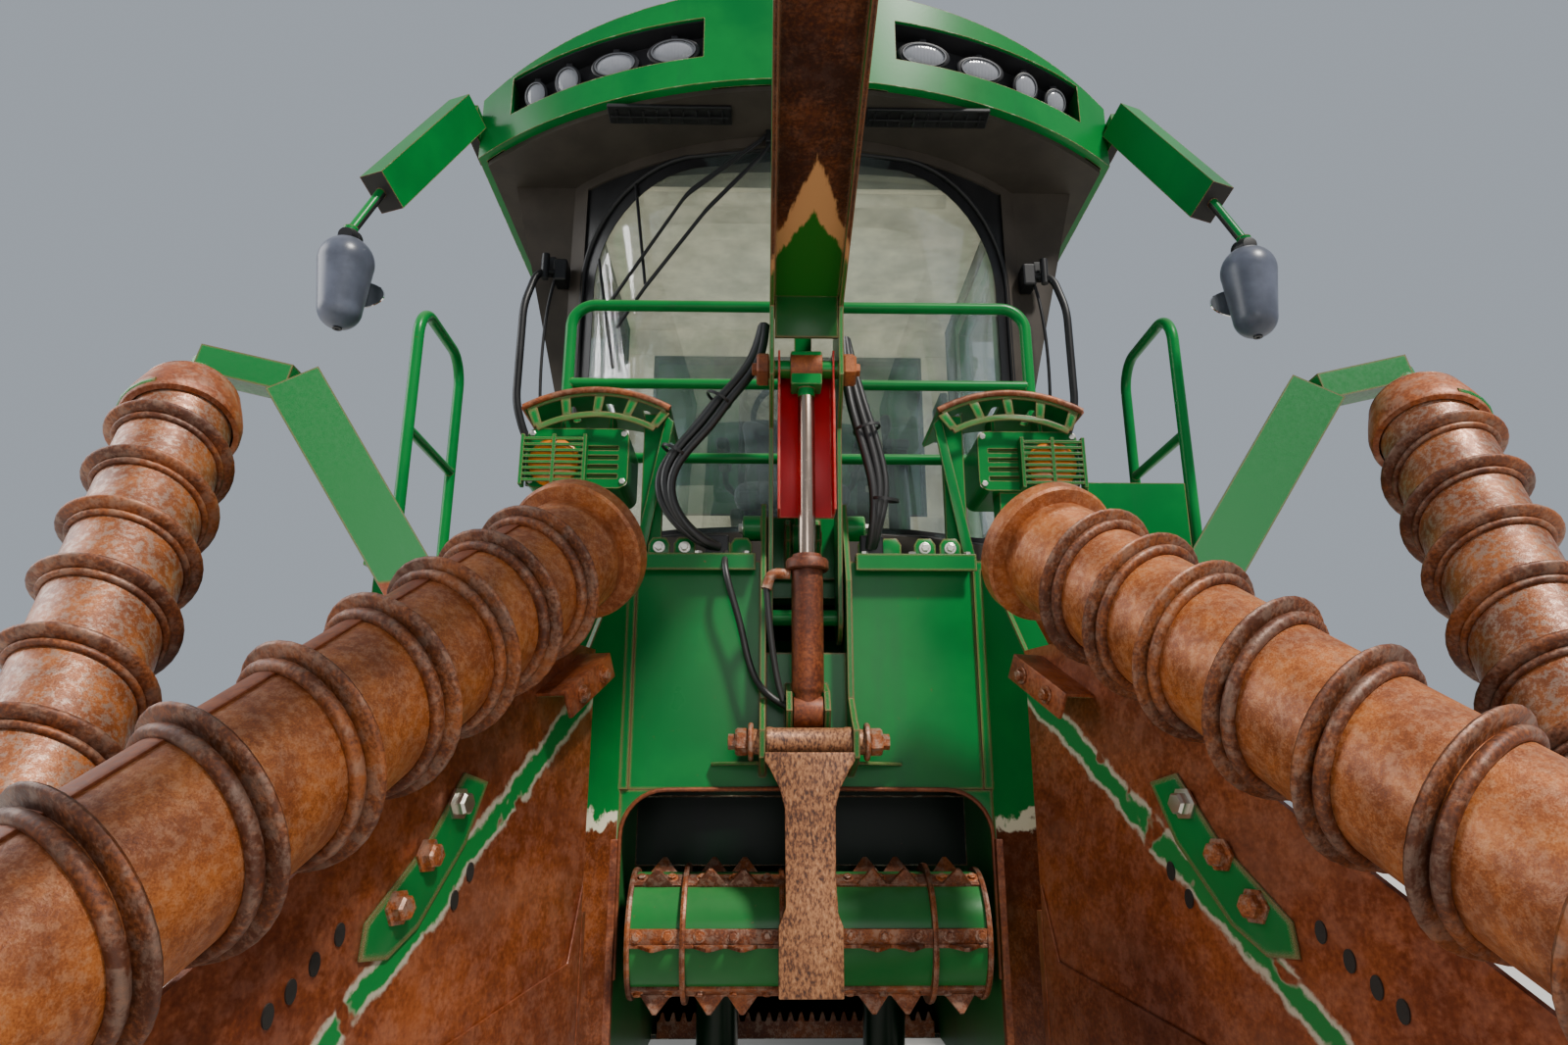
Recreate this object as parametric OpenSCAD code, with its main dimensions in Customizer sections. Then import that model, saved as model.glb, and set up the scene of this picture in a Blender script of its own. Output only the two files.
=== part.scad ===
// Sugarcane chopper harvester on four wheels, front towards -Y, left side of the machine at +X.

/* [Overall] */
// Clear width of the throat and of the feed tunnel behind it
throat_w = 950; // [850:10:1050]
// Thickness of the two long side plates
side_t = 20; // [12:1:30]
// Length of the side plates behind the front plate
chassis_len = 4350; // [4350:10:4450]
// Height of the top of the side plates
chassis_top = 1650; // [1640:5:1680]
// Height and width of the top rails of the chassis
rail_size = 100; // [80:5:120]
// Thickness of plain sheet and plate parts
sheet_t = 15; // [10:1:20]

/* [Wheels] */
// Radius of the front tyres
front_tyre_r = 450; // [420:5:455]
// Width of the front tyres
front_tyre_w = 400; // [320:10:420]
// Radius of the rear tyres, to the tips of their lugs
rear_tyre_r = 810; // [760:5:815]
// Width of the rear tyres
rear_tyre_w = 600; // [500:10:620]
// Distance from the front plate to the front wheels
front_axle_y = 700; // [680:5:720]
// Distance between the front and rear wheels
wheelbase = 2900; // [2850:10:2950]
// Distance between the wheel centres of one axle
track_w = 1860; // [1840:10:1960]

/* [Cab] */
// Height of the underside of the cab floor
cab_floor_z = 1800; // [1780:5:1830]
// Height of the glass of the windscreen
screen_h = 1445; // [1300:5:1500]
// Half width of the cab over its side walls
cab_half_w = 860; // [800:5:870]
// Thickness of the cab walls and posts
cab_wall = 60; // [40:5:70]
// Radius of the bowed windscreen
screen_r = 1286; // [1200:2:1400]
// Half width of the roof
roof_half_w = 1200; // [1100:10:1250]

/* [Topper] */
// Width of the topper boom
boom_w = 200; // [180:5:210]
// Height of the topper boom
boom_h = 220; // [180:5:230]
// Distance from the knee of the boom to the topper head
boom_reach = 3300; // [3000:50:3500]
// Rise of the boom above level
boom_rise = 10.7; // [8:0.1:12]

/* [Crop dividers] */
// Radius of the tubes of the two outer scrolls
scroll_r = 105; // [90:1:110]
// Radius of the tubes of the two inner scrolls
inner_scroll_r = 125; // [110:1:130]
// Height of the spiral flight on a scroll tube
flight_h = 35; // [20:1:36]

/* [Elevator] */
// Length of the elevator from its lower hinge
elevator_len = 5400; // [4800:50:5800]
// Slope of the elevator at rest
elevator_slope = 35; // [30:1:36]
// Outside width of the elevator trough
elevator_w = 900; // [800:10:910]
// Height of the elevator side walls
elevator_h = 330; // [300:5:340]
// Radius of the primary extractor chamber
extractor_r = 640; // [600:5:640]

/* [Hidden] */

$fn = 48;
gap = 0.3;
side_x = throat_w / 2;
outer_x = side_x + side_t;
rear_axle_y = front_axle_y + wheelbase;
deck_z = chassis_top + rail_size;
rail_x = side_x - 20;
cane_green = [0.05, 0.45, 0.16];
rust = [0.45, 0.24, 0.14];
dark = [0.16, 0.15, 0.14];

// Hinge of the boom, hinge of the link above it, knee, tip and upper pin of the head, as [y, z]
boom_pivot = [60, 1560];
link_pivot = [150, 1810];
boom_knee = [-30, 2450];
beam_dir = [-cos(boom_rise), sin(boom_rise)];
beam_up = [sin(boom_rise), cos(boom_rise)];
boom_tip = boom_knee + boom_reach * beam_dir;
head_pin = boom_tip + link_pivot - boom_pivot;
cylinder_foot = [-110, 1290];
rod_eye = [-130, 2215];
pin_r = 22;
ear_x = boom_w / 2 + 6;
crossbar = [-150, 1215];
crossbar_r = 35;

// Hinge of the crop dividers as [y, z], and the ends of the scroll axes on the left side
divider_hinge = [-200, 900];
hinge_pin_r = 35;
inner_top = [520, -450, 1630];
inner_foot = [1200, -2300, 330];
outer_top = [1470, -420, 2000];
outer_foot = [1080, -1430, 400];
journal_r = 30;
journal_len = 60;
journal_reach = 140;

// Knockdown roller and base cutters
roller_axis = [50, 760];
roller_r = 143;
roller_tip_r = 193;
roller_shaft_r = 40;
cutter_pos = [240, 560, 150];
cutter_r = 225;
cutter_lean = 10;

// Slew ring, elevator hinge and lift cylinders
slew_y = 5000;
ring_r = 620;
ring_hole_r = 440;
ring_z = 1150;
ring_t = 40;
elevator_hinge = [slew_y + 640, 860];
elevator_pin_r = 40;
trough_low = elevator_h / 2;
trough_high = elevator_h / 2 + 100;
lift_foot = elevator_hinge + [130, -340];
lift_along = 1300;
lift_x = 545;
along = [cos(elevator_slope), sin(elevator_slope)];
across = [-sin(elevator_slope), cos(elevator_slope)];
lift_eye = elevator_hinge + lift_along * along - trough_low * across;
elevator_end = elevator_hinge + elevator_len * along;
secondary_r = 420;
secondary_y = elevator_end[0] - 100;
secondary_z = elevator_end[1] + 250;

// The origin stands midway between the front and the back of the machine
drum_r = 255;
drum_pos = [430, boom_tip[0] - 520];
deck_under = boom_tip[1] - 130;
drum_h = 450;
front_end_y = drum_pos[1] - drum_r;
back_end_y = secondary_y + secondary_r;
origin_y = (front_end_y + back_end_y) / 2;

module place() { translate([0, -origin_y, 0]) children(); }

module both_sides() { children(); mirror([1, 0, 0]) children(); }

// The left side of the machine is +X; the right one is its mirror image
module on_side(side) { if (side == "left") children(); else mirror([1, 0, 0]) children(); }

// A plate whose outline is given as [y, z] points, with its first face at x
module side_plate(points, x, t) {
    translate([x, 0, 0]) rotate([90, 0, 90]) linear_extrude(t) polygon(points);
}

// A panel whose outline is given as [x, z] points, with its first face at y
module front_panel(points, y, t) {
    translate([0, y + t, 0]) rotate([90, 0, 0]) linear_extrude(t) polygon(points);
}

module block(low, high) { translate(low) cube(high - low); }

module cross_rod(x0, x1, at, r) { translate([x0, at[0], at[1]]) rotate([0, 90, 0]) cylinder(h = x1 - x0, r = r); }

// Turns the z axis to run from p to q
module aim(p, q) {
    v = q - p;
    translate(p) rotate([0, acos(v[2] / norm(v)), atan2(v[1], v[0])]) children();
}

module rod(p, q, r) { aim(p, q) cylinder(h = norm(q - p), r = r); }

module bar(p, q, w, h) { aim(p, q) translate([-h / 2, -w / 2, 0]) cube([h, w, norm(q - p)]); }

// A tube of radius r along the points, bent to the radius bend at each point between its ends
module pipe(points, r, bend) {
    last = len(points) - 1;
    cut = [for (i = [0 : last]) i == 0 || i == last ? 0 :
        bend * tan(turn(points, i) / 2)];
    for (i = [0 : last - 1]) {
        u = unit(points[i + 1] - points[i]);
        rod(points[i] + cut[i] * u, points[i + 1] - cut[i + 1] * u, r);
    }
    for (i = [1 : last - 1]) {
        u = unit(points[i] - points[i - 1]);
        v = unit(points[i + 1] - points[i]);
        w = unit(v - (v * u) * u);
        n = cross(u, w);
        c = points[i] - cut[i] * u + bend * w;
        multmatrix([
            [-w[0], u[0], n[0], c[0]], [-w[1], u[1], n[1], c[1]], [-w[2], u[2], n[2], c[2]], [0, 0, 0, 1]
        ]) rotate_extrude(angle = turn(points, i)) translate([bend, 0]) circle(r = r);
    }
}

function turn(points, i) = acos(unit(points[i] - points[i - 1]) * unit(points[i + 1] - points[i]));

// A flat bar that runs from p to s with one bend at q, all as [y, z], and reaches half to each side
module bent_plate(p, q, s, half, x, t) {
    n1 = square_to(q - p);
    n2 = square_to(s - q);
    corner = (n1 + n2) * half / (1 + n1 * n2);
    side_plate([p - half * n1, q - corner, s - half * n2, s + half * n2, q + corner, p + half * n1], x, t);
}

function at_x(p, x) = [x, p[0], p[1]];
function square_to(v) = [v[1], -v[0]] / norm(v);
function unit(v) = v / norm(v);

// Points of a rectangle with rounded corners
function round_rect(low, high, r) = [
    for (k = [0 : 3], a = [0 : 15 : 90])
        [(k == 0 || k == 3 ? high[0] - r : low[0] + r) + r * cos(a + 90 * k),
         (k < 2 ? high[1] - r : low[1] + r) + r * sin(a + 90 * k)]
];

// Chassis and front body

tie_down = [1700, 560];
tie_down_r = 25;

module chassis_frame() {
    outline = [
        [0, 1080], [0, 420], [300, 330], [1250, 330], [1900, 480], [chassis_len, 900],
        [chassis_len, chassis_top], [0, chassis_top]
    ];
    carrier = [
        [chassis_len - 1, ring_z], [slew_y, ring_z], [slew_y, ring_z + ring_t], [chassis_len - 1, ring_z + 300]
    ];
    reach = rail_x - gap;
    color(cane_green) {
        both_sides() union() {
            difference() {
                side_plate(outline, side_x, side_t);
                cross_rod(side_x - 1, outer_x + 1, tie_down, tie_down_r);
            }
            side_plate(carrier, side_x, side_t);
            block([rail_x, 150, chassis_top], [rail_x + rail_size, slew_y + 550, deck_z]);
        }
        for (y = [230, 1900, 4200]) block([-reach, y, chassis_top], [reach, y + rail_size, deck_z]);
        difference() {
            translate([0, slew_y, ring_z]) cylinder(h = ring_t, r = ring_r);
            translate([0, slew_y, ring_z - 1]) cylinder(h = ring_t + 2, r = ring_hole_r);
            both_sides() block([side_x - gap, slew_y - ring_r, ring_z - 1], [outer_x + gap, slew_y + gap, ring_z + ring_t + 1]);
        }
    }
}

front_plate_z = [1105, 1690];
cheek_turn = 56;

module front_body() {
    ear = [
        [sheet_t, 1135], [-90, 1150], [-190, 1175], [-200, 1240], [-150, 1265], [-60, 1330], [-60, 1640],
        [70, 1890], [215, 1890], [215, 1490], [sheet_t, 1450]
    ];
    foot_lug = [[-160, 1290], [-125, 1340], [1, 1375], [1, 1240], [-120, 1240]];
    link_lug = [[115, 1795], [125, 1845], [170, 1850], [201, 1880], [201, 1720], [170, 1740]];
    cheek = [[0, 500], [240, 500], [240, 1230], [70, 1600], [0, 1690]];
    color(cane_green) union() {
        difference() {
            union() {
                block([-side_x + gap, -5, front_plate_z[0]], [side_x - gap, sheet_t, front_plate_z[1]]);
                block([-655, -5, front_plate_z[1]], [655, 148, front_plate_z[1] + sheet_t]);
            }
            block([-ear_x, -6, 1455], [ear_x, 200, 1800]);
        }
        both_sides() {
            translate([side_x - 2, -10, 0]) rotate([90, 0, -cheek_turn]) mirror([0, 0, 1])
                linear_extrude(sheet_t) polygon(cheek);
            block([side_x - 20, -sheet_t, front_plate_z[0]], [655, -gap, front_plate_z[1] + sheet_t]);
            block([585, -235, 850], [640, -165, 950]);
            cross_rod(639, 775, divider_hinge, hinge_pin_r);
            difference() {
                side_plate(ear, ear_x, sheet_t);
                cross_rod(ear_x - 1, ear_x + sheet_t + 1, crossbar, crossbar_r + gap);
            }
            side_plate(foot_lug, 40, sheet_t);
            side_plate(link_lug, 36, sheet_t);
        }
        cross_rod(-ear_x - 60, ear_x + 60, boom_pivot, pin_r);
        cross_rod(-54, 54, link_pivot, pin_r);
        block([-ear_x - sheet_t, 200, 1700], [ear_x + sheet_t, 215, 1890]);
        cross_rod(-54, 54, cylinder_foot, pin_r);
    }
}

arm_face_y = crossbar[0] - crossbar_r;

module roller_arm() {
    tee = [
        [-100, 1235], [-100, 1190], [-70, 1120], [-70, 820], [-82, 790], [-82, 645], [82, 645], [82, 790],
        [70, 820], [70, 1120], [100, 1190], [100, 1235]
    ];
    color(rust) difference() {
        union() {
            cross_rod(-215, 215, crossbar, crossbar_r);
            front_panel(tee, arm_face_y - sheet_t + 4, sheet_t);
            block([-45, arm_face_y, roller_axis[1] - 45], [45, roller_axis[0], roller_axis[1] + 45]);
            cross_rod(-45, 45, roller_axis, 75);
        }
        cross_rod(-46, 46, roller_axis, roller_shaft_r + gap);
    }
}

// Places of the teeth along a bar of the roller, and half their width at the bar and at the tip
tooth_x = [158, 238, 368];
tooth_half = [38, 22];
bar_r = 162;
bar_count = 6;

module knockdown_roller() {
    inner_end = 55;
    end_x = throat_w / 2 - 37;
    edge = concat(
        [[inner_end + 5, roller_r - 10], [end_x - 5, roller_r - 10], [end_x - 5, bar_r]],
        [for (i = [2 : -1 : 0]) each [
            [tooth_x[i] + tooth_half[0], bar_r], [tooth_x[i] + tooth_half[1], roller_tip_r],
            [tooth_x[i] - tooth_half[1], roller_tip_r], [tooth_x[i] - tooth_half[0], bar_r]
        ]],
        [[inner_end + 5, bar_r]]
    );
    color(cane_green) union() {
        cross_rod(-end_x, end_x, roller_axis, roller_shaft_r);
        both_sides() difference() {
            union() {
                cross_rod(inner_end, end_x, roller_axis, roller_r);
                cross_rod(inner_end, inner_end + sheet_t, roller_axis, bar_r);
            }
            cross_rod(inner_end + sheet_t, end_x + 1, roller_axis, roller_r - sheet_t);
        }
        both_sides() for (i = [0 : bar_count - 1])
            translate([0, roller_axis[0], roller_axis[1]]) rotate([i * 360 / bar_count, 0, 0])
                rotate([90, 0, 0]) translate([0, 0, -10]) linear_extrude(20) polygon(edge);
    }
}

// Floor and roof of the way from the throat to the chopper, the chopper housing and the base cutter legs
module feed_tunnel() {
    inside = side_x - gap;
    box_y = [3290, 4300];
    box_z = [820, 1605];
    t = 15;
    end_y = box_y[0] - gap;
    color(cane_green) {
        side_plate([
            [950, 345], [950, 330], [1250, 345], [1900, 500], [end_y, box_z[0]], [end_y, box_z[0] + t]
        ], -inside, 2 * inside);
        side_plate([[300, 1090], [300, 1105], [end_y, 1500], [end_y, 1485]], -inside, 2 * inside);
        both_sides() block([inside - 12, 300, 1100], [inside, 420, 1300]);
        both_sides() block([inside - 30, box_y[0], box_z[0] + t + gap], [inside, box_y[1], box_z[1] - t - gap]);
        for (z = [box_z[0], box_z[1] - t]) block([-inside, box_y[0], z], [inside, box_y[1], z + t]);
        block([-inside, 360, 900], [inside, 560, 1090]);
        both_sides() translate([cutter_pos[0], cutter_pos[1], cutter_pos[2]]) rotate([cutter_lean, 0, 0])
            translate([0, 0, 40 + gap]) cylinder(h = 760, r = 60);
    }
}

module basecutter_disc(side) {
    on_side(side) color("dimgray") translate(cutter_pos) rotate([cutter_lean, 0, 0]) union() {
        cylinder(h = 15, r = cutter_r - 40);
        translate([0, 0, 15]) cylinder(h = 25, r1 = 120, r2 = 70);
        for (a = [0 : 72 : 288]) rotate([0, 0, a]) translate([120, -35, -7]) cube([cutter_r - 122, 70, 8]);
    }
}

// Wheels and what carries them

kingpin_x = 600;
front_pos = [front_axle_y, front_tyre_r];
rear_pos = [rear_axle_y, rear_tyre_r];
kingpin_r = 50;
stub_r = 45;
drive_r = 70;
front_in = track_w / 2 - front_tyre_w / 2;
rear_in = track_w / 2 - rear_tyre_w / 2;

module wheel_carriers() {
    color(cane_green) both_sides() {
        difference() {
            union() {
                translate([kingpin_x, front_axle_y, 940]) cylinder(h = 600, r = 75);
                for (z = [1000, 1400]) block([outer_x, front_axle_y - 60, z], [kingpin_x, front_axle_y + 60, z + 60]);
            }
            translate([kingpin_x, front_axle_y, 939]) cylinder(h = 262, r = kingpin_r + gap);
        }
        cross_rod(outer_x, rear_in + 60, rear_pos, 180);
        cross_rod(rear_in + 60, track_w / 2 - 40, rear_pos, drive_r);
    }
}

module knuckle(side) {
    on_side(side) color(cane_green) union() {
        translate([kingpin_x, front_axle_y, front_tyre_r - 60]) cylinder(h = 1190 - front_tyre_r, r = kingpin_r);
        cross_rod(kingpin_x, track_w / 2 - 40, front_pos, stub_r);
        translate([kingpin_x, front_axle_y, front_tyre_r - 75]) cylinder(h = 150, r = 85);
    }
}

// A wheel rim about the x axis, its disc at the middle and open towards the machine
module rim(at, r, w, bore) {
    x0 = track_w / 2;
    color("goldenrod") difference() {
        union() {
            difference() {
                cross_rod(x0 - w / 2, x0 + w / 2, at, r);
                cross_rod(x0 - w / 2 - 1, x0 + w / 2 + 1, at, r - 14);
            }
            cross_rod(x0 - 10, x0 + 10, at, r - 13);
            cross_rod(x0 - 60, x0 + 40, at, r * 0.45);
        }
        cross_rod(x0 - 61, x0 - 40 + 3, at, bore + gap);
    }
}

lug_pairs = 20;
lug_w = 55;
lug_turn = 40;

// A hollow tyre about the x axis, with slanting lugs of height lug or with three grooves
module tyre(at, r, w, bead, lug) {
    t = 30;
    crown = r - lug;
    half = [
        [bead, 0.4], [bead + 50, 0.47], [(crown + bead) / 2, 0.5], [crown * 0.92, 0.48], [crown, 0.4]
    ];
    inner = [[bead - 1, 0.4 * w - t], [bead + 50, 0.47 * w - t], [crown * 0.92, 0.47 * w - t], [crown - t, 0.38 * w]];
    lug_long = 0.44 * w / cos(lug_turn);
    lug_top = sqrt(r * r - pow(lug_long / 2 * sin(lug_turn) + lug_w / 2, 2));
    color(dark) translate([track_w / 2, at[0], at[1]]) rotate([0, 90, 0]) difference() {
        union() {
            rotate_extrude() polygon(ring_profile([for (p = half) [p[0], p[1] * w]]));
            if (lug > 0) for (i = [0 : lug_pairs - 1], s = [-1, 1])
                rotate([0, 0, (i + s / 4) * 360 / lug_pairs]) translate([crown - 60, 0, s * 0.24 * w])
                    rotate([s * lug_turn, 0, 0]) translate([0, -lug_w / 2, -lug_long / 2])
                        cube([lug_top - crown + 60, lug_w, lug_long]);
        }
        rotate_extrude() polygon(ring_profile(inner));
        if (lug == 0) for (x = [-0.2, 0, 0.2])
            rotate_extrude() translate([r - 16, x * w - 7]) square([20, 14]);
    }
}

// Half of a ring's section with its mirror image
function ring_profile(half) = concat(half, [for (i = [len(half) - 1 : -1 : 0]) [half[i][0], -half[i][1]]]);

front_rim_r = 200;
rear_rim_r = 318;

// Tanks, engine and its cover

tank_y = [1400, 2700];
tank_z = [800, 1500];
tank_w = 385;
tank_t = 10;

// Outline of a tank as [y, z] points, drawn in by d, with its corners cut by c
function tank_outline(d, c) = [
    for (k = [0 : 7])
        let (y = tank_y[k < 2 || k > 5 ? 0 : 1] + (k < 2 || k > 5 ? d : -d),
             z = tank_z[k < 4 ? 0 : 1] + (k < 4 ? d : -d))
        [y + [0, c, -c, 0, 0, -c, c, 0][k], z + [c, 0, 0, c, -c, 0, 0, -c][k]]
];

module side_tanks() {
    color(cane_green) both_sides() difference() {
        side_plate(tank_outline(0, 60), outer_x, tank_w);
        side_plate(tank_outline(tank_t, 60), outer_x - 1, tank_w + 1 - tank_t);
    }
}

engine_low = [-500, 2650, deck_z];
engine_high = [500, 3650, deck_z + 850];
cover_x = 900;
cover_y = [2080, 4280];
cover_top = 3300;
cover_t = 12;
cover_cut = 200;
grille_z = [2150, 3050];
grille_y = [2350, 3250];

module engine_block() { color("dimgray") block(engine_low, engine_high); }

// Side view of the engine cover, drawn in by d
function cover_side(d) = [
    [cover_y[0] + d, deck_z - d], [cover_y[1] - d, deck_z - d], [cover_y[1] - d, cover_top - cover_cut - d / 2],
    [cover_y[1] - cover_cut - d / 2, cover_top - d], [cover_y[0] + d, cover_top - d]
];

// Banks of louvres in the sides of the engine cover as [first y, last y], and their heights
louvre_y = [[3380, 3700], [3780, 4100]];
louvre_z = [2250 : 90 : 2880];

module engine_cover() {
    color(cane_green) union() {
        difference() {
            side_plate(cover_side(0), -cover_x, 2 * cover_x);
            side_plate(cover_side(cover_t), -cover_x + cover_t, 2 * (cover_x - cover_t));
            block([-cover_x - 1, grille_y[0], grille_z[0]], [cover_x + 1, grille_y[1], grille_z[1]]);
        }
        both_sides() for (y = louvre_y, z = louvre_z)
            front_panel([[cover_x - 1, z], [cover_x + 22, z], [cover_x - 1, z + 45]], y[0], y[1] - y[0]);
    }
}

module side_grilles() {
    edge = 40;
    slat_pitch = 60;
    low = [cover_x - 30, grille_y[0] + gap, grille_z[0] + gap];
    high = [cover_x, grille_y[1] - gap, grille_z[1] - gap];
    color(dark) both_sides() union() {
        difference() {
            block(low, high);
            block(low + [-1, edge, edge], high + [1, -edge, -edge]);
        }
        for (z = [low[2] + edge + 30 : slat_pitch : high[2] - edge - 20])
            block([low[0] + 5, low[1] + edge - 1, z], [high[0] - 5, high[1] - edge + 1, z + 14]);
    }
}

module exhaust_stack() {
    color("dimgray") union() {
        translate([450, 3850, cover_top]) cylinder(h = 620, r = 75);
        translate([450, 3850, cover_top + 619]) cylinder(h = 200, r = 55);
    }
}

// Cab

screen_z0 = 1905;
screen_z1 = screen_z0 + screen_h;
arc_y = 420 + screen_r;
cab_front_y = 750;
cab_back_y = 1950;
door_y = [900, 1700];

// Plan of the cab, drawn in from its outer face by d
module cab_plan(d) {
    intersection() {
        translate([0, arc_y]) circle(r = screen_r - d, $fn = 96);
        translate([-cab_half_w + d, 0]) square([2 * (cab_half_w - d), cab_back_y - d]);
    }
}

module cab_box(d, z0, z1) { translate([0, 0, z0]) linear_extrude(z1 - z0) cab_plan(d); }

hinge_z = [2050, 3050];
hinge_h = 60;
door_axis = [cab_half_w + 20, door_y[1]];
door_pin_r = 8;
soffit_t = 20;

// The front corner posts widen from this height up, by this much at the roof
flare_z = 2400;
flare_w = 230;

// The lugs and the pin that carry one eye of the door
module door_hinge(z) {
    for (z0 = [z - 20, z + hinge_h + 1]) {
        block([cab_half_w - 5, door_axis[1] + 5, z0], [door_axis[0] + 14, door_axis[1] + 40, z0 + 19]);
        translate([door_axis[0], door_axis[1], z0]) cylinder(h = 19, r = 14);
        block([door_axis[0] - 14, door_axis[1], z0], [door_axis[0] + 14, door_axis[1] + 6, z0 + 19]);
    }
    translate([door_axis[0], door_axis[1], z - 20]) cylinder(h = hinge_h + 40, r = door_pin_r);
}

module cab_shell() {
    post_x = cab_half_w - cab_wall;
    color(dark) union() {
        difference() {
            cab_box(0, cab_floor_z, screen_z1 + 60);
            cab_box(cab_wall, cab_floor_z + cab_wall, screen_z1 + 61);
            block([-post_x, 0, screen_z0], [post_x, cab_front_y, screen_z1]);
            block([-cab_half_w - 1, door_y[0], 2000], [-post_x + 1, 1800, screen_z1 - 60]);
            block([post_x - 1, door_y[0], cab_floor_z + cab_wall], [cab_half_w + 1, door_y[1], screen_z1 - 60]);
            block([-650, cab_back_y - cab_wall - 1, 2400], [650, cab_back_y + 1, 3200]);
        }
        translate([0, 0, roof_z[0] - soffit_t]) linear_extrude(soffit_t) roof_plan(roof_t + 5);
        for (z = hinge_z) door_hinge(z);
        both_sides() front_panel([
            [cab_half_w - 2, flare_z], [cab_half_w + flare_w, roof_z[0] - soffit_t + 1], [cab_half_w - 2, roof_z[0] - soffit_t + 1]
        ], cab_front_y, cab_wall);
        both_sides() for (y = [900, 1800])
            translate([rail_x + rail_size / 2, y, deck_z]) cylinder(h = cab_floor_z - deck_z, r = 40);
    }
}

roof_r = 1825;
roof_front_y = 150;
roof_back_y = 2080;
roof_z = [screen_z1 + 60, 3790];
lamp_face_y = 330;

module roof_plan(d) {
    intersection() {
        translate([0, roof_front_y + roof_r]) circle(r = roof_r - d, $fn = 96);
        translate([-roof_half_w + d, 0]) square([2 * (roof_half_w - d), roof_back_y - d]);
    }
}

beacon = [800, 1800];
beacon_pcd = 130;
beacon_hole_r = 3.5;
beacon_top = roof_z[1] + 20;

roof_t = 30;
recess_depth = 90;
crown_r = 6000;

// Plan of a lamp recess in the roof's front, from its inner end, with a wall of thickness d round it
module recess_plan(d) {
    intersection() {
        translate([-d, 0]) square([730 + 2 * d, 900]);
        translate([-330, roof_front_y + roof_r]) difference() {
            circle(r = roof_r + 50, $fn = 96);
            circle(r = roof_r - recess_depth - d, $fn = 96);
        }
    }
}

// What lies under the roof's crowned top, lowered by d
module crown(d) {
    translate([0, -100, roof_z[1] - crown_r]) rotate([-90, 0, 0]) cylinder(h = 2400, r = crown_r - d, $fn = 200);
}

module cab_roof() {
    color(cane_green) difference() {
        union() {
            difference() {
                intersection() {
                    translate([0, 0, roof_z[0]]) linear_extrude(400) roof_plan(0);
                    crown(0);
                }
                intersection() {
                    translate([0, 0, roof_z[0] - 1]) linear_extrude(400) roof_plan(roof_t);
                    crown(roof_t);
                    translate([0, 0, roof_z[0] - 1]) linear_extrude(400) difference() {
                        square(4200, center = true);
                        translate([330, 0]) recess_plan(roof_t);
                        mirror([1, 0]) translate([330, 0]) recess_plan(roof_t);
                    }
                }
            }
            translate([beacon[0], beacon[1], roof_z[1] - 120]) cylinder(h = 140, r = 85);
        }
        for (a = [0 : 120 : 240])
            translate([beacon[0] + beacon_pcd / 2 * cos(a), beacon[1] + beacon_pcd / 2 * sin(a), beacon_top - 40])
                cylinder(h = 41, r = beacon_hole_r);
        both_sides() translate([0, 0, 3520]) linear_extrude(160) translate([330, 0]) recess_plan(0);
    }
}

module cab_glass() {
    inset = gap;
    pane = 8;
    post_x = cab_half_w - cab_wall - inset;
    color([0.6, 0.75, 0.8, 0.4]) {
        intersection() {
            difference() {
                cab_box(20, screen_z0 + inset, screen_z1 - inset);
                cab_box(20 + pane, screen_z0, screen_z1);
            }
            block([-post_x, 0, screen_z0], [post_x, cab_front_y - inset, screen_z1]);
        }
        block([-cab_half_w + 20, door_y[0] + inset, 2000 + inset],
              [-cab_half_w + 20 + pane, 1800 - inset, screen_z1 - 60 - inset]);
        block([-650 + inset, cab_back_y - 30, 2400 + inset], [650 - inset, cab_back_y - 30 + pane, 3200 - inset]);
    }
}

module cab_door() {
    edge = 70;
    z0 = cab_floor_z + cab_wall + 6;
    z1 = screen_z1 - 66;
    color(cane_green) difference() {
        union() {
            difference() {
                block([cab_half_w - cab_wall + 5, door_y[0] + 12, z0], [cab_half_w, door_y[1] - 6, z1]);
                block([0, door_y[0] + 12 + edge, 2150], [1000, door_y[1] - 6 - edge, z1 - edge]);
            }
            for (z = hinge_z) {
                block([cab_half_w - 5, door_axis[1] - 60, z + gap], [door_axis[0] + 14, door_axis[1] - 12, z + hinge_h - gap]);
                block([door_axis[0] - 14, door_axis[1] - 13, z + gap], [door_axis[0] + 14, door_axis[1], z + hinge_h - gap]);
                translate([door_axis[0], door_axis[1], z + gap]) cylinder(h = hinge_h - 2 * gap, r = 14);
            }
        }
        translate([door_axis[0], door_axis[1], 0]) cylinder(h = 4000, r = door_pin_r + 0.1);
    }
}

module door_glass() {
    edge = 70 + gap;
    color([0.6, 0.75, 0.8, 0.4])
        block([cab_half_w - 30, door_y[0] + 12 + edge, 2150 + gap], [cab_half_w - 22, door_y[1] - 6 - edge, screen_z1 - 66 - edge]);
}

module operator_seat() {
    floor_z = cab_floor_z + cab_wall;
    color(dark) union() {
        block([-180, 1250, floor_z], [180, 1550, floor_z + 330]);
        block([-260, 1120, floor_z + 330], [260, 1640, floor_z + 470]);
        block([-250, 1560, floor_z + 469], [250, 1690, floor_z + 1150]);
    }
}

module steering_console() {
    floor_z = cab_floor_z + cab_wall;
    color(dark) union() {
        block([-80, 700, floor_z], [80, 830, floor_z + 30]);
        bar([0, 762, floor_z + 15], [0, 900, floor_z + 700], 120, 90);
        aim([0, 895, floor_z + 690], [0, 960, floor_z + 900]) cylinder(h = 30, r = 210);
        block([300, 1150, floor_z], [480, 1650, floor_z + 650]);
    }
}

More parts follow.
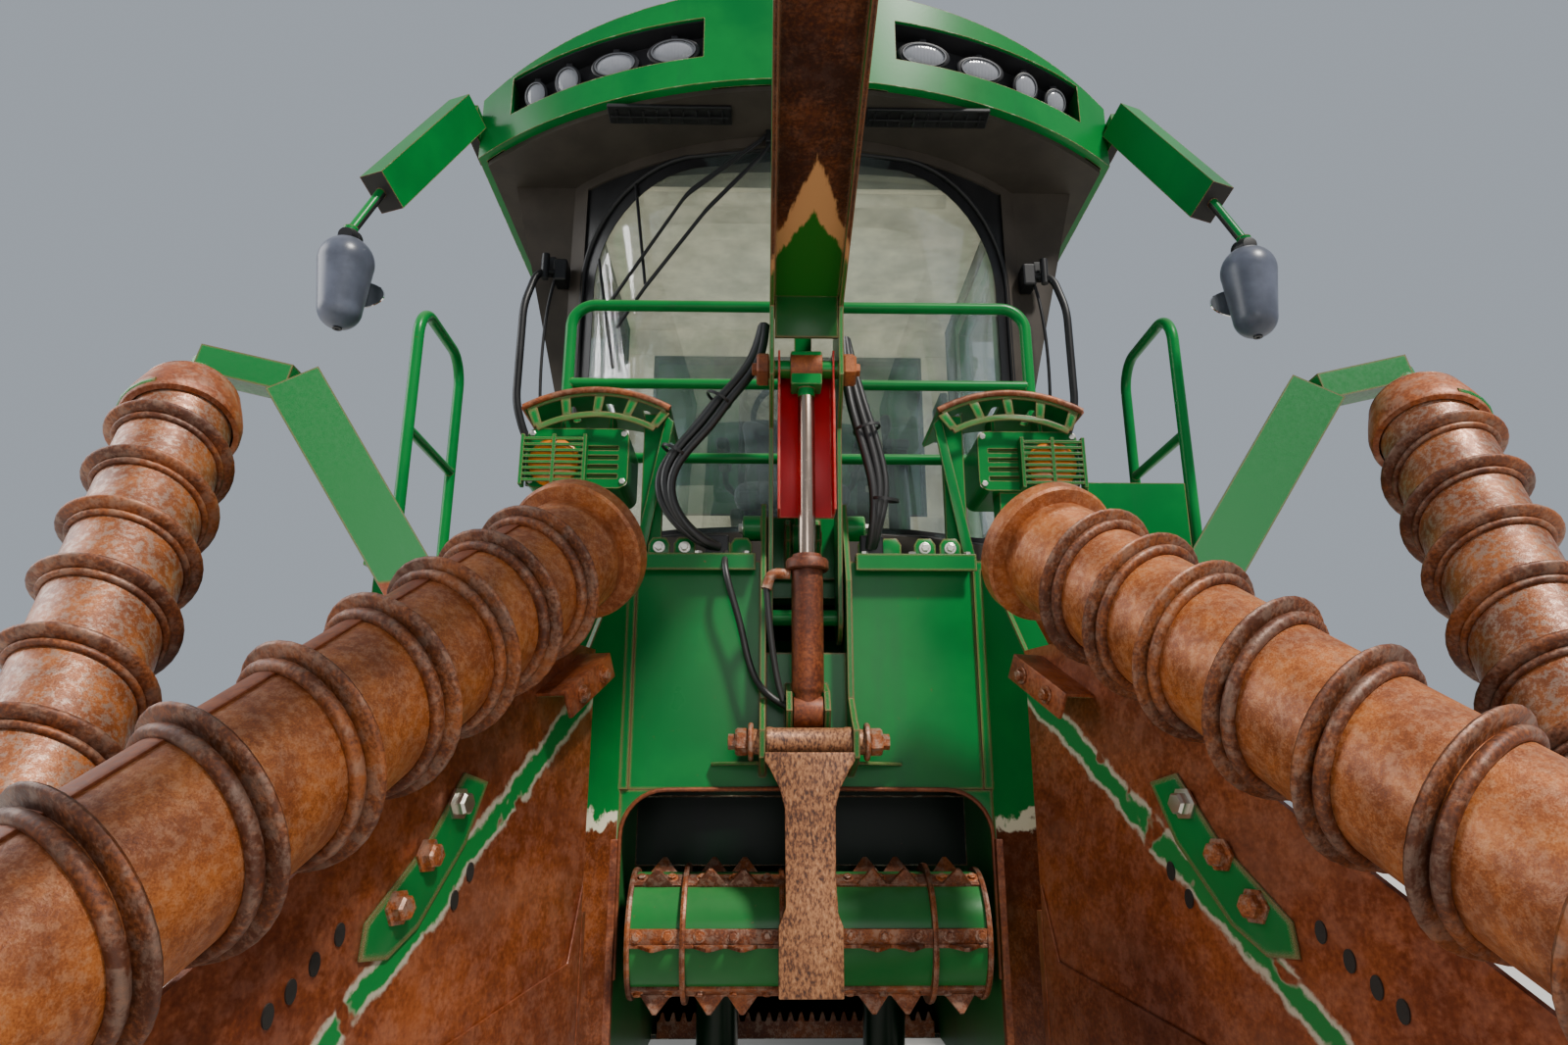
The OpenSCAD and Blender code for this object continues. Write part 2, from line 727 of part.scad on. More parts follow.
module roof_lamps() {
    back_r = roof_r - recess_depth;
    color("white") both_sides() for (x = [430, 640, 820, 950])
        translate([0, roof_front_y + roof_r, 3600]) rotate([0, 0, asin(x / back_r)])
            translate([0, -back_r - gap, 0]) rotate([90, 0, 0]) cylinder(h = 45, r = x < 700 ? 75 : 55);
}

// Lamp pods, rails, walkways and mirrors

pod_low = [500, 1925];
pod_high = [790, 2105];
arch_mid = [590, 1790];
arch_r = 420;

module lamp_pods() {
    arch_t = 12;
    foot_z = front_plate_z[1] + sheet_t;
    arch = concat(
        [for (a = [60 : 5 : 120]) arch_mid + arch_r * [cos(a), sin(a)]],
        [for (a = [120 : -5 : 60]) arch_mid + (arch_r - arch_t) * [cos(a), sin(a)]]
    );
    color(cane_green) both_sides() union() {
        difference() {
            front_panel(round_rect(pod_low, pod_high, 30), 40, 210);
            for (x = [530, 660], z = [pod_low[1] + 30 : 28 : pod_high[1] - 40])
                block([x, 30, z], [x + 100, 52, z + 12]);
        }
        difference() {
            front_panel(arch, 0, 280);
            for (x = [450, 560, 670]) translate([x, 140, 2100]) linear_extrude(150) polygon(round_rect([0, -60], [22, 60], 10));
        }
        for (x = [560, 700]) block([x, 110, pod_high[1] - 5], [x + 12, 190, 2180]);
        block([400, 50, foot_z], [460, 70, 2155]);
        block([560, 60, foot_z], [640, 140, pod_low[1] + 5]);
    }
}

rail_r = 19;

module rails() {
    post = [755, 355];
    color(cane_green) union() {
        pipe([
            [-post[0], post[1], deck_z], [-post[0], post[1], 2667], [post[0], post[1], 2667], [post[0], post[1], deck_z]
        ], rail_r, 80);
        for (z = [2129, 2386]) cross_rod(-post[0], post[0], [post[1], z], rail_r * 0.9);
    }
    color(cane_green) both_sides() {
        pipe([
            [1280, 420, deck_z + walkway_t], [1280, 420, 2700], [1280, 870, 2700], [1280, 870, deck_z + walkway_t]
        ], rail_r, 110);
        rod([1280, 421, 2250], [1280, 869, 2250], rail_r * 0.9);
    }
}

walkway_t = 15;

module walkways() {
    floor_t = walkway_t;
    color(cane_green) {
        both_sides() union() {
            block([cab_half_w + 20, 250, deck_z], [1300, 2000, deck_z + floor_t]);
            for (y = [335, 1100, 1900]) difference() {
                block([rail_x + rail_size, y, chassis_top + 20], [1300, y + 50, deck_z]);
                block([rail_x + rail_size + 60, y + 8, chassis_top + 19], [1280, y + 51, deck_z - 8]);
            }
        }
        block([cab_half_w + 25, 262, deck_z + floor_t + gap], [1190, 400, 2025]);
        union() {
            for (y = [1480, 1930])
                bar([1300, y, deck_z + 10], [1450, y, 660], 30, 60);
            for (i = [0 : 3])
                block([1300 + i * 35, 1480, 1500 - i * 260], [1420 + i * 35, 1930, 1530 - i * 260]);
        }
    }
}

mirror_pos = [1425, 150];
mirror_top = 2780;

module mirror_arms() {
    color(cane_green) both_sides() union() {
        bar([1235, 540, 3560], [1370, 210, 2990], 90, 130);
        block([roof_half_w + gap, 540, 3480], [1235, 740, 3600]);
        rod([1370, 215, 3000], [mirror_pos[0], mirror_pos[1], mirror_top + 25], 16);
        translate([mirror_pos[0], mirror_pos[1], mirror_top]) cylinder(h = 40, r = 22);
    }
}

module mirrors() {
    top_r = 84;
    foot_r = 66;
    high = 310;
    color(dark) both_sides() translate([mirror_pos[0], mirror_pos[1], mirror_top - high]) union() {
        translate([0, 0, foot_r]) sphere(r = foot_r);
        translate([0, 0, foot_r]) cylinder(h = high - foot_r - top_r, r1 = foot_r, r2 = top_r);
        translate([0, 0, high - top_r]) sphere(r = top_r);
    }
}

// Crop dividers

wall_rear = [520, -280];
wall_front = [1215, -2330];
wall_t = 12;

module scroll_pin(p, q, inward) {
    u = unit(q - p);
    rod(p - journal_reach * u, p + (journal_len - 3) * u, journal_r);
}

module divider_frame(side) {
    run = wall_front - wall_rear;
    s1 = norm(run);
    top_rise = (inner_top[2] - inner_foot[2]) / (inner_top[1] - inner_foot[1]);
    under = 210;
    s_a = 180;
    s_b = s1 - 85;
    y_a = wall_rear[1] + run[1] * s_a / s1;
    y_b = wall_rear[1] + run[1] * s_b / s1;
    z_a = inner_top[2] + top_rise * (y_a - inner_top[1]) - under;
    z_b = inner_top[2] + top_rise * (y_b - inner_top[1]) - under;
    wall = [[0, 300], [s1, 100], [s1, z_b], [s_b, z_b], [s_a, z_a], [0, z_a]];
    bulkhead = [[505, 420], [765, 420], [765, 1380], [650, 1380], [650, 840], [505, 840]];
    shoe = [[-2600, 110], [-2560, 90], [-2250, 90], [-2250, 175], [-2400, 270], [-2480, 270]];
    in_top = inner_top + journal_reach * unit(inner_top - inner_foot);
    in_foot = inner_foot - journal_reach * unit(inner_top - inner_foot);
    out_top = outer_top + journal_reach * unit(outer_top - outer_foot);
    out_foot = outer_foot - journal_reach * unit(outer_top - outer_foot);
    out_dir = unit(outer_top - outer_foot);
    behind = unit([-1, 0.2, 0] - ([-1, 0.2, 0] * out_dir) * out_dir);
    strut_top = outer_top + 60 * out_dir + 215 * behind;
    on_side(side) color(rust) difference() {
        union() {
            translate([wall_rear[0], wall_rear[1], 0]) rotate([0, 0, atan2(run[1], run[0])]) rotate([90, 0, 0])
                linear_extrude(wall_t) polygon(wall);
            front_panel(bulkhead, -290, 35);
            block([650, -256, 420], [765, -140, 1380]);
            side_plate(shoe, 1180, 100);
            bar([700, -200, 1340], in_top, 70, 70);
            scroll_pin(inner_top, inner_foot);
            scroll_pin(inner_foot, inner_top);
            bar([760, -200, 1250], strut_top, 100, 130);
            bar(strut_top, out_top, 90, 70);
            scroll_pin(outer_top, outer_foot);
            scroll_pin(outer_foot, outer_top);
            bar([925, -1500, 290], out_foot, 60, 60);
        }
        cross_rod(640, 780, divider_hinge, hinge_pin_r + gap);
    }
}

tube_t = 8;
flight_steps = 36;
close_turns = 3;

// A strip wound right-handed round the z axis from the height top down to low, its first turns closer
module flight(r, top, low, close, pitch) {
    near = close_turns * flight_steps;
    steps = near + floor((top - low - close_turns * close) / pitch * flight_steps);
    inner = r / cos(180 / flight_steps) + 0.1;
    tip = r + flight_h;
    section = [[inner, -7], [tip, -4.5], [tip, 4.5], [inner, 7]];
    points = [
        for (k = [0 : steps], p = section)
            let (down = steps - k, a = 180 - down * 360 / flight_steps,
                 z = top - (min(down, near) * close + max(down - near, 0) * pitch) / flight_steps)
            [p[0] * cos(a), p[0] * sin(a), z + p[1]]
    ];
    sides = [
        for (k = [0 : steps - 1], i = [0 : 3])
            let (a = 4 * k + i, b = 4 * k + (i + 1) % 4) each [[b + 4, a + 4, a], [b + 4, a, b]]
    ];
    end = 4 * steps;
    polyhedron(points, concat(
        [[3, 2, 1], [3, 1, 0]], sides, [[end, end + 1, end + 2], [end, end + 2, end + 3]]));
}

// A hollow scroll with a bore for its journal at each end, and the flight round it
module scroll(side, top, foot, r, first, close, pitch) {
    long = norm(top - foot);
    on_side(side) color(rust) aim(foot, top) {
        difference() {
            cylinder(h = long, r = r);
            translate([0, 0, journal_len]) cylinder(h = long - 2 * journal_len, r = r - tube_t);
            for (z = [-1, long - journal_len - 1]) translate([0, 0, z]) cylinder(h = journal_len + 2, r = journal_r + gap);
        }
        flight(r, long - first, 60, close, pitch);
    }
}

module inner_scroll(side) { scroll(side, inner_top, inner_foot, inner_scroll_r, 130, 150, 182); }

module outer_scroll(side) { scroll(side, outer_top, outer_foot, scroll_r, 120, 160, 168); }

// Topper

arm_dir = unit(boom_knee - boom_pivot);
arm_side = [arm_dir[1], -arm_dir[0]];
plate_x = boom_w / 2 - 12;

module topper_boom() {
    arm_half = 75;
    half = boom_h / 2;
    head_end = boom_knee + 100 * arm_dir;
    arm = [
        boom_pivot - arm_half * arm_side, boom_pivot + arm_half * arm_side, head_end + arm_half * arm_side,
        head_end - arm_half * arm_side
    ];
    beam_start = boom_knee - 70 * beam_dir;
    beam_end = boom_tip + 50 * beam_dir;
    beam = [
        beam_start - half * beam_up, beam_end - half * beam_up, beam_end + half * beam_up,
        beam_start + half * beam_up
    ];
    gusset = [
        boom_pivot + 500 * arm_dir - 60 * arm_side, rod_eye + [-50, -35], rod_eye + [-50, 40],
        boom_knee + 160 * beam_dir - (half - 10) * beam_up, boom_knee
    ];
    web_from = boom_knee + 60 * beam_dir;
    web_to = boom_tip - 220 * beam_dir;
    color(cane_green) difference() {
        union() {
            both_sides() {
                side_plate(arm, plate_x, 12);
                side_plate(beam, plate_x, 12);
                side_plate(gusset, plate_x, 12);
                cross_rod(plate_x, plate_x + 12, boom_pivot, arm_half);
            }
            for (n = [-half + 30, half - 15])
                side_plate([web_from + n * beam_up, web_to + n * beam_up, web_to + (n + 12) * beam_up,
                    web_from + (n + 12) * beam_up], -plate_x - 1, 2 * plate_x + 2);
            cross_rod(-135, 135, rod_eye, pin_r + 3);
        }
        for (p = [boom_pivot, boom_tip]) cross_rod(-boom_w, boom_w, p, pin_r + gap);
    }
}

module topper_link() {
    shift = link_pivot - boom_pivot;
    knee = boom_knee + shift;
    color(cane_green) difference() {
        union() {
            bent_plate(link_pivot, knee, head_pin, 25, -25, 50);
            for (p = [link_pivot, head_pin]) cross_rod(-30, 30, p, 42);
        }
        for (p = [link_pivot, head_pin]) cross_rod(-31, 31, p, pin_r + gap);
    }
}

cylinder_len = 391;

module boom_cylinder() {
    dir = unit(rod_eye - cylinder_foot);
    color(rust) difference() {
        union() {
            cross_rod(-38, 38, cylinder_foot, 42);
            rod(at_x(cylinder_foot + 20 * dir, 0), at_x(cylinder_foot + 76 * dir, 0), 30);
            rod(at_x(cylinder_foot + 75 * dir, 0), at_x(cylinder_foot + cylinder_len * dir, 0), 45);
        }
        cross_rod(-39, 39, cylinder_foot, pin_r + gap);
        rod(at_x(cylinder_foot + 60 * dir, 0), at_x(cylinder_foot + (cylinder_len + 1) * dir, 0), 25 + gap);
    }
}

module boom_rod() {
    dir = unit(rod_eye - cylinder_foot);
    color("silver") difference() {
        union() {
            rod(at_x(cylinder_foot + 140 * dir, 0), at_x(rod_eye - 30 * dir, 0), 25);
            cross_rod(-40, 40, rod_eye, 52);
        }
        cross_rod(-41, 41, rod_eye, pin_r + 3 + 8);
    }
}

module topper_head() {
    cheek = [
        boom_tip + [50, -50], head_pin + [50, 50], head_pin + [-60, 50], [boom_tip[0] - 350, deck_under + 30],
        [boom_tip[0] - 350, deck_under], [boom_tip[0] - 60, deck_under]
    ];
    color(cane_green) union() {
        both_sides() side_plate(cheek, 45, 15);
        cross_rod(-boom_w / 2 - 20, boom_w / 2 + 20, boom_tip, pin_r);
        cross_rod(-59, 59, head_pin, pin_r);
        block([-720, boom_tip[0] - 700, deck_under], [720, boom_tip[0] - 160, deck_under + 30]);
        translate([0, drum_pos[1], deck_under + 29]) cylinder(h = 180, r = 110);
        both_sides() translate([drum_pos[0], drum_pos[1], deck_under + 29]) cylinder(h = 100, r = 90);
        both_sides() translate([drum_pos[0], drum_pos[1], deck_under - 200]) cylinder(h = 201, r = journal_r);
    }
}

module gathering_drum(side) {
    core_r = 150;
    on_side(side) color(rust) translate([drum_pos[0], drum_pos[1], deck_under - 15 - drum_h]) difference() {
        union() {
            difference() {
                cylinder(h = drum_h, r = core_r);
                translate([0, 0, -1]) cylinder(h = drum_h + 1 - tube_t, r = core_r - tube_t);
            }
            translate([0, 0, drum_h - 230]) cylinder(h = 230, r = journal_r + 20);
            for (z = [15, 205, 395], a = [0 : 45 : 315])
                rotate([0, 0, a]) translate([core_r - 5, -20, z]) cube([drum_r - core_r + 3, 40, 14]);
        }
        translate([0, 0, drum_h - 190]) cylinder(h = 191, r = journal_r + gap);
    }
}

// Primary extractor

chamber_z = [2100, 2935];
chamber_t = 12;
fan_z = 2620;

module extractor_chamber() {
    r = extractor_r;
    t = chamber_t;
    beam_half = 40;
    beam_x = sqrt(pow(r - t, 2) - pow(beam_half, 2)) - gap;
    rib_z = [2300, 2520];
    mouth_z = [ring_z + 5, chassis_top - 60];
    color(cane_green) {
        difference() {
            block([-r, chassis_len - 60, deck_z], [r, slew_y + r, chamber_z[0]]);
            block([-r + t, chassis_len - 60 + t, deck_z + t], [r - t, slew_y + r - t, chamber_z[0] - t]);
            translate([0, slew_y, deck_z - 1]) cylinder(h = 100, r = ring_hole_r);
            translate([0, slew_y, chamber_z[0] - 100]) cylinder(h = 101, r = r - t - 1);
        }
        difference() {
            union() {
                translate([0, slew_y, chamber_z[0] + gap]) cylinder(h = chamber_z[1] - chamber_z[0] - gap, r = r);
                translate([0, slew_y, chamber_z[1] - 30]) cylinder(h = 30, r = r + 50);
                for (z = rib_z) translate([0, slew_y, z]) cylinder(h = t, r = r + 25);
            }
            translate([0, slew_y, chamber_z[0] - 2]) cylinder(h = chamber_z[1] - chamber_z[0] + 3, r = r - t);
        }
        difference() {
            translate([0, slew_y, ring_z + ring_t]) cylinder(h = deck_z - ring_z - ring_t - gap, r = ring_hole_r + t);
            translate([0, slew_y, ring_z]) cylinder(h = 700, r = ring_hole_r);
            block([-300, chassis_len, ring_z], [300, slew_y, mouth_z[1]]);
        }
        block([-beam_x, slew_y - beam_half, fan_z - 60], [beam_x, slew_y + beam_half, fan_z - gap]);
        translate([0, slew_y, fan_z]) cylinder(h = 150, r = journal_r);
        difference() {
            both_sides() block([300, chassis_len - 50 + gap, mouth_z[0]], [300 + t, slew_y - 300, mouth_z[1]]);
            translate([0, slew_y, ring_z]) cylinder(h = 700, r = ring_hole_r + t + gap);
            translate([0, slew_y, ring_z - 1]) cylinder(h = ring_t + 1 + gap, r = ring_r + gap);
        }
    }
}

module primary_hood() {
    r = extractor_r + 50;
    z0 = chamber_z[1] + gap;
    h = 950;
    slope = 20;
    color(cane_green) difference() {
        intersection() {
            translate([0, slew_y, z0]) cylinder(h = h, r = r);
            translate([0, slew_y + r, z0 + 620]) rotate([-slope, 0, 0]) translate([-r - 10, -3000, -3000]) cube([2 * r + 20, 4000, 3000]);
        }
        intersection() {
            translate([0, slew_y, z0 - 1]) cylinder(h = h, r = r - chamber_t);
            translate([0, slew_y + r, z0 + 605]) rotate([-slope, 0, 0]) translate([-r - 10, -3000, -3000]) cube([2 * r + 20, 4000, 3000]);
        }
        block([-r + 120, slew_y + 150, z0 + 180], [r - 120, slew_y + r + 50, z0 + 560]);
    }
}

module primary_fan() {
    color("dimgray") translate([0, slew_y, fan_z + gap]) union() {
        difference() {
            cylinder(h = 200, r = 110);
            translate([0, 0, -1]) cylinder(h = 161, r = journal_r + gap);
        }
        for (a = [0 : 90 : 270]) rotate([0, 0, a]) translate([90, 0, 100]) rotate([35, 0, 0])
            translate([0, -110, -8]) cube([500, 220, 16]);
    }
}

// Elevator

module elevator_base() {
    z1 = ring_z - gap;
    bowl_r = ring_hole_r + 30;
    floor_z = 520;
    mouth_x = 420;
    hinge_ear = [
        [slew_y + 300, z1], [slew_y + 300, 980], elevator_hinge + [-100, -80], elevator_hinge + [60, -90],
        elevator_hinge + [100, 0], elevator_hinge + [60, 120], [slew_y + 590, z1]
    ];
    lift_ear = [
        elevator_hinge + [-60, 20], elevator_hinge + [60, 20], lift_foot + [60, 0], lift_foot + [20, -60],
        lift_foot + [-55, -20]
    ];
    color(cane_green) {
        difference() {
            translate([0, slew_y, z1 - 80]) cylinder(h = 80, r = ring_r - 20);
            translate([0, slew_y, z1 - 81]) cylinder(h = 82, r = bowl_r + gap);
        }
        difference() {
            translate([0, slew_y, floor_z + sheet_t]) cylinder(h = z1 - floor_z - sheet_t, r = bowl_r);
            translate([0, slew_y, floor_z]) cylinder(h = 700, r = bowl_r - sheet_t);
            block([-mouth_x, slew_y + 200, 700], [mouth_x, slew_y + 500, z1 - 85]);
        }
        translate([0, slew_y, floor_z]) cylinder(h = sheet_t - gap, r = bowl_r);
        block([-mouth_x + 12 + gap, slew_y + bowl_r + gap, 690], [mouth_x - 12 - gap, elevator_hinge[0] - 40, 700]);
        both_sides() {
            block([mouth_x - 12, slew_y + 235, 690], [mouth_x, elevator_hinge[0] - 40, z1 - 90]);
            side_plate(hinge_ear, elevator_w / 2 + 5, 25);
            side_plate(lift_ear, elevator_w / 2 + 29, 16);
            cross_rod(elevator_w / 2 + 40, lift_x + 40, lift_foot, pin_r);
            cross_rod(elevator_w / 2 - 25, elevator_w / 2 + 10, elevator_hinge, elevator_pin_r);
        }
    }
}

// Places children in the elevator's own frame: y along the slope and z square to it, from the hinge
module on_elevator() {
    translate([0, elevator_hinge[0], elevator_hinge[1]]) rotate([elevator_slope, 0, 0]) children();
}

roller_end = 150;
sprocket_r = 100;
wall_thick = 20;

module elevator_frame() {
    w = elevator_w / 2;
    wall = [
        [0, -trough_low], [elevator_len, -trough_low], [elevator_len, trough_high], [500, trough_high],
        [300, trough_low], [0, trough_low]
    ];
    color(cane_green) difference() {
        union() {
            on_elevator() {
                both_sides() {
                    side_plate(wall, w - wall_thick, wall_thick);
                    cross_rod(w - wall_thick, w, [0, 0], trough_low);
                    cross_rod(w - 1, lift_x + 35, [lift_along, -trough_low], pin_r);
                    block([w - 1, lift_along - 60, -trough_low - 40], [w + 14, lift_along + 60, -trough_low + 60]);
                }
                for (y = [sprocket_r + 60, elevator_len - 160])
                    cross_rod(-w + 1, w - 1, [y, 0], sprocket_r - gap);
                block([-w + 1, 400, -4], [w - 1, elevator_len - 400, 4]);
            }
            both_sides() side_plate([
                [secondary_y - 480, elevator_end[1] - 420], [secondary_y - 480, secondary_z],
                [secondary_y + secondary_r - 20, secondary_z], [secondary_y + secondary_r - 20, elevator_end[1] - 40],
                [elevator_end[0], elevator_end[1] - 60]
            ], w - wall_thick, wall_thick);
            difference() {
                block([-w, secondary_y - 480, secondary_z - 15], [w, secondary_y + secondary_r - 20, secondary_z]);
                translate([0, secondary_y, secondary_z - 20]) cylinder(h = 40, r = secondary_r - 60);
            }
        }
        cross_rod(-w - 1, -w + wall_thick + 60, elevator_hinge, elevator_pin_r + gap);
        cross_rod(w - wall_thick - 60, w + 1, elevator_hinge, elevator_pin_r + gap);
    }
}

module elevator_chain() {
    w = elevator_w / 2 - wall_thick - 15;
    t = 8;
    y0 = sprocket_r + 60;
    y1 = elevator_len - 160;
    slat_h = 45;
    n = 12;
    color("dimgray") on_elevator() union() {
        difference() {
            union() {
                block([-w, y0, -sprocket_r - t], [w, y1, sprocket_r + t]);
                for (y = [y0, y1]) cross_rod(-w, w, [y, 0], sprocket_r + t);
            }
            block([-w - 1, y0, -sprocket_r], [w + 1, y1, sprocket_r]);
            for (y = [y0, y1]) cross_rod(-w - 1, w + 1, [y, 0], sprocket_r);
        }
        for (i = [0 : n - 1], s = [-1, 1])
            translate([0, y0 + 100 + i * (y1 - y0 - 200) / (n - 1), s * (sprocket_r + t - 1 + slat_h / 2)])
                cube([2 * w - 20, 30, slat_h], center = true);
    }
}

lift_len = 900;

module elevator_cylinders() {
    dir = unit(lift_eye - lift_foot);
    color(cane_green) both_sides() difference() {
        union() {
            cross_rod(lift_x - 28, lift_x + 28, lift_foot, 45);
            rod(at_x(lift_foot + 20 * dir, lift_x), at_x(lift_foot + 66 * dir, lift_x), 26);
            rod(at_x(lift_foot + 65 * dir, lift_x), at_x(lift_foot + lift_len * dir, lift_x), 42);
        }
        cross_rod(lift_x - 29, lift_x + 29, lift_foot, pin_r + gap);
        rod(at_x(lift_foot + 60 * dir, lift_x), at_x(lift_foot + (lift_len + 1) * dir, lift_x), 25 + gap);
    }
}

module elevator_rods() {
    dir = unit(lift_eye - lift_foot);
    color("silver") both_sides() difference() {
        union() {
            rod(at_x(lift_foot + 300 * dir, lift_x), at_x(lift_eye - 30 * dir, lift_x), 25);
            cross_rod(lift_x - 28, lift_x + 28, lift_eye, 45);
        }
        cross_rod(lift_x - 29, lift_x + 29, lift_eye, pin_r + 8);
    }
}

module secondary_hood() {
    r = secondary_r;
    z0 = secondary_z + gap;
    color(cane_green) difference() {
        intersection() {
            translate([0, secondary_y, z0]) cylinder(h = 620, r = r);
            translate([0, secondary_y + r, z0 + 400]) rotate([-18, 0, 0]) translate([-r - 10, -3000, -3000]) cube([2 * r + 20, 4000, 3000]);
        }
        intersection() {
            translate([0, secondary_y, z0 - 1]) cylinder(h = 620, r = r - 10);
            translate([0, secondary_y + r, z0 + 388]) rotate([-18, 0, 0]) translate([-r - 10, -3000, -3000]) cube([2 * r + 20, 4000, 3000]);
        }
        block([-r + 90, secondary_y + 90, z0 + 100], [r - 90, secondary_y + r + 50, z0 + 360]);
    }
}

place() chassis_frame();
place() front_body();
place() roller_arm();
place() feed_tunnel();
place() wheel_carriers();
place() side_tanks();
place() engine_block();
place() engine_cover();
place() side_grilles();
place() exhaust_stack();
place() cab_shell();
place() cab_roof();
place() cab_glass();
place() operator_seat();
place() steering_console();
place() roof_lamps();
place() lamp_pods();
place() rails();
place() walkways();
place() mirror_arms();
place() mirrors();
place() extractor_chamber();
place() cab_door();
place() door_glass();
place() knockdown_roller();
place() basecutter_disc("left");  // basecutter_disc_left
place() basecutter_disc("right");  // basecutter_disc_right
place() divider_frame("left");  // divider_frame_left
place() divider_frame("right");  // divider_frame_right
place() inner_scroll("left");  // inner_scroll_left
place() inner_scroll("right");  // inner_scroll_right
place() outer_scroll("left");  // outer_scroll_left
place() outer_scroll("right");  // outer_scroll_right
place() topper_boom();
place() topper_link();
place() boom_cylinder();
place() boom_rod();
place() topper_head();
place() gathering_drum("left");  // gathering_drum_left
place() gathering_drum("right");  // gathering_drum_right
place() primary_hood();
place() primary_fan();
place() elevator_base();
place() elevator_frame();
place() elevator_chain();
place() elevator_cylinders();
place() elevator_rods();
place() secondary_hood();
place() knuckle("left");  // knuckle_left
place() knuckle("right");  // knuckle_right
place() on_side("left") tyre(front_pos, front_tyre_r, front_tyre_w, front_rim_r + gap, 0);  // front_tyre_left
place() on_side("right") tyre(front_pos, front_tyre_r, front_tyre_w, front_rim_r + gap, 0);  // front_tyre_right
place() on_side("left") rim(front_pos, front_rim_r, 330, stub_r);  // front_rim_left
place() on_side("right") rim(front_pos, front_rim_r, 330, stub_r);  // front_rim_right
place() on_side("left") tyre(rear_pos, rear_tyre_r, rear_tyre_w, rear_rim_r + gap, 45);  // rear_tyre_left
place() on_side("right") tyre(rear_pos, rear_tyre_r, rear_tyre_w, rear_rim_r + gap, 45);  // rear_tyre_right
place() on_side("left") rim(rear_pos, rear_rim_r, 500, drive_r);  // rear_rim_left
place() on_side("right") rim(rear_pos, rear_rim_r, 500, drive_r);  // rear_rim_right
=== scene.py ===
"""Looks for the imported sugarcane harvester: camera, light, finishes and the detailed pieces over the CAD frame."""

import logging
from dataclasses import dataclass, field
from enum import Enum
from math import cos, pi, radians, sin, sqrt
from typing import Callable, Iterable, Sequence

import bpy
from mathutils import Matrix, Vector


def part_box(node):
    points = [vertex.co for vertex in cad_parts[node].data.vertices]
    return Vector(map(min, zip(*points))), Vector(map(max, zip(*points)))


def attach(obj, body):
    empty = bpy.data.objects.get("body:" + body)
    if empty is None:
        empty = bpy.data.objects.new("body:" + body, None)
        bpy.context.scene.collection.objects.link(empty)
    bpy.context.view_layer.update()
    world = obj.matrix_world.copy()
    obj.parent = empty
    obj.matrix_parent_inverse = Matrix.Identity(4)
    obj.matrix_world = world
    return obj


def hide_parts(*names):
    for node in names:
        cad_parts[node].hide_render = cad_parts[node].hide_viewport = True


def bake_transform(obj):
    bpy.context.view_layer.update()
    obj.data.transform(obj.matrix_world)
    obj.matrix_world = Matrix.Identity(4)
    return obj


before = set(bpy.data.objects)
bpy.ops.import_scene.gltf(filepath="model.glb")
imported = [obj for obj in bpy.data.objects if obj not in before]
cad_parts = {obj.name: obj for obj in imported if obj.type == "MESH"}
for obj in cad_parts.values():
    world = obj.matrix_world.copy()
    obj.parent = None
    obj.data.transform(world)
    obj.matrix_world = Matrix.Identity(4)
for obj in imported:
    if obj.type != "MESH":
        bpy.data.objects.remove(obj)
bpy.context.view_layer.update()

log = logging.getLogger("harvester")

# The front plate of the throat stands at this y in the row frame, so a machine y becomes y + SHIFT_Y
SHIFT_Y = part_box("engine_block")[0][1] - 2.65

Piece = bpy.types.Object
Socket = bpy.types.NodeSocket
Pair = tuple[float, float]
Triple = tuple[float, float, float]
Point = Sequence[float]
Outline = Sequence[Pair]

# Directions of the row frame; the machine's left is at +X
TO_LEFT, TO_FRONT, TO_REAR, UP = Vector((1, 0, 0)), Vector((0, -1, 0)), Vector((0, 1, 0)), Vector((0, 0, 1))


def at(x: float, y: float, z: float) -> Vector:
    """A point given in the machine's own coordinates, in the row frame."""
    return Vector((x, y + SHIFT_Y, z))


def aim_matrix(origin: Vector, along: Vector, up: Vector) -> Matrix:
    """Frame whose z axis runs along a direction.

    Args:
        origin: Where the frame stands.
        along: Direction of its z axis.
        up: Direction that its x axis leans towards.

    Returns:
        The 4x4 matrix from that frame to the row frame.
    """
    z = along.normalized()
    x = (up - up.dot(z) * z).normalized()
    y = z.cross(x)
    return Matrix.Translation(origin) @ Matrix((x, y, z)).transposed().to_4x4()


def rounded(points: Sequence[Vector], radius: float, steps: int = 6) -> list[Vector]:
    """Rounds the corners of a path.

    Args:
        points: Corners of the path.
        radius: How far from a corner its bend starts.
        steps: Pieces in each bend.

    Returns:
        The points of the rounded path.
    """
    out = [points[0]]
    for before, corner, after in zip(points, points[1:], points[2:]):
        a = corner + (before - corner).normalized() * min(radius, (before - corner).length * 0.45)
        b = corner + (after - corner).normalized() * min(radius, (after - corner).length * 0.45)
        for i in range(steps + 1):
            t = i / steps
            out.append(a * (1 - t) ** 2 + corner * 2 * t * (1 - t) + b * t ** 2)
    out.append(points[-1])
    return out


class Side(Enum):
    """Side of the machine; its left is at +X, on the right of the picture."""

    LEFT = "left"
    RIGHT = "right"


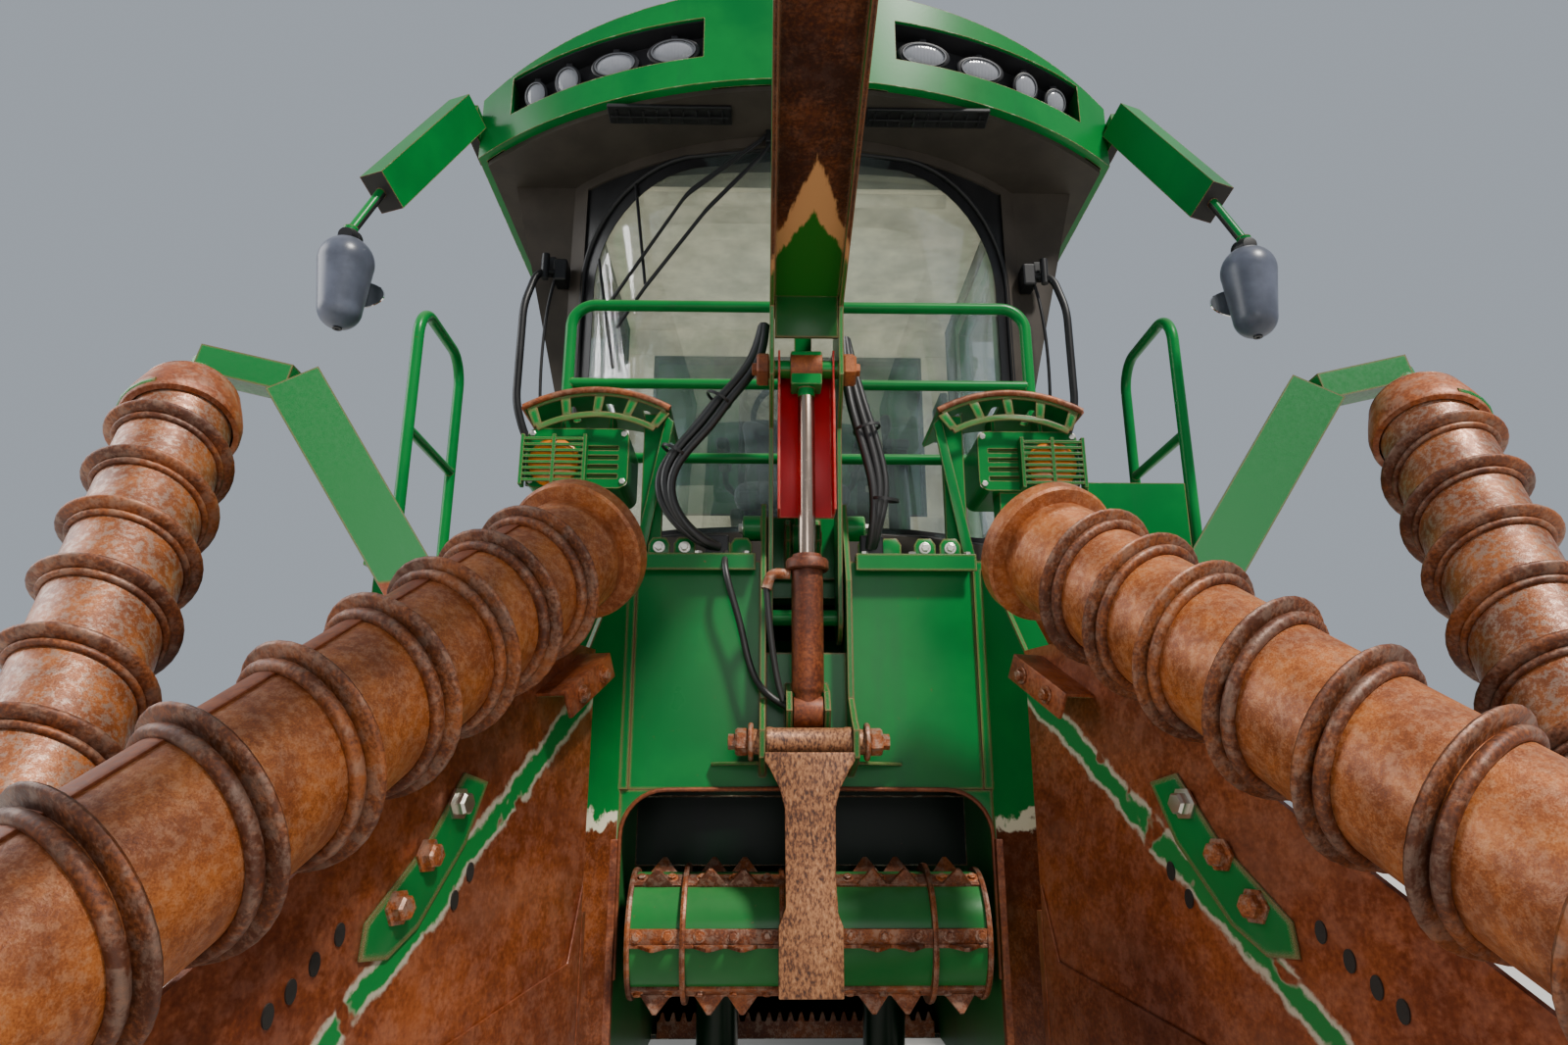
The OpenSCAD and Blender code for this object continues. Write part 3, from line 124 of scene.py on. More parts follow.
class Shop:
    """Mesh work with Blender's own operators, one piece at a time."""

    @staticmethod
    def clear() -> None:
        """Leaves edit mode and deselects everything."""
        if bpy.context.mode != "OBJECT":
            bpy.ops.object.mode_set(mode="OBJECT")
        bpy.ops.object.select_all(action="DESELECT")

    @staticmethod
    def pick(obj: Piece) -> None:
        """Makes one object the only selected and active one.

        Args:
            obj: The object.
        """
        Shop.clear()
        obj.select_set(True)
        bpy.context.view_layer.objects.active = obj

    @staticmethod
    def settle(obj: Piece, matrix: Matrix | None = None) -> Piece:
        """Puts an object's place into its mesh.

        Args:
            obj: The object.
            matrix: A further placing of its mesh.

        Returns:
            The same object, at the origin.
        """
        move = obj.matrix_basis.copy()
        obj.matrix_basis = Matrix.Identity(4)
        obj.data.transform((matrix or Matrix.Identity(4)) @ move)
        obj.data.update()
        return obj

    @staticmethod
    def select_where(obj: Piece, mode: str, test: Callable[[object], bool]) -> int:
        """Selects vertices, edges or faces by a test and enters edit mode.

        Args:
            obj: The object.
            mode: VERT, EDGE or FACE.
            test: Takes a vertex, an edge or a polygon of the mesh.

        Returns:
            How many were selected.
        """
        Shop.pick(obj)
        bpy.ops.object.mode_set(mode="EDIT")
        bpy.ops.mesh.select_mode(type=mode)
        bpy.ops.mesh.select_all(action="DESELECT")
        bpy.ops.object.mode_set(mode="OBJECT")
        parts = {"VERT": obj.data.vertices, "EDGE": obj.data.edges, "FACE": obj.data.polygons}[mode]
        count = 0
        for part in parts:
            part.select = bool(test(part))
            count += part.select
        bpy.ops.object.mode_set(mode="EDIT")
        return count

    @staticmethod
    def tidy(obj: Piece, merge: float = 1e-5, smooth: float | None = 35.0) -> Piece:
        """Merges doubles, turns faces outwards and shades by angle.

        Args:
            obj: The object.
            merge: Distance under which points are one.
            smooth: Angle in degrees under which an edge is shaded smooth.

        Returns:
            The same object.
        """
        Shop.pick(obj)
        bpy.ops.object.mode_set(mode="EDIT")
        bpy.ops.mesh.select_all(action="SELECT")
        bpy.ops.mesh.remove_doubles(threshold=merge)
        bpy.ops.mesh.normals_make_consistent(inside=False)
        bpy.ops.object.mode_set(mode="OBJECT")
        if smooth is not None:
            bpy.ops.object.shade_smooth_by_angle(angle=radians(smooth))
        return obj

    @staticmethod
    def apply(obj: Piece, kind: str, **settings: object) -> Piece:
        """Adds a modifier, sets it and applies it.

        Args:
            obj: The object.
            kind: The modifier's type.
            settings: Values of its properties.

        Returns:
            The same object.
        """
        Shop.pick(obj)
        bpy.ops.object.modifier_add(type=kind)
        modifier = obj.modifiers[-1]
        for key, value in settings.items():
            setattr(modifier, key, value)
        bpy.ops.object.modifier_apply(modifier=modifier.name)
        return obj

    @staticmethod
    def soften(obj: Piece, width: float, segments: int = 2, angle: float = 35.0) -> Piece:
        """Rounds the sharp edges of an object."""
        return Shop.apply(obj, "BEVEL", width=width, segments=segments, limit_method="ANGLE",
                          angle_limit=radians(angle), use_clamp_overlap=True)

    @staticmethod
    def block(name: str, low: Point, high: Point, edge: float = 0.004) -> Piece:
        """A block with rounded edges.

        Args:
            name: The piece's name.
            low: Its lowest corner, in machine coordinates.
            high: Its highest corner.
            edge: Radius of its edges.

        Returns:
            The new object.
        """
        Shop.clear()
        low_at, high_at = at(*low), at(*high)
        bpy.ops.mesh.primitive_cube_add(size=1.0, location=(low_at + high_at) / 2)
        obj = bpy.context.active_object
        obj.name = name
        obj.scale = high_at - low_at
        Shop.settle(obj)
        if edge:
            Shop.soften(obj, edge)
        return obj

    @staticmethod
    def rod(name: str, start: Vector, end: Vector, radius: float, sides: int = 24,
            edge: float = 0.0) -> Piece:
        """A round bar between two points of the row frame.

        Args:
            name: The piece's name.
            start: Centre of one end.
            end: Centre of the other end.
            radius: Radius of the bar.
            sides: Sides of its circle.
            edge: Radius of the edge at its ends.

        Returns:
            The new object.
        """
        Shop.clear()
        bpy.ops.mesh.primitive_cylinder_add(vertices=sides, radius=radius, depth=(end - start).length)
        obj = bpy.context.active_object
        obj.name = name
        up = UP if abs((end - start).normalized().z) < 0.9 else TO_REAR
        Shop.settle(obj, aim_matrix((start + end) / 2, end - start, up))
        if edge:
            Shop.soften(obj, edge)
        Shop.pick(obj)
        bpy.ops.object.shade_smooth_by_angle(angle=radians(35))
        return obj

    @staticmethod
    def pipe(name: str, points: Sequence[Vector], radius: float, bend: float = 0.0, sides: int = 4,
             smooth: bool = False) -> Piece:
        """A bent tube through points of the row frame.

        Args:
            name: The piece's name.
            points: Corners, or points of a curve.
            radius: Radius of the tube.
            bend: Radius of its bends.
            sides: Blender's bevel resolution.
            smooth: True for one smooth curve through the points.

        Returns:
            The new object, a mesh with closed ends.
        """
        Shop.clear()
        path = rounded(points, bend) if bend and len(points) > 2 else list(points)
        bpy.ops.curve.primitive_nurbs_path_add()
        obj = bpy.context.active_object
        obj.name = name
        curve = obj.data
        curve.splines.clear()
        spline = curve.splines.new("NURBS" if smooth else "POLY")
        spline.points.add(len(path) - 1)
        for slot, place in zip(spline.points, path):
            slot.co = (*place, 1.0)
        if smooth:
            spline.order_u = 4
            spline.use_endpoint_u = True
            spline.resolution_u = 6
        curve.dimensions = "3D"
        curve.bevel_depth = radius
        curve.bevel_resolution = sides
        curve.use_fill_caps = True
        bpy.ops.object.convert(target="MESH")
        return Shop.tidy(bpy.context.active_object, smooth=40)

    @staticmethod
    def plate(name: str, outline: Outline, thickness: float, matrix: Matrix, edge: float = 0.002) -> Piece:
        """A plate cut to an outline.

        Args:
            name: The piece's name.
            outline: Points in the plate's own plane, in metres.
            thickness: How thick it is along its z axis.
            matrix: Its frame, in the row frame.
            edge: Radius of its edges.

        Returns:
            The new object.
        """
        Shop.clear()
        bpy.ops.mesh.primitive_circle_add(vertices=len(outline), radius=1.0, fill_type="NGON")
        obj = bpy.context.active_object
        obj.name = name
        for vertex, (u, v) in zip(obj.data.vertices, outline):
            vertex.co = (u, v, 0.0)
        bpy.ops.object.mode_set(mode="EDIT")
        bpy.ops.mesh.select_all(action="SELECT")
        bpy.ops.mesh.extrude_region_move(TRANSFORM_OT_translate={"value": (0, 0, thickness)})
        bpy.ops.object.mode_set(mode="OBJECT")
        Shop.settle(obj, matrix)
        Shop.tidy(obj, smooth=None)
        if edge:
            Shop.soften(obj, edge)
        Shop.pick(obj)
        bpy.ops.object.shade_smooth_by_angle(angle=radians(35))
        return obj

    @staticmethod
    def lathe(name: str, profile: Outline, matrix: Matrix, steps: int = 48, smooth: float = 35.0) -> Piece:
        """A turned piece.

        Args:
            name: The piece's name.
            profile: Closed outline as (radius, height) points.
            matrix: Frame whose z axis is the axis of turning.
            steps: Steps of the full turn.
            smooth: Angle in degrees under which an edge is smooth.

        Returns:
            The new object.
        """
        Shop.clear()
        bpy.ops.mesh.primitive_circle_add(vertices=len(profile), radius=1.0, fill_type="NOTHING")
        obj = bpy.context.active_object
        obj.name = name
        for vertex, (radius, height) in zip(obj.data.vertices, profile):
            vertex.co = (radius, 0.0, height)
        bpy.ops.object.mode_set(mode="EDIT")
        bpy.ops.mesh.select_all(action="SELECT")
        bpy.ops.mesh.spin(steps=steps, angle=2 * pi, center=(0, 0, 0), axis=(0, 0, 1))
        bpy.ops.object.mode_set(mode="OBJECT")
        Shop.settle(obj, matrix)
        return Shop.tidy(obj, smooth=smooth)

    @staticmethod
    def sheet(name: str, rows: Sequence[Sequence[Vector]], thickness: float, smooth: float = 40.0) -> Piece:
        """A curved sheet through a grid of points.

        Args:
            name: The piece's name.
            rows: Rows of points of the row frame, all of one length.
            thickness: Thickness, half to each side.
            smooth: Angle in degrees under which an edge is smooth.

        Returns:
            The new object, closed all round.
        """
        Shop.clear()
        bpy.ops.mesh.primitive_grid_add(x_subdivisions=len(rows[0]) - 1, y_subdivisions=len(rows) - 1, size=1.0)
        obj = bpy.context.active_object
        obj.name = name
        for vertex, place in zip(obj.data.vertices, [point for row in rows for point in row]):
            vertex.co = place
        Shop.apply(obj, "SOLIDIFY", thickness=thickness, offset=0.0, use_even_offset=True)
        return Shop.tidy(obj, smooth=smooth)

    @staticmethod
    def ball(name: str, centre: Vector, radius: float, stretch: Point = (1, 1, 1)) -> Piece:
        """A round knob, drawn out along the axes.

        Args:
            name: The piece's name.
            centre: Its centre, in the row frame.
            radius: Its radius before it is drawn out.
            stretch: Scale along each axis.

        Returns:
            The new object.
        """
        Shop.clear()
        bpy.ops.mesh.primitive_uv_sphere_add(segments=24, ring_count=14, radius=radius)
        obj = bpy.context.active_object
        obj.name = name
        obj.scale = Vector(stretch)
        Shop.settle(obj, Matrix.Translation(centre))
        Shop.pick(obj)
        bpy.ops.object.shade_smooth()
        return obj

    @staticmethod
    def screw(name: str, profile: Outline, length: float, turns: float, steps: int = 36) -> Piece:
        """A helix swept by a closed outline round the z axis.

        Args:
            name: The piece's name.
            profile: Closed outline as (radius, height) points.
            length: How far it climbs.
            turns: Turns that it makes.
            steps: Steps in each turn.

        Returns:
            The new object with closed ends, about the origin.
        """
        Shop.clear()
        bpy.ops.mesh.primitive_circle_add(vertices=len(profile), radius=1.0, fill_type="NOTHING")
        obj = bpy.context.active_object
        obj.name = name
        for vertex, (radius, height) in zip(obj.data.vertices, profile):
            vertex.co = (radius, 0.0, height)
        count = max(8, round(steps * turns))
        Shop.apply(obj, "SCREW", angle=2 * pi * turns, screw_offset=length, iterations=1, steps=count,
                   render_steps=count, axis="Z")
        Shop.pick(obj)
        bpy.ops.object.mode_set(mode="EDIT")
        bpy.ops.mesh.select_all(action="DESELECT")
        bpy.ops.mesh.select_mode(type="EDGE")
        bpy.ops.mesh.select_non_manifold(extend=False)
        bpy.ops.mesh.edge_face_add()
        bpy.ops.object.mode_set(mode="OBJECT")
        return Shop.tidy(obj, smooth=50)

    @staticmethod
    def join(name: str, parts: Sequence[Piece]) -> Piece:
        """Joins objects into one piece and names it.

        Args:
            name: The piece's name.
            parts: Objects, of which the first stays.

        Returns:
            The joined object.
        """
        Shop.clear()
        for part in parts:
            part.select_set(True)
        bpy.context.view_layer.objects.active = parts[0]
        if len(parts) > 1:
            bpy.ops.object.join()
        parts[0].name = name
        parts[0].data.name = name
        return parts[0]

    @staticmethod
    def copy(obj: Piece, name: str, matrix: Matrix) -> Piece:
        """A copy of an object with its own mesh, moved by a matrix.

        Args:
            obj: The object.
            name: The copy's name.
            matrix: Where the mesh goes; a mirroring one turns its faces back outwards.

        Returns:
            The copy.
        """
        twin = obj.copy()
        twin.data = obj.data.copy()
        twin.name = name
        bpy.context.scene.collection.objects.link(twin)
        twin.data.transform(matrix)
        if matrix.determinant() < 0:
            twin.data.flip_normals()
        return twin

    @staticmethod
    def mirrored(obj: Piece, name: str) -> Piece:
        """The same piece on the other side of the machine."""
        return Shop.copy(obj, name, Matrix.Scale(-1, 4, (1, 0, 0)))


@dataclass
class Bolts:
    """Hexagon bolts set out on a surface, modelled once and copied."""

    name: str
    size: float = 0.012
    washer: bool = True

    def build(self, places: Iterable[tuple[Vector, Vector]]) -> Piece:
        """Sets a bolt head at each place.

        Args:
            places: Pairs of a point on the surface and the way that it faces.

        Returns:
            One piece with all the heads.
        """
        s = self.size
        Shop.clear()
        bpy.ops.mesh.primitive_cylinder_add(vertices=6, radius=s, depth=s * 0.75, location=(0, 0, s * 0.5))
        head = Shop.settle(bpy.context.active_object)
        Shop.select_where(head, "FACE", lambda p: p.normal.z > 0.9)
        bpy.ops.mesh.inset(thickness=s * 0.16)
        bpy.ops.transform.translate(value=(0, 0, s * 0.08))
        bpy.ops.object.mode_set(mode="OBJECT")
        parts = [head]
        if self.washer:
            bpy.ops.object.select_all(action="DESELECT")
            bpy.ops.mesh.primitive_cylinder_add(vertices=16, radius=s * 1.5, depth=s * 0.24, location=(0, 0, s * 0.06))
            ring = Shop.settle(bpy.context.active_object)
            Shop.select_where(ring, "FACE", lambda p: p.normal.z > 0.9)
            bpy.ops.mesh.inset(thickness=s * 0.12)
            bpy.ops.transform.translate(value=(0, 0, s * 0.05))
            bpy.ops.object.mode_set(mode="OBJECT")
            parts.append(ring)
        master = Shop.join(self.name, parts)
        heads = []
        for i, (place, facing) in enumerate(places):
            up = UP if abs(facing.normalized().z) < 0.9 else TO_LEFT
            turn = Matrix.Rotation(0.7 * i, 4, "Z")
            heads.append(Shop.copy(master, f"{self.name}_{i}", aim_matrix(place, facing, up) @ turn))
        bpy.data.objects.remove(master, do_unlink=True)
        return Shop.join(self.name, heads)


class Nodes:
    """A node tree and short ways to fill it."""

    def __init__(self, tree: bpy.types.NodeTree) -> None:
        """Starts with an empty tree."""
        self.tree = tree
        tree.nodes.clear()

    def add(self, kind: str, **inputs: object) -> bpy.types.Node:
        """Adds a node and sets its inputs.

        Args:
            kind: The node's type.
            inputs: Values, or sockets to link, by socket name with spaces as underscores; names in lower case
                are properties of the node.

        Returns:
            The node.
        """
        node = self.tree.nodes.new(kind)
        for key, value in inputs.items():
            if key[0].islower():
                setattr(node, key, value)
        return self.put(node, **{key: value for key, value in inputs.items() if not key[0].islower()})

    def put(self, node: bpy.types.Node, **inputs: object) -> bpy.types.Node:
        """Sets or links inputs of a node, by socket name with spaces as underscores.

        Args:
            node: The node.
            inputs: Values, or sockets to link.

        Returns:
            The same node.
        """
        for key, value in inputs.items():
            self.feed(node.inputs[key.replace("_", " ")], value)
        return node

    def feed(self, socket: Socket, value: object) -> None:
        """Links a socket to an input, or sets its value.

        Args:
            socket: The input.
            value: A socket or a value; None leaves the input as it is.
        """
        if isinstance(value, Socket):
            self.tree.links.new(value, socket)
        elif value is not None:
            socket.default_value = value

    def math(self, operation: str, a: object, b: object = None, clamp: bool = False) -> Socket:
        """A math node of one or two inputs.

        Args:
            operation: Blender's name of the operation.
            a: First value.
            b: Second value.
            clamp: True to hold the result between 0 and 1.

        Returns:
            The result.
        """
        node = self.add("ShaderNodeMath", operation=operation, use_clamp=clamp)
        self.feed(node.inputs[0], a)
        self.feed(node.inputs[1], b)
        return node.outputs[0]

    def plus(self, a: object, b: object, clamp: bool = False) -> Socket:
        """The sum of two values."""
        return self.math("ADD", a, b, clamp)

    def minus(self, a: object, b: object, clamp: bool = False) -> Socket:
        """The difference of two values."""
        return self.math("SUBTRACT", a, b, clamp)

    def times(self, a: object, b: object, clamp: bool = False) -> Socket:
        """The product of two values."""
        return self.math("MULTIPLY", a, b, clamp)

    def xyz(self, vector: object) -> bpy.types.bpy_prop_collection:
        """The three parts of a vector, by their names X, Y and Z."""
        return self.add("ShaderNodeSeparateXYZ", Vector=vector).outputs

    def normal(self) -> Socket:
        """The way that the face looks."""
        return self.add("ShaderNodeNewGeometry").outputs["Normal"]

    def bump(self, strength: float, distance: float, height: object) -> Socket:
        """A normal that a height map has bent."""
        return self.add("ShaderNodeBump", Strength=strength, Distance=distance, Height=height).outputs[0]

    def place(self) -> Socket:
        """The point being shaded, in object coordinates."""
        return self.add("ShaderNodeTexCoord").outputs["Object"]

    def noise(self, where: object, scale: float, detail: float = 4.0, rough: float = 0.55,
              stretch: Point = (1, 1, 1)) -> Socket:
        """Noise at a scale, stretched along the axes.

        Args:
            where: The point.
            scale: Size of its grain, more for finer.
            detail: Octaves.
            rough: Weight of the fine octaves.
            stretch: Scale along each axis.

        Returns:
            Noise about 0.5.
        """
        if tuple(stretch) != (1, 1, 1):
            where = self.add("ShaderNodeMapping", Vector=where, Scale=tuple(stretch)).outputs[0]
        return self.add("ShaderNodeTexNoise", Vector=where, Scale=scale, Detail=detail, Roughness=rough).outputs["Fac"]

    def step(self, value: object, low: float, high: float) -> Socket:
        """A smooth step from 0 at low to 1 at high.

        Args:
            value: The value.
            low: Where the step starts.
            high: Where it ends.

        Returns:
            The step's height.
        """
        node = self.add("ShaderNodeMapRange", interpolation_type="SMOOTHSTEP", Value=value, From_Min=low,
                        From_Max=high)
        return node.outputs["Result"]

    def blend(self, fac: object, a: object, b: object, mode: str = "MIX") -> Socket:
        """Two colours mixed by a factor.

        Args:
            fac: Share of the second colour.
            a: First colour.
            b: Second colour.
            mode: Blender's name of the way to mix.

        Returns:
            The mixed colour.
        """
        node = self.add("ShaderNodeMix", data_type="RGBA", blend_type=mode)
        self.feed(node.inputs["Factor"], fac)
        self.feed(node.inputs[6], a if isinstance(a, Socket) else (*a, 1.0))
        self.feed(node.inputs[7], b if isinstance(b, Socket) else (*b, 1.0))
        return node.outputs[2]

    def span(self, fac: object, low: float, high: float) -> Socket:
        """A number between low and high by a factor."""
        return self.add("ShaderNodeMapRange", Value=fac, To_Min=low, To_Max=high).outputs["Result"]

    def ramp(self, fac: object, stops: Sequence[tuple[float, Point]]) -> Socket:
        """A colour ramp.

        Args:
            fac: Place on the ramp.
            stops: Position and colour of each stop.

        Returns:
            The colour there.
        """
        node = self.add("ShaderNodeValToRGB")
        self.feed(node.inputs[0], fac)
        elements = node.color_ramp.elements
        while len(elements) < len(stops):
            elements.new(0.5)
        for element, (position, colour) in zip(elements, stops):
            element.position = position
            element.color = (*colour, 1.0)
        return node.outputs[0]

    def use(self, group: bpy.types.NodeTree, **inputs: object) -> bpy.types.Node:
        """Places a shared effect in this tree with its own values."""
        return self.put(self.add("ShaderNodeGroup", node_tree=group), **inputs)


class Effects:
    """Shared effects, each a node group built once."""

    built: dict[str, bpy.types.NodeTree] = {}

    @classmethod
    def group(cls, name: str, inputs: dict[str, tuple[str, object]],
              outputs: dict[str, str]) -> tuple[bpy.types.NodeTree, Nodes, dict[str, Socket], bpy.types.Node]:
        """Starts a node group.

        Args:
            name: Its name.
            inputs: Socket type and first value by input name.
            outputs: Socket type by output name.

        Returns:
            The group, its nodes, its input sockets by name and its output node.
        """
        tree = bpy.data.node_groups.new(name, "ShaderNodeTree")
        nodes = Nodes(tree)
        for key, (kind, value) in inputs.items():
            socket = tree.interface.new_socket(name=key, in_out="INPUT", socket_type=kind)
            if value is not None:
                socket.default_value = value
        for key, kind in outputs.items():
            tree.interface.new_socket(name=key, in_out="OUTPUT", socket_type=kind)
        source = nodes.add("NodeGroupInput")
        sink = nodes.add("NodeGroupOutput")
        cls.built[name] = tree
        return tree, nodes, {key: source.outputs[key] for key in inputs}, sink

    @classmethod
    def edge_wear(cls) -> bpy.types.NodeTree:
        """Worn and chipped edges: two masks, the wider one for primer and the narrower one for bare metal.

        Returns:
            The group.
        """
        if "Edge wear" in cls.built:
            return cls.built["Edge wear"]
        tree, n, i, out = cls.group(
            "Edge wear", {"Vector": ("NodeSocketVector", None), "Width": ("NodeSocketFloat", 0.006),
                          "Amount": ("NodeSocketFloat", 0.5), "Scale": ("NodeSocketFloat", 30.0)},
            {"Primer": "NodeSocketFloat", "Metal": "NodeSocketFloat"})
        round_normal = n.add("ShaderNodeBevel", samples=4, Radius=i["Width"]).outputs[0]
        flat = n.normal()
        dot = n.add("ShaderNodeVectorMath", operation="DOT_PRODUCT")
        n.feed(dot.inputs[0], round_normal)
        n.feed(dot.inputs[1], flat)
        edge = n.step(n.minus(1.0, dot.outputs["Value"]), 0.01, 0.16)
        grain = n.add("ShaderNodeTexNoise", Vector=i["Vector"], Scale=i["Scale"], Detail=5.0,
                      Roughness=0.65).outputs["Fac"]
        worn = n.times(edge, n.plus(grain, i["Amount"]))
        n.feed(out.inputs["Primer"], n.step(worn, 0.52, 0.62))
        n.feed(out.inputs["Metal"], n.step(worn, 0.66, 0.8))
        return tree

    @classmethod
    def dust(cls) -> bpy.types.NodeTree:
        """Dust that lies on faces that look up, and more of it low on the machine.

        Returns:
            The group.
        """
        if "Dust" in cls.built:
            return cls.built["Dust"]
        tree, n, i, out = cls.group(
            "Dust", {"Vector": ("NodeSocketVector", None), "Amount": ("NodeSocketFloat", 0.5)},
            {"Mask": "NodeSocketFloat"})
        up = n.xyz(n.normal())["Z"]
        height = n.xyz(i["Vector"])["Z"]
        low = n.minus(1.0, n.step(height, 0.3, 1.8))
        cloud = n.noise(i["Vector"], 3.0, 6.0, 0.6)
        fine = n.noise(i["Vector"], 60.0, 3.0, 0.6)
        lie = n.plus(n.times(n.step(up, 0.2, 0.95), 0.55), n.times(low, 0.45))
        mask = n.times(n.times(lie, n.plus(cloud, n.times(fine, 0.5))), i["Amount"], True)
        n.feed(out.inputs["Mask"], mask)
        return tree

    @classmethod
    def rust(cls) -> bpy.types.NodeTree:
        """Rust colour, its brightness, pits and how bare the steel is.

        Returns:
            The group.
        """
        if "Rust" in cls.built:
            return cls.built["Rust"]
        tree, n, i, out = cls.group(
            "Rust", {"Vector": ("NodeSocketVector", None), "Scale": ("NodeSocketFloat", 1.0),
                     "Bare": ("NodeSocketFloat", 0.3), "Dark": ("NodeSocketFloat", 0.4)},
            {"Color": "NodeSocketColor", "Steel": "NodeSocketFloat", "Rough": "NodeSocketFloat",
             "Height": "NodeSocketFloat"})
        where = n.add("ShaderNodeVectorMath", operation="SCALE")
        n.feed(where.inputs[0], i["Vector"])
        n.feed(where.inputs["Scale"], i["Scale"])
        spot = where.outputs[0]
        cloud = n.noise(spot, 4.0, 6.0, 0.6)
        mottle = n.noise(spot, 26.0, 6.0, 0.65)
        grit = n.noise(spot, 120.0, 3.0, 0.6)
        blend = n.plus(n.times(cloud, 0.4), n.times(mottle, 0.35))
        colour = n.ramp(n.plus(blend, n.times(grit, 0.25)), [
            (0.34, (0.17, 0.043, 0.013)), (0.45, (0.33, 0.092, 0.021)), (0.54, (0.47, 0.15, 0.034)),
            (0.66, (0.62, 0.24, 0.062))])
        shade = n.step(n.plus(n.times(cloud, 0.6), n.times(grit, 0.4)), 0.42, 0.62)
        dark = n.times(n.minus(1.0, shade), i["Dark"])
        colour = n.blend(dark, colour, (0.055, 0.022, 0.012))
        steel = n.times(n.step(n.plus(mottle, n.times(grit, 0.25)), 0.58, 0.74), i["Bare"], True)
        colour = n.blend(steel, colour, (0.5, 0.44, 0.38))
        n.feed(out.inputs["Color"], colour)
        n.feed(out.inputs["Steel"], steel)
        n.feed(out.inputs["Rough"], n.minus(n.span(grit, 0.38, 0.72), n.times(steel, 0.15)))
        n.feed(out.inputs["Height"], n.plus(n.times(mottle, 0.6), n.times(grit, 0.4)))
        return tree


# Colours that several finishes share
GREEN = (0.0015, 0.15, 0.026)
CHIP_STEEL = (0.19, 0.075, 0.035)
RUST_SPOT = (0.16, 0.05, 0.02)
DUST_ON_PAINT = (0.3, 0.27, 0.19)
DUST_ON_TRIM = (0.26, 0.23, 0.18)
DUST_ON_RUBBER = (0.22, 0.19, 0.14)


@dataclass(frozen=True)
class Finish:
    """A finish that makes its material once."""

    name: str

    def material(self) -> bpy.types.Material:
        """The finished material, made on first use.

        Returns:
            The material.
        """
        known = bpy.data.materials.get(self.name)
        if known:
            return known
        made = bpy.data.materials.new(self.name)
        made.use_nodes = True
        nodes = Nodes(made.node_tree)
        shader = nodes.add("ShaderNodeBsdfPrincipled")
        nodes.add("ShaderNodeOutputMaterial", Surface=shader.outputs[0])
        self.fill(nodes, shader)
        return made

    def fill(self, n: Nodes, shader: bpy.types.Node) -> None:
        """Fills the material's nodes; each finish has its own."""
        raise NotImplementedError

    def on(self, *objects: Piece) -> None:
        """Gives the finish to objects.

        Args:
            objects: The objects.
        """
        for obj in objects:
            obj.data.materials.clear()
            obj.data.materials.append(self.material())


@dataclass(frozen=True)
class Paint(Finish):
    """Gloss paint over primer, chipped at its edges, with dust and a few rust spots."""

    colour: Triple = GREEN
    chips: float = 0.42
    width: float = 0.006
    spots: float = 0.35
    dusty: float = 0.35
    primer: Triple = (0.62, 0.58, 0.42)

    def extra(self, n: Nodes, where: Socket, colour: Socket,
              rough: Socket) -> tuple[Socket, Socket]:
        """Further marks on this paint; the plain paint has none."""
        return colour, rough

    def fill(self, n: Nodes, shader: bpy.types.Node) -> None:
        """Paint with fading, chips to primer and metal, rust spots, dust and a slight orange peel.

        Args:
            n: The material's nodes.
            shader: Its shader node.
        """
        where = n.place()
        fade = n.noise(where, 1.6, 5.0, 0.6)
        streak = n.noise(where, 9.0, 5.0, 0.6, (1.0, 1.0, 0.12))
        peel = n.noise(where, 90.0, 2.0, 0.5)
        r, g, b = self.colour
        colour = n.blend(n.step(fade, 0.35, 0.65), (r * 0.75, g * 0.8, b * 0.85), (r * 1.5, g * 1.12, b * 1.15))
        colour = n.blend(n.times(n.step(streak, 0.52, 0.75), 0.35), colour, (r * 2.0 + 0.01, g * 0.62, b * 0.9 + 0.01))
        rough = n.span(fade, 0.22, 0.38)
        colour, rough = self.extra(n, where, colour, rough)
        spot = n.step(n.noise(where, 34.0, 6.0, 0.7), 0.7 - 0.05 * self.spots, 0.76)
        colour = n.blend(n.times(spot, min(1.0, self.spots * 2)), colour, RUST_SPOT)
        worn = n.use(Effects.edge_wear(), Vector=where, Width=self.width, Amount=self.chips, Scale=22.0)
        colour = n.blend(worn.outputs["Primer"], colour, self.primer)
        colour = n.blend(worn.outputs["Metal"], colour, CHIP_STEEL)
        dust = n.use(Effects.dust(), Vector=where, Amount=self.dusty).outputs["Mask"]
        colour = n.blend(dust, colour, DUST_ON_PAINT)
        rough = n.plus(rough, n.times(n.plus(dust, worn.outputs["Primer"]), 0.35), True)
        n.put(shader, Base_Color=colour, Roughness=rough, Specular_IOR_Level=0.17, Coat_Weight=0.035,
              Coat_Roughness=0.18)
        height = n.minus(n.times(peel, 0.25), worn.outputs["Primer"])
        n.feed(shader.inputs["Normal"], n.bump(0.22, 0.0012, height))


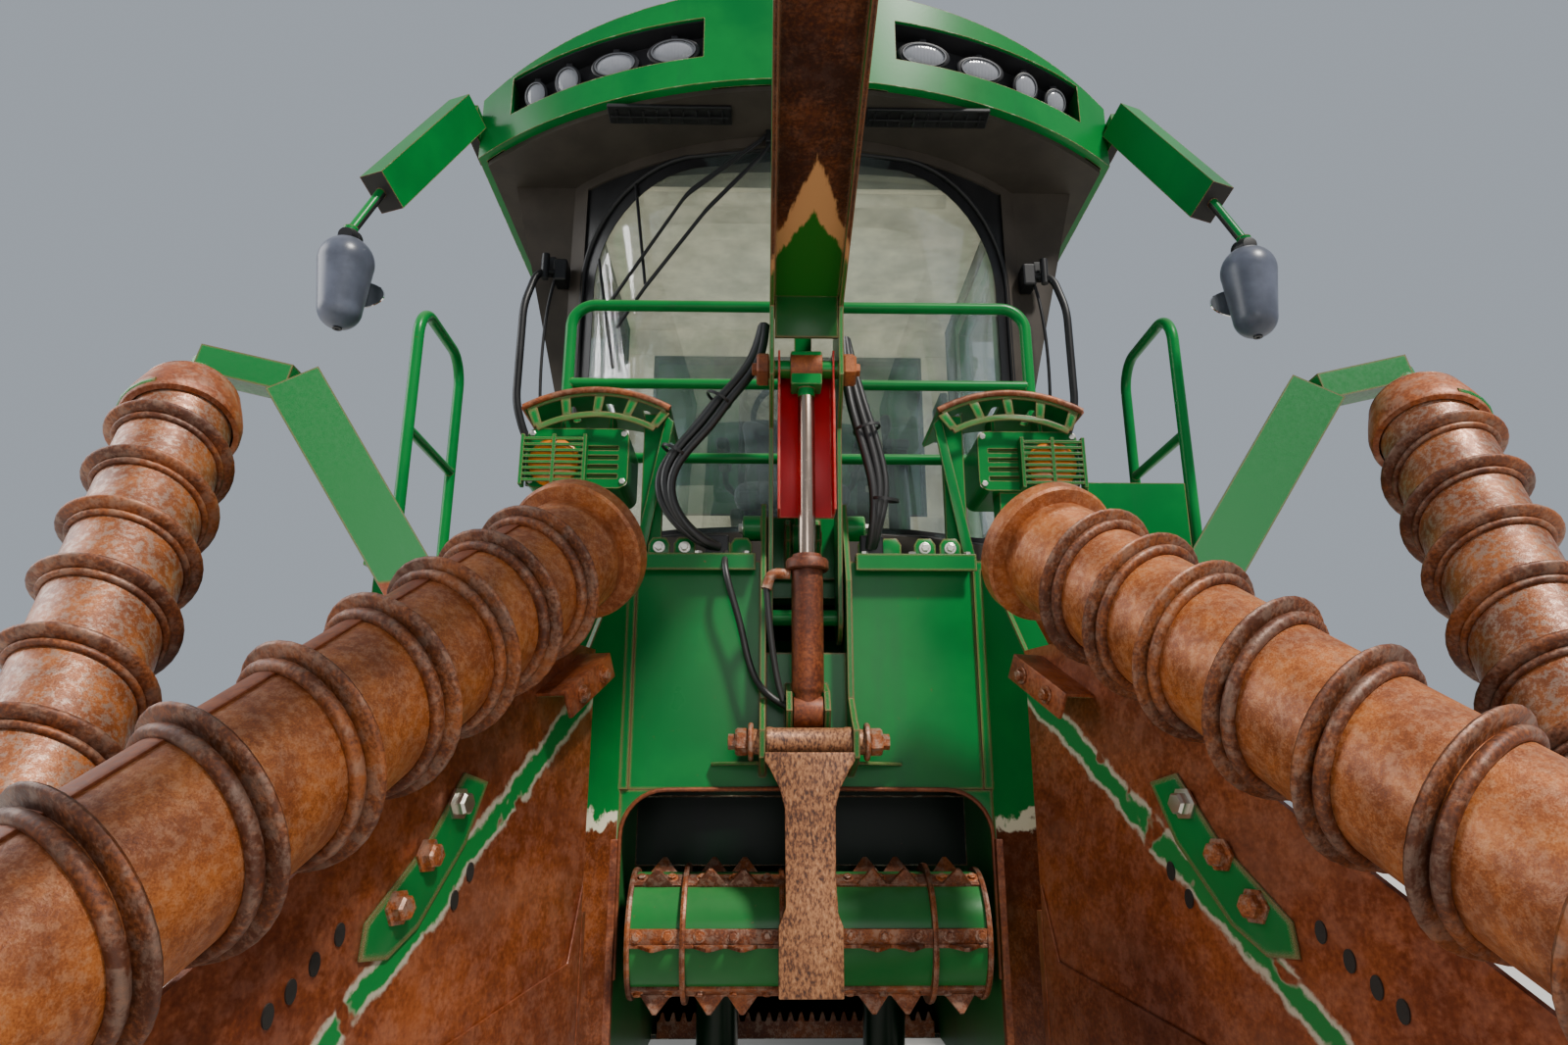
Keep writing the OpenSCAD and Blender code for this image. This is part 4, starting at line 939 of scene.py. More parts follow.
@dataclass(frozen=True)
class RustySteel(Finish):
    """Working steel that has rusted, with bare places and dark pits."""

    scale: float = 1.0
    bare: float = 0.3
    dark: float = 0.4
    tint: Triple = (1.0, 1.0, 1.0)
    gloss: float = 0.0
    bare_below: float = 0.0
    relief: float = 0.5

    def fill(self, n: Nodes, shader: bpy.types.Node) -> None:
        """Rust from the shared effect, tinted, with steel that shows more low down.

        Args:
            n: The material's nodes.
            shader: Its shader node.
        """
        where = n.place()
        rust = n.use(Effects.rust(), Vector=where, Scale=self.scale, Bare=self.bare, Dark=self.dark)
        colour = n.blend(1.0, rust.outputs["Color"], self.tint, "MULTIPLY")
        steel = rust.outputs["Steel"]
        if self.bare_below:
            height = n.xyz(where)["Z"]
            patch = n.noise(where, 5.0, 6.0, 0.6)
            low = n.minus(self.bare_below, n.plus(height, n.times(patch, 0.6)))
            polished = n.times(n.step(low, -0.3, 0.12), n.step(n.noise(where, 40.0, 4.0, 0.6), 0.3, 0.55))
            colour = n.blend(polished, colour, (0.46, 0.4, 0.33))
            steel = n.math("MAXIMUM", steel, polished)
        n.put(shader, Base_Color=colour, Metallic=n.span(steel, 0.25, 0.85),
              Roughness=n.minus(rust.outputs["Rough"], self.gloss, True))
        bump = n.add("ShaderNodeBump", Strength=self.relief, Distance=0.002, Height=rust.outputs["Height"])
        n.feed(shader.inputs["Normal"], bump.outputs[0])


@dataclass(frozen=True)
class Rubber(Finish):
    """Black rubber, greyer where it is dusty."""

    shade: float = 0.016
    dusty: float = 0.5
    rough: float = 0.62

    def fill(self, n: Nodes, shader: bpy.types.Node) -> None:
        """Dark rubber with dust and a fine grain.

        Args:
            n: The material's nodes.
            shader: Its shader node.
        """
        where = n.place()
        grain = n.noise(where, 140.0, 3.0, 0.6)
        s = self.shade
        colour = n.blend(n.noise(where, 5.0, 5.0, 0.6), (s * 0.7, s * 0.7, s * 0.72), (s * 1.5, s * 1.45, s * 1.4))
        dust = n.use(Effects.dust(), Vector=where, Amount=self.dusty).outputs["Mask"]
        colour = n.blend(dust, colour, DUST_ON_RUBBER)
        n.put(shader, Base_Color=colour, Roughness=n.span(grain, self.rough - 0.12, self.rough + 0.12),
              Normal=n.bump(0.25, 0.001, grain))


@dataclass(frozen=True)
class Moulded(Finish):
    """Moulded plastic or painted trim with a fine leather-like grain."""

    colour: Triple = (0.03, 0.028, 0.026)
    rough: float = 0.5
    grain: float = 220.0
    mottle: float = 0.3
    shine: float = 0.35
    painted_glow: float = 0.0

    def fill(self, n: Nodes, shader: bpy.types.Node) -> None:
        """Plain colour with cloudy shade, grain and a little dust.

        Args:
            n: The material's nodes.
            shader: Its shader node.
        """
        where = n.place()
        fine = n.noise(where, self.grain, 2.0, 0.5)
        cloud = n.noise(where, 6.0, 5.0, 0.6)
        r, g, b = self.colour
        low = (r * (1 - self.mottle), g * (1 - self.mottle), b * (1 - self.mottle))
        high = (r * (1 + self.mottle), g * (1 + self.mottle), b * (1 + self.mottle))
        colour = n.blend(n.step(cloud, 0.3, 0.7), low, high)
        dust = n.use(Effects.dust(), Vector=where, Amount=0.25).outputs["Mask"]
        colour = n.blend(dust, colour, DUST_ON_TRIM)
        n.put(shader, Base_Color=colour, Specular_IOR_Level=self.shine)
        # Painted light: a painted glow makes the part give off its own colour though it is no lamp
        if self.painted_glow:
            n.feed(shader.inputs["Emission Color"], colour)
            shader.inputs["Emission Strength"].default_value = self.painted_glow
        n.put(shader, Roughness=n.span(cloud, self.rough - 0.06, self.rough + 0.08),
              Normal=n.bump(0.15, 0.0008, fine))


@dataclass(frozen=True)
class Metal(Finish):
    """Clean or plated metal with fine scratches."""

    colour: Triple = (0.6, 0.58, 0.55)
    rough: float = 0.2
    stretch: Triple = (1.0, 1.0, 1.0)

    def fill(self, n: Nodes, shader: bpy.types.Node) -> None:
        """Metal with smears and scratches in its gloss.

        Args:
            n: The material's nodes.
            shader: Its shader node.
        """
        where = n.place()
        smear = n.noise(where, 14.0, 5.0, 0.6)
        line = n.noise(where, 160.0, 3.0, 0.6, self.stretch)
        r, g, b = self.colour
        n.put(shader, Base_Color=n.blend(smear, (r * 0.82, g * 0.8, b * 0.76), (r, g, b)), Metallic=1.0,
              Roughness=n.plus(n.span(smear, self.rough * 0.7, self.rough * 1.4), n.times(line, 0.08)),
              Normal=n.bump(0.08, 0.0005, line))


@dataclass(frozen=True)
class Glass(Finish):
    """Tinted glass with a film of dust."""

    tint: Triple = (0.62, 0.82, 0.8)
    clear: float = 0.9
    rough: float = 0.0
    alpha: float = 0.3

    def fill(self, n: Nodes, shader: bpy.types.Node) -> None:
        """Clear glass, slightly cloudy.

        Args:
            n: The material's nodes.
            shader: Its shader node.
        """
        where = n.place()
        film = n.noise(where, 2.2, 5.0, 0.65, (1.0, 1.0, 0.35))
        r, g, b = self.tint
        n.put(shader, Base_Color=n.blend(n.step(film, 0.35, 0.7), (r, g, b),
                                         (r * 0.85 + 0.1, g * 0.85 + 0.1, b * 0.85 + 0.1)),
              Roughness=n.span(n.step(film, 0.5, 0.8), self.rough, self.rough + 0.03), Transmission_Weight=self.clear,
              IOR=1.45, Alpha=n.span(n.step(film, 0.35, 0.8), self.alpha, self.alpha + 0.12))


@dataclass(frozen=True)
class SeatCloth(Finish):
    """Woven seat cloth."""

    colour: Triple = (0.035, 0.038, 0.045)

    def fill(self, n: Nodes, shader: bpy.types.Node) -> None:
        """A fine weave with sheen and some wear.

        Args:
            n: The material's nodes.
            shader: Its shader node.
        """
        where = n.place()
        warp = n.add("ShaderNodeTexWave", Vector=where, Scale=260.0, Distortion=0.6,
                     bands_direction="X").outputs["Fac"]
        weft = n.add("ShaderNodeTexWave", Vector=where, Scale=260.0, Distortion=0.6,
                     bands_direction="Z").outputs["Fac"]
        weave = n.times(warp, weft)
        r, g, b = self.colour
        cloud = n.noise(where, 8.0, 5.0, 0.6)
        colour = n.blend(n.times(n.plus(weave, cloud), 0.5), (r * 0.6, g * 0.6, b * 0.6), (r * 2.2, g * 2.2, b * 2.2))
        n.put(shader, Base_Color=colour, Roughness=0.85, Sheen_Weight=0.3, Normal=n.bump(0.35, 0.001, weave))


@dataclass(frozen=True)
class BoomPaint(Paint):
    """The boom's paint: scraped to rust on the underside, with one green patch left near the knee."""

    tip_y: float = -0.69
    cream: float = 0.17

    def extra(self, n: Nodes, where: Socket, colour: Socket,
              rough: Socket) -> tuple[Socket, Socket]:
        """Rust where the face looks down, and the patch with its primer border.

        Args:
            n: The material's nodes.
            where: The point being shaded.
            colour: Colour so far.
            rough: Roughness so far.

        Returns:
            Colour and roughness with the marks.
        """
        normal = n.add("ShaderNodeSeparateXYZ", Vector=n.normal())
        down = n.step(n.times(normal.outputs["Z"], -1.0), 0.35, 0.6)
        rust = n.use(Effects.rust(), Vector=where, Scale=1.0, Bare=0.1, Dark=0.75)
        xyz = n.xyz(where)
        ragged = n.noise(where, 26.0, 5.0, 0.7, (1.0, 0.25, 0.25))
        front = n.minus(xyz["Y"], self.tip_y + SHIFT_Y)
        width = n.math("ABSOLUTE", n.plus(xyz["X"], -0.005))
        wedge = n.minus(n.times(front, 0.36), width)
        wedge = n.plus(wedge, n.times(n.minus(ragged, 0.5), 0.06))
        inner = n.minus(n.times(n.minus(front, self.cream), 0.6), width)
        inner = n.plus(inner, n.times(n.minus(ragged, 0.5), 0.08))
        cream = n.times(n.step(wedge, 0.0, 0.01), down)
        green = n.times(n.step(inner, 0.0, 0.012), down)
        brown = n.blend(1.0, rust.outputs["Color"], (0.22, 0.18, 0.19), "MULTIPLY")
        streak = n.noise(where, 10.0, 5.0, 0.6, (1.0, 0.1, 0.1))
        brown = n.blend(n.times(n.step(streak, 0.4, 0.7), 0.5), brown, (0.05, 0.016, 0.01))
        colour = n.blend(down, colour, brown)
        colour = n.blend(cream, colour, (0.46, 0.22, 0.085))
        colour = n.blend(green, colour, (0.01, 0.095, 0.006))
        return colour, n.plus(rough, n.times(down, 0.25))


@dataclass(frozen=True)
class UndersidePaint(Paint):
    """Green paint whose underside is dark grey trim."""

    trim: Triple = (0.022, 0.021, 0.02)

    def extra(self, n: Nodes, where: Socket, colour: Socket,
              rough: Socket) -> tuple[Socket, Socket]:
        """Grey where the face looks down.

        Args:
            n: The material's nodes.
            where: The point being shaded; not used here.
            colour: Colour so far.
            rough: Roughness so far.

        Returns:
            Colour and roughness with the marks.
        """
        up = n.xyz(n.normal())["Z"]
        down = n.step(n.times(up, -1.0), 0.04, 0.08)
        return n.blend(down, colour, self.trim), n.plus(rough, n.times(down, 0.3))


@dataclass(frozen=True)
class CheekPaint(Paint):
    """The front body's paint: its side plates have lost it below a height, down to dark rust."""

    worn_z: float = 1.02
    side_x: float = 0.476

    def extra(self, n: Nodes, where: Socket, colour: Socket,
              rough: Socket) -> tuple[Socket, Socket]:
        """Rust on the side plates under a ragged edge of primer.

        Args:
            n: The material's nodes.
            where: The point being shaded.
            colour: Colour so far.
            rough: Roughness so far.

        Returns:
            Colour and roughness with the marks.
        """
        xyz = n.xyz(where)
        side = n.step(n.math("ABSOLUTE", xyz["X"]), self.side_x, self.side_x + 0.003)
        ragged = n.times(n.minus(n.noise(where, 8.0, 5.0, 0.6), 0.5), 0.22)
        low = n.minus(self.worn_z, n.plus(xyz["Z"], ragged))
        rust = n.use(Effects.rust(), Vector=where, Scale=1.2, Bare=0.1, Dark=0.4)
        brown = n.blend(1.0, rust.outputs["Color"], (0.36, 0.28, 0.3), "MULTIPLY")
        colour = n.blend(n.times(n.step(low, -0.03, -0.018), side), colour, self.primer)
        colour = n.blend(n.times(n.step(low, 0.0, 0.012), side), colour, brown)
        return colour, rough


@dataclass(frozen=True)
class WallRust(Finish):
    """Divider wall: smooth rust-brown sheet with remnants of green paint in a band, edged with primer."""

    band: float = 0.6

    def fill(self, n: Nodes, shader: bpy.types.Node) -> None:
        """Polished rust with a slanting band of paint remnants.

        Args:
            n: The material's nodes.
            shader: Its shader node.
        """
        where = n.place()
        rust = n.use(Effects.rust(), Vector=where, Scale=0.9, Bare=0.1, Dark=0.25)
        colour = n.blend(1.0, rust.outputs["Color"], (0.66, 0.52, 0.58), "MULTIPLY")
        # Lighter streaks along the flow: partly real scratching, partly a painted sheen
        rub_and_sheen = n.noise(where, 7.0, 5.0, 0.6, (1.0, 0.12, 1.0))
        colour = n.blend(n.times(n.step(rub_and_sheen, 0.45, 0.75), 0.4), colour, (0.3, 0.135, 0.085))
        xyz = n.xyz(where)
        # Distance under a line that falls from the rear top of the wall to its front
        y = n.minus(xyz["Y"], SHIFT_Y)
        line = n.minus(n.plus(n.times(y, 0.855), 1.575), xyz["Z"])
        ragged = n.times(n.minus(n.noise(where, 7.0, 6.0, 0.65), 0.5), 0.1)
        off = n.math("ABSOLUTE", n.plus(line, ragged))
        keep = n.minus(1.0, n.step(off, 0.02, 0.03))
        primer = n.minus(1.0, n.step(off, 0.032, 0.044))
        holes = n.step(n.noise(where, 12.0, 3.0, 0.5), 0.36, 0.42)
        keep = n.times(keep, holes)
        primer = n.times(primer, holes)
        colour = n.blend(primer, colour, (0.55, 0.5, 0.38))
        colour = n.blend(keep, colour, (0.003, 0.15, 0.026))
        # The struts above the wall's upper edge are painted
        edge = n.plus(n.times(y, 0.7027), 1.79)
        painted = n.step(n.minus(xyz["Z"], edge), 0.0, 0.012)
        worn = n.use(Effects.edge_wear(), Vector=where, Width=0.01, Amount=0.5, Scale=22.0)
        green = n.blend(worn.outputs["Primer"], GREEN, (0.45, 0.4, 0.28))
        green = n.blend(worn.outputs["Metal"], green, CHIP_STEEL)
        colour = n.blend(painted, colour, green)
        keep = n.math("MAXIMUM", keep, painted)
        n.put(shader, Base_Color=colour, Metallic=n.span(keep, 0.45, 0.0),
              Roughness=n.minus(rust.outputs["Rough"], 0.14))
        height = n.plus(rust.outputs["Height"], n.times(primer, 1.5))
        n.feed(shader.inputs["Normal"], n.bump(0.25, 0.0015, height))


@dataclass(frozen=True)
class Speckled(Finish):
    """Plate that has lost its paint: pale rust with dark speckles drawn down it."""

    def fill(self, n: Nodes, shader: bpy.types.Node) -> None:
        """Speckles stretched along the plate.

        Args:
            n: The material's nodes.
            shader: Its shader node.
        """
        where = n.place()
        dots = n.noise(where, 170.0, 4.0, 0.6, (1.0, 1.0, 0.5))
        patch = n.noise(where, 7.0, 5.0, 0.6)
        mix = n.plus(n.times(dots, 0.75), n.times(patch, 0.25))
        colour = n.ramp(mix, [(0.38, (0.045, 0.016, 0.008)), (0.46, (0.14, 0.052, 0.02)), (0.53, (0.28, 0.118, 0.048)),
                              (0.66, (0.46, 0.235, 0.115))])
        n.put(shader, Base_Color=colour, Metallic=n.span(n.step(mix, 0.5, 0.6), 0.1, 0.45),
              Roughness=n.span(mix, 0.7, 0.4), Normal=n.bump(0.45, 0.0015, mix))


@dataclass(frozen=True)
class Glowing(Finish):
    """Lamp glass or an amber lamp body, with ribs in its surface."""

    colour: Triple = (0.85, 0.87, 0.88)
    ribs: float = 90.0
    clear: float = 0.35

    def fill(self, n: Nodes, shader: bpy.types.Node) -> None:
        """Milky glass with moulded ribs.

        Args:
            n: The material's nodes.
            shader: Its shader node.
        """
        where = n.place()
        rib = n.add("ShaderNodeTexWave", Vector=where, Scale=self.ribs, Distortion=0.0,
                    bands_direction="X").outputs["Fac"]
        cloud = n.noise(where, 20.0, 4.0, 0.6)
        r, g, b = self.colour
        n.put(shader, Base_Color=n.blend(cloud, (r * 0.8, g * 0.8, b * 0.8), (r, g, b)),
              Roughness=n.span(cloud, 0.08, 0.2), Transmission_Weight=self.clear, Normal=n.bump(0.3, 0.001, rib))


class Finishes(Enum):
    """The finishes of this machine."""

    GREEN = Paint("green_paint_aged")
    PANEL = Paint("green_panel", chips=0.3, spots=0.1, dusty=0.25)
    THROAT = CheekPaint("green_throat", chips=0.62, width=0.012, spots=0.55, dusty=0.05)
    # The tunnel's near-black green is painted shade
    TUNNEL = Paint("green_shadowed", colour=(0.0005, 0.01, 0.003), chips=0.3, spots=0.2, dusty=0.0)
    WORN_GREEN = Paint("green_worn", chips=0.85, width=0.016, spots=0.9, dusty=0.1)
    FOLD = RustySteel("fold_rust", scale=0.9, bare=0.1, dark=0.25, tint=(0.42, 0.33, 0.36), gloss=0.1)
    CAP = RustySteel("cap_rust", scale=1.2, bare=0.3, dark=0.35, tint=(0.8, 0.66, 0.6))
    EDGE = RustySteel("edge_rust", scale=1.6, bare=0.25, dark=0.5, tint=(0.75, 0.6, 0.5))
    ROLLER = Paint("green_roller", colour=(0.002, 0.14, 0.022), chips=0.55, spots=1.0, dusty=0.12)
    # The apron's very dark green is painted shade; its chips and rust spots are real wear
    APRON = Paint("green_apron_shade", colour=(0.004, 0.055, 0.008), chips=0.7, width=0.012, spots=1.0, dusty=0.0)
    ARM = UndersidePaint("green_mirror_arm", chips=0.4)
    BOOM = BoomPaint("green_boom", chips=0.55, width=0.01)
    RED = Paint("red_lock", colour=(0.35, 0.006, 0.012), chips=0.3, spots=0.3, dusty=0.2)
    YELLOW = Paint("rim_yellow", colour=(0.62, 0.4, 0.03), chips=0.35, spots=0.4, dusty=0.9)
    SCROLL = RustySteel("scroll_rust", scale=3.0, bare=0.14, dark=0.22, gloss=0.1, bare_below=0.62,
                        tint=(0.86, 0.8, 0.72))
    SCROLL_WORN = RustySteel("scroll_worn", scale=3.0, bare=0.5, dark=0.3, gloss=0.12, bare_below=1.05,
                             tint=(0.66, 0.62, 0.6))
    BOSS = RustySteel("boss_rust", scale=2.5, bare=0.0, dark=0.5, tint=(0.62, 0.5, 0.4))
    FLIGHT = RustySteel("flight_rust", scale=1.3, bare=0.35, dark=0.65, tint=(0.55, 0.48, 0.45), relief=0.9)
    SEAM = RustySteel("seam_rust", bare=0.05, dark=0.35, tint=(0.52, 0.4, 0.42))
    WALL = WallRust("divider_wall")
    BRACKET = RustySteel("bracket_rust", bare=0.15, dark=0.5, tint=(0.6, 0.45, 0.42))
    SPECKLED = Speckled("speckled_plate")
    TOOTH = RustySteel("tooth_rust", scale=1.8, bare=0.45, dark=0.6, tint=(0.6, 0.5, 0.45), relief=0.8)
    BARREL = RustySteel("barrel_rust", bare=0.05, dark=0.6, tint=(0.5, 0.36, 0.34))
    NUT = RustySteel("nut_rust", scale=2.0, bare=0.6, dark=0.5, tint=(0.75, 0.65, 0.6))
    CHROME = Metal("chrome_rod", colour=(0.46, 0.35, 0.28), rough=0.2, stretch=(1, 1, 0.05))
    STEEL = Metal("cut_steel", colour=(0.45, 0.44, 0.43), rough=0.32)
    SILVER = Metal("mirror_silver", colour=(0.85, 0.87, 0.88), rough=0.04)
    ZINC = Metal("zinc_bolt", colour=(0.66, 0.64, 0.58), rough=0.3)
    ENGINE = Moulded("engine_metal", colour=(0.1, 0.1, 0.105), rough=0.5)
    STACK = RustySteel("stack_heat", scale=1.5, bare=0.2, dark=0.9, tint=(0.45, 0.4, 0.4))
    TRIM = Moulded("cab_trim_dark", colour=(0.044, 0.036, 0.029), rough=0.66, mottle=0.2, shine=0.25)
    BLACK = Moulded("black_trim", colour=(0.008, 0.008, 0.009), rough=0.42, shine=0.3)
    # The liner's painted glow is painted light that brightens the cab's inside; the liner is no lamp
    LINER = Moulded("cab_liner", colour=(0.46, 0.42, 0.3), rough=0.7, painted_glow=0.55)
    CHARCOAL = Moulded("mirror_case_dark", colour=(0.075, 0.084, 0.115), rough=0.33, grain=400.0)
    RECESS = Moulded("lamp_recess", colour=(0.016, 0.016, 0.019), rough=0.45)
    MESH = Moulded("grille_black", colour=(0.02, 0.02, 0.02), rough=0.6)
    GLASS = Glass("cab_glass_tinted")
    LENS = Glowing("lamp_lens_clear", colour=(0.3, 0.31, 0.35), ribs=26.0, clear=0.15)
    AMBER = Glowing("amber_lens", colour=(0.8, 0.22, 0.01), ribs=60.0, clear=0.1)
    TYRE = Rubber("tyre_rubber_black")
    HOSE = Rubber("hose_rubber", shade=0.012, dusty=0.25, rough=0.42)
    CHAIN = RustySteel("chain_worn", bare=0.5, dark=0.6, tint=(0.55, 0.5, 0.5))
    CLOTH = SeatCloth("seat_cloth_dark")

    def on(self, *objects: Piece) -> None:
        """Gives the finish to objects."""
        self.value.on(*objects)


NODE_FINISHES: dict[Finishes, tuple[str, ...]] = {
    Finishes.TUNNEL: ("feed_tunnel",),
    Finishes.GREEN: ("chassis_frame", "wheel_carriers", "walkways", "elevator_base", "knuckle_left",
                     "knuckle_right", "elevator_frame", "topper_head", "topper_link", "elevator_cylinders",
                     "lamp_pods", "rails"),
    Finishes.ARM: ("mirror_arms",),
    Finishes.PANEL: ("side_tanks", "engine_cover", "cab_roof", "extractor_chamber", "cab_door", "primary_hood",
                     "secondary_hood"),
    Finishes.THROAT: ("front_body",),
    Finishes.ROLLER: ("knockdown_roller",),
    Finishes.BOOM: ("topper_boom",),
    Finishes.SPECKLED: ("roller_arm",),
    Finishes.WALL: ("divider_frame_left", "divider_frame_right"),
    Finishes.SCROLL: ("inner_scroll_left", "inner_scroll_right"),
    Finishes.SCROLL_WORN: ("outer_scroll_left", "outer_scroll_right"),
    Finishes.TOOTH: ("gathering_drum_left", "gathering_drum_right"),
    Finishes.BARREL: ("boom_cylinder",),
    Finishes.CHROME: ("boom_rod", "elevator_rods"),
    Finishes.STEEL: ("basecutter_disc_left", "basecutter_disc_right", "primary_fan"),
    Finishes.ENGINE: ("engine_block",),
    Finishes.STACK: ("exhaust_stack",),
    Finishes.TRIM: ("cab_shell",),
    Finishes.BLACK: ("steering_console",),
    Finishes.MESH: ("side_grilles",),
    Finishes.GLASS: ("cab_glass", "door_glass"),
    Finishes.CLOTH: ("operator_seat",),
    Finishes.LENS: ("roof_lamps",),
    Finishes.CHARCOAL: ("mirrors",),
    Finishes.TYRE: ("front_tyre_left", "front_tyre_right", "rear_tyre_left", "rear_tyre_right"),
    Finishes.YELLOW: ("front_rim_left", "front_rim_right", "rear_rim_left", "rear_rim_right"),
    Finishes.CHAIN: ("elevator_chain",),
}


def front_frame(y: float) -> Matrix:
    """Frame whose outline points are (x, z) of the machine and whose z axis looks forward, at y."""
    return Matrix.Translation(at(0, y, 0)) @ Matrix(((1, 0, 0), (0, 0, 1), (0, -1, 0))).transposed().to_4x4()


def side_frame(x: float) -> Matrix:
    """Frame whose outline points are (y, z) of the machine and whose z axis looks to its left, at x."""
    return Matrix.Translation(at(x, 0, 0)) @ Matrix(((0, 1, 0), (0, 0, 1), (1, 0, 0))).transposed().to_4x4()


def cross_frame(x: float, y: float, z: float) -> Matrix:
    """Frame whose z axis runs along +X from a point."""
    return aim_matrix(at(x, y, z), TO_LEFT, UP)


def rectangle(x0: float, y0: float, x1: float, y1: float) -> list[Pair]:
    """Outline of a rectangle between two of its corners."""
    return [(x0, y0), (x1, y0), (x1, y1), (x0, y1)]


def arc(centre: Pair, radius: float, first: float, last: float, steps: int = 8) -> list[Pair]:
    """Points of an arc in an outline, from one angle in degrees to another."""
    turns = [radians(first + (last - first) * i / steps) for i in range(steps + 1)]
    return [(centre[0] + radius * cos(a), centre[1] + radius * sin(a)) for a in turns]


def fit(piece: Piece, finish: Finishes, *nodes: str, body: str = "chassis") -> Piece:
    """Gives a piece its finish, its body and the CAD nodes that it stands for.

    Args:
        piece: The piece.
        finish: Its finish.
        nodes: CAD nodes that it replaces.
        body: The CAD body that it rides on.

    Returns:
        The same piece.
    """
    finish.on(piece)
    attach(piece, body)
    if nodes:
        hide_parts(*nodes)
    log.info("%s rides on %s", piece.name, body)
    return piece


def fit_pair(piece: Piece, finish: Finishes, *nodes: str, body: str = "chassis") -> None:
    """Fits a piece on the left and its mirror image on the right.

    Args:
        piece: The left piece.
        finish: The finish of both.
        nodes: CAD nodes that both stand for.
        body: Their body; with a star in it, each side has its own.
    """
    stem = piece.name
    twin = Shop.mirrored(piece, f"{stem}_right")
    piece.name = f"{stem}_left"
    for side, part in ((Side.LEFT, piece), (Side.RIGHT, twin)):
        fit(part, finish, *nodes, body=body.replace("*", side.value))


@dataclass
class Studio:
    """Camera at the photograph's place, soft light and a plain pale floor."""

    eye: Triple = (-0.11, -2.6, 1.07)
    pitch: float = 16.0
    yaw: float = 1.15
    lens: float = 22.5
    sky: Triple = (0.78, 0.86, 0.97)
    sky_strength: float = 0.46
    sun_energy: float = 5.6
    sun_width: float = 7.0
    sun_colour: Triple = (1.0, 0.96, 0.9)
    sun_way: Triple = (-0.46, 0.62, -1.0)
    floor_size: float = 90.0
    floor_drop: float = 0.001

    def camera(self) -> None:
        """Puts the camera low in front of the throat, between the scrolls."""
        data = bpy.data.cameras.new("photo_camera")
        data.lens = self.lens
        data.sensor_width = 36.0
        data.clip_start = 0.05
        data.clip_end = 400.0
        obj = bpy.data.objects.new("photo_camera", data)
        obj.location = at(*self.eye)
        obj.rotation_euler = (radians(90 + self.pitch), 0.0, radians(-self.yaw))
        bpy.context.scene.collection.objects.link(obj)
        bpy.context.scene.camera = obj

    def lamp(self, name: str, place: Point, aim: Point, size: float, power: float) -> None:
        """An area light at a place, aimed at a point of the machine.

        Args:
            name: Its name.
            place: Where it hangs, in machine coordinates.
            aim: The point that it lights.
            size: Its width.
            power: Its power in watts.
        """
        data = bpy.data.lights.new(name, "AREA")
        data.shape = "DISK"
        data.size = size
        data.energy = power
        obj = bpy.data.objects.new(name, data)
        obj.location = at(*place)
        obj.rotation_euler = (at(*aim) - at(*place)).to_track_quat("-Z", "Y").to_euler()
        bpy.context.scene.collection.objects.link(obj)

    def build(self) -> None:
        """Camera, world, lights and floor."""
        self.camera()
        world = bpy.data.worlds.new("studio")
        bpy.context.scene.world = world
        world.use_nodes = True
        nodes = Nodes(world.node_tree)
        back = nodes.add("ShaderNodeBackground", Color=(*self.sky, 1.0), Strength=self.sky_strength)
        nodes.add("ShaderNodeOutputWorld", Surface=back.outputs[0])
        sun = bpy.data.lights.new("soft_sun", "SUN")
        sun.energy = self.sun_energy
        sun.angle = radians(self.sun_width)
        sun.color = self.sun_colour
        high = bpy.data.objects.new("soft_sun", sun)
        high.rotation_euler = Vector(self.sun_way).to_track_quat("-Z", "Y").to_euler()
        bpy.context.scene.collection.objects.link(high)
        # Name, place, point that it is aimed at, size and power
        self.lamp("throat_fill", (0.2, -4.6, 2.2), (0.0, 0.0, 1.3), 1.6, 30.0)
        self.lamp("side_fill", (-7.0, 0.0, 5.0), (0.0, 2.0, 1.5), 5.0, 350.0)
        Shop.clear()
        bpy.ops.mesh.primitive_plane_add(size=self.floor_size, location=(0, 0, -self.floor_drop))
        floor = Shop.settle(bpy.context.active_object)
        floor.name = "floor"
        Moulded("pale_floor", colour=(0.62, 0.61, 0.59), rough=0.8, grain=12.0, mottle=0.04).on(floor)


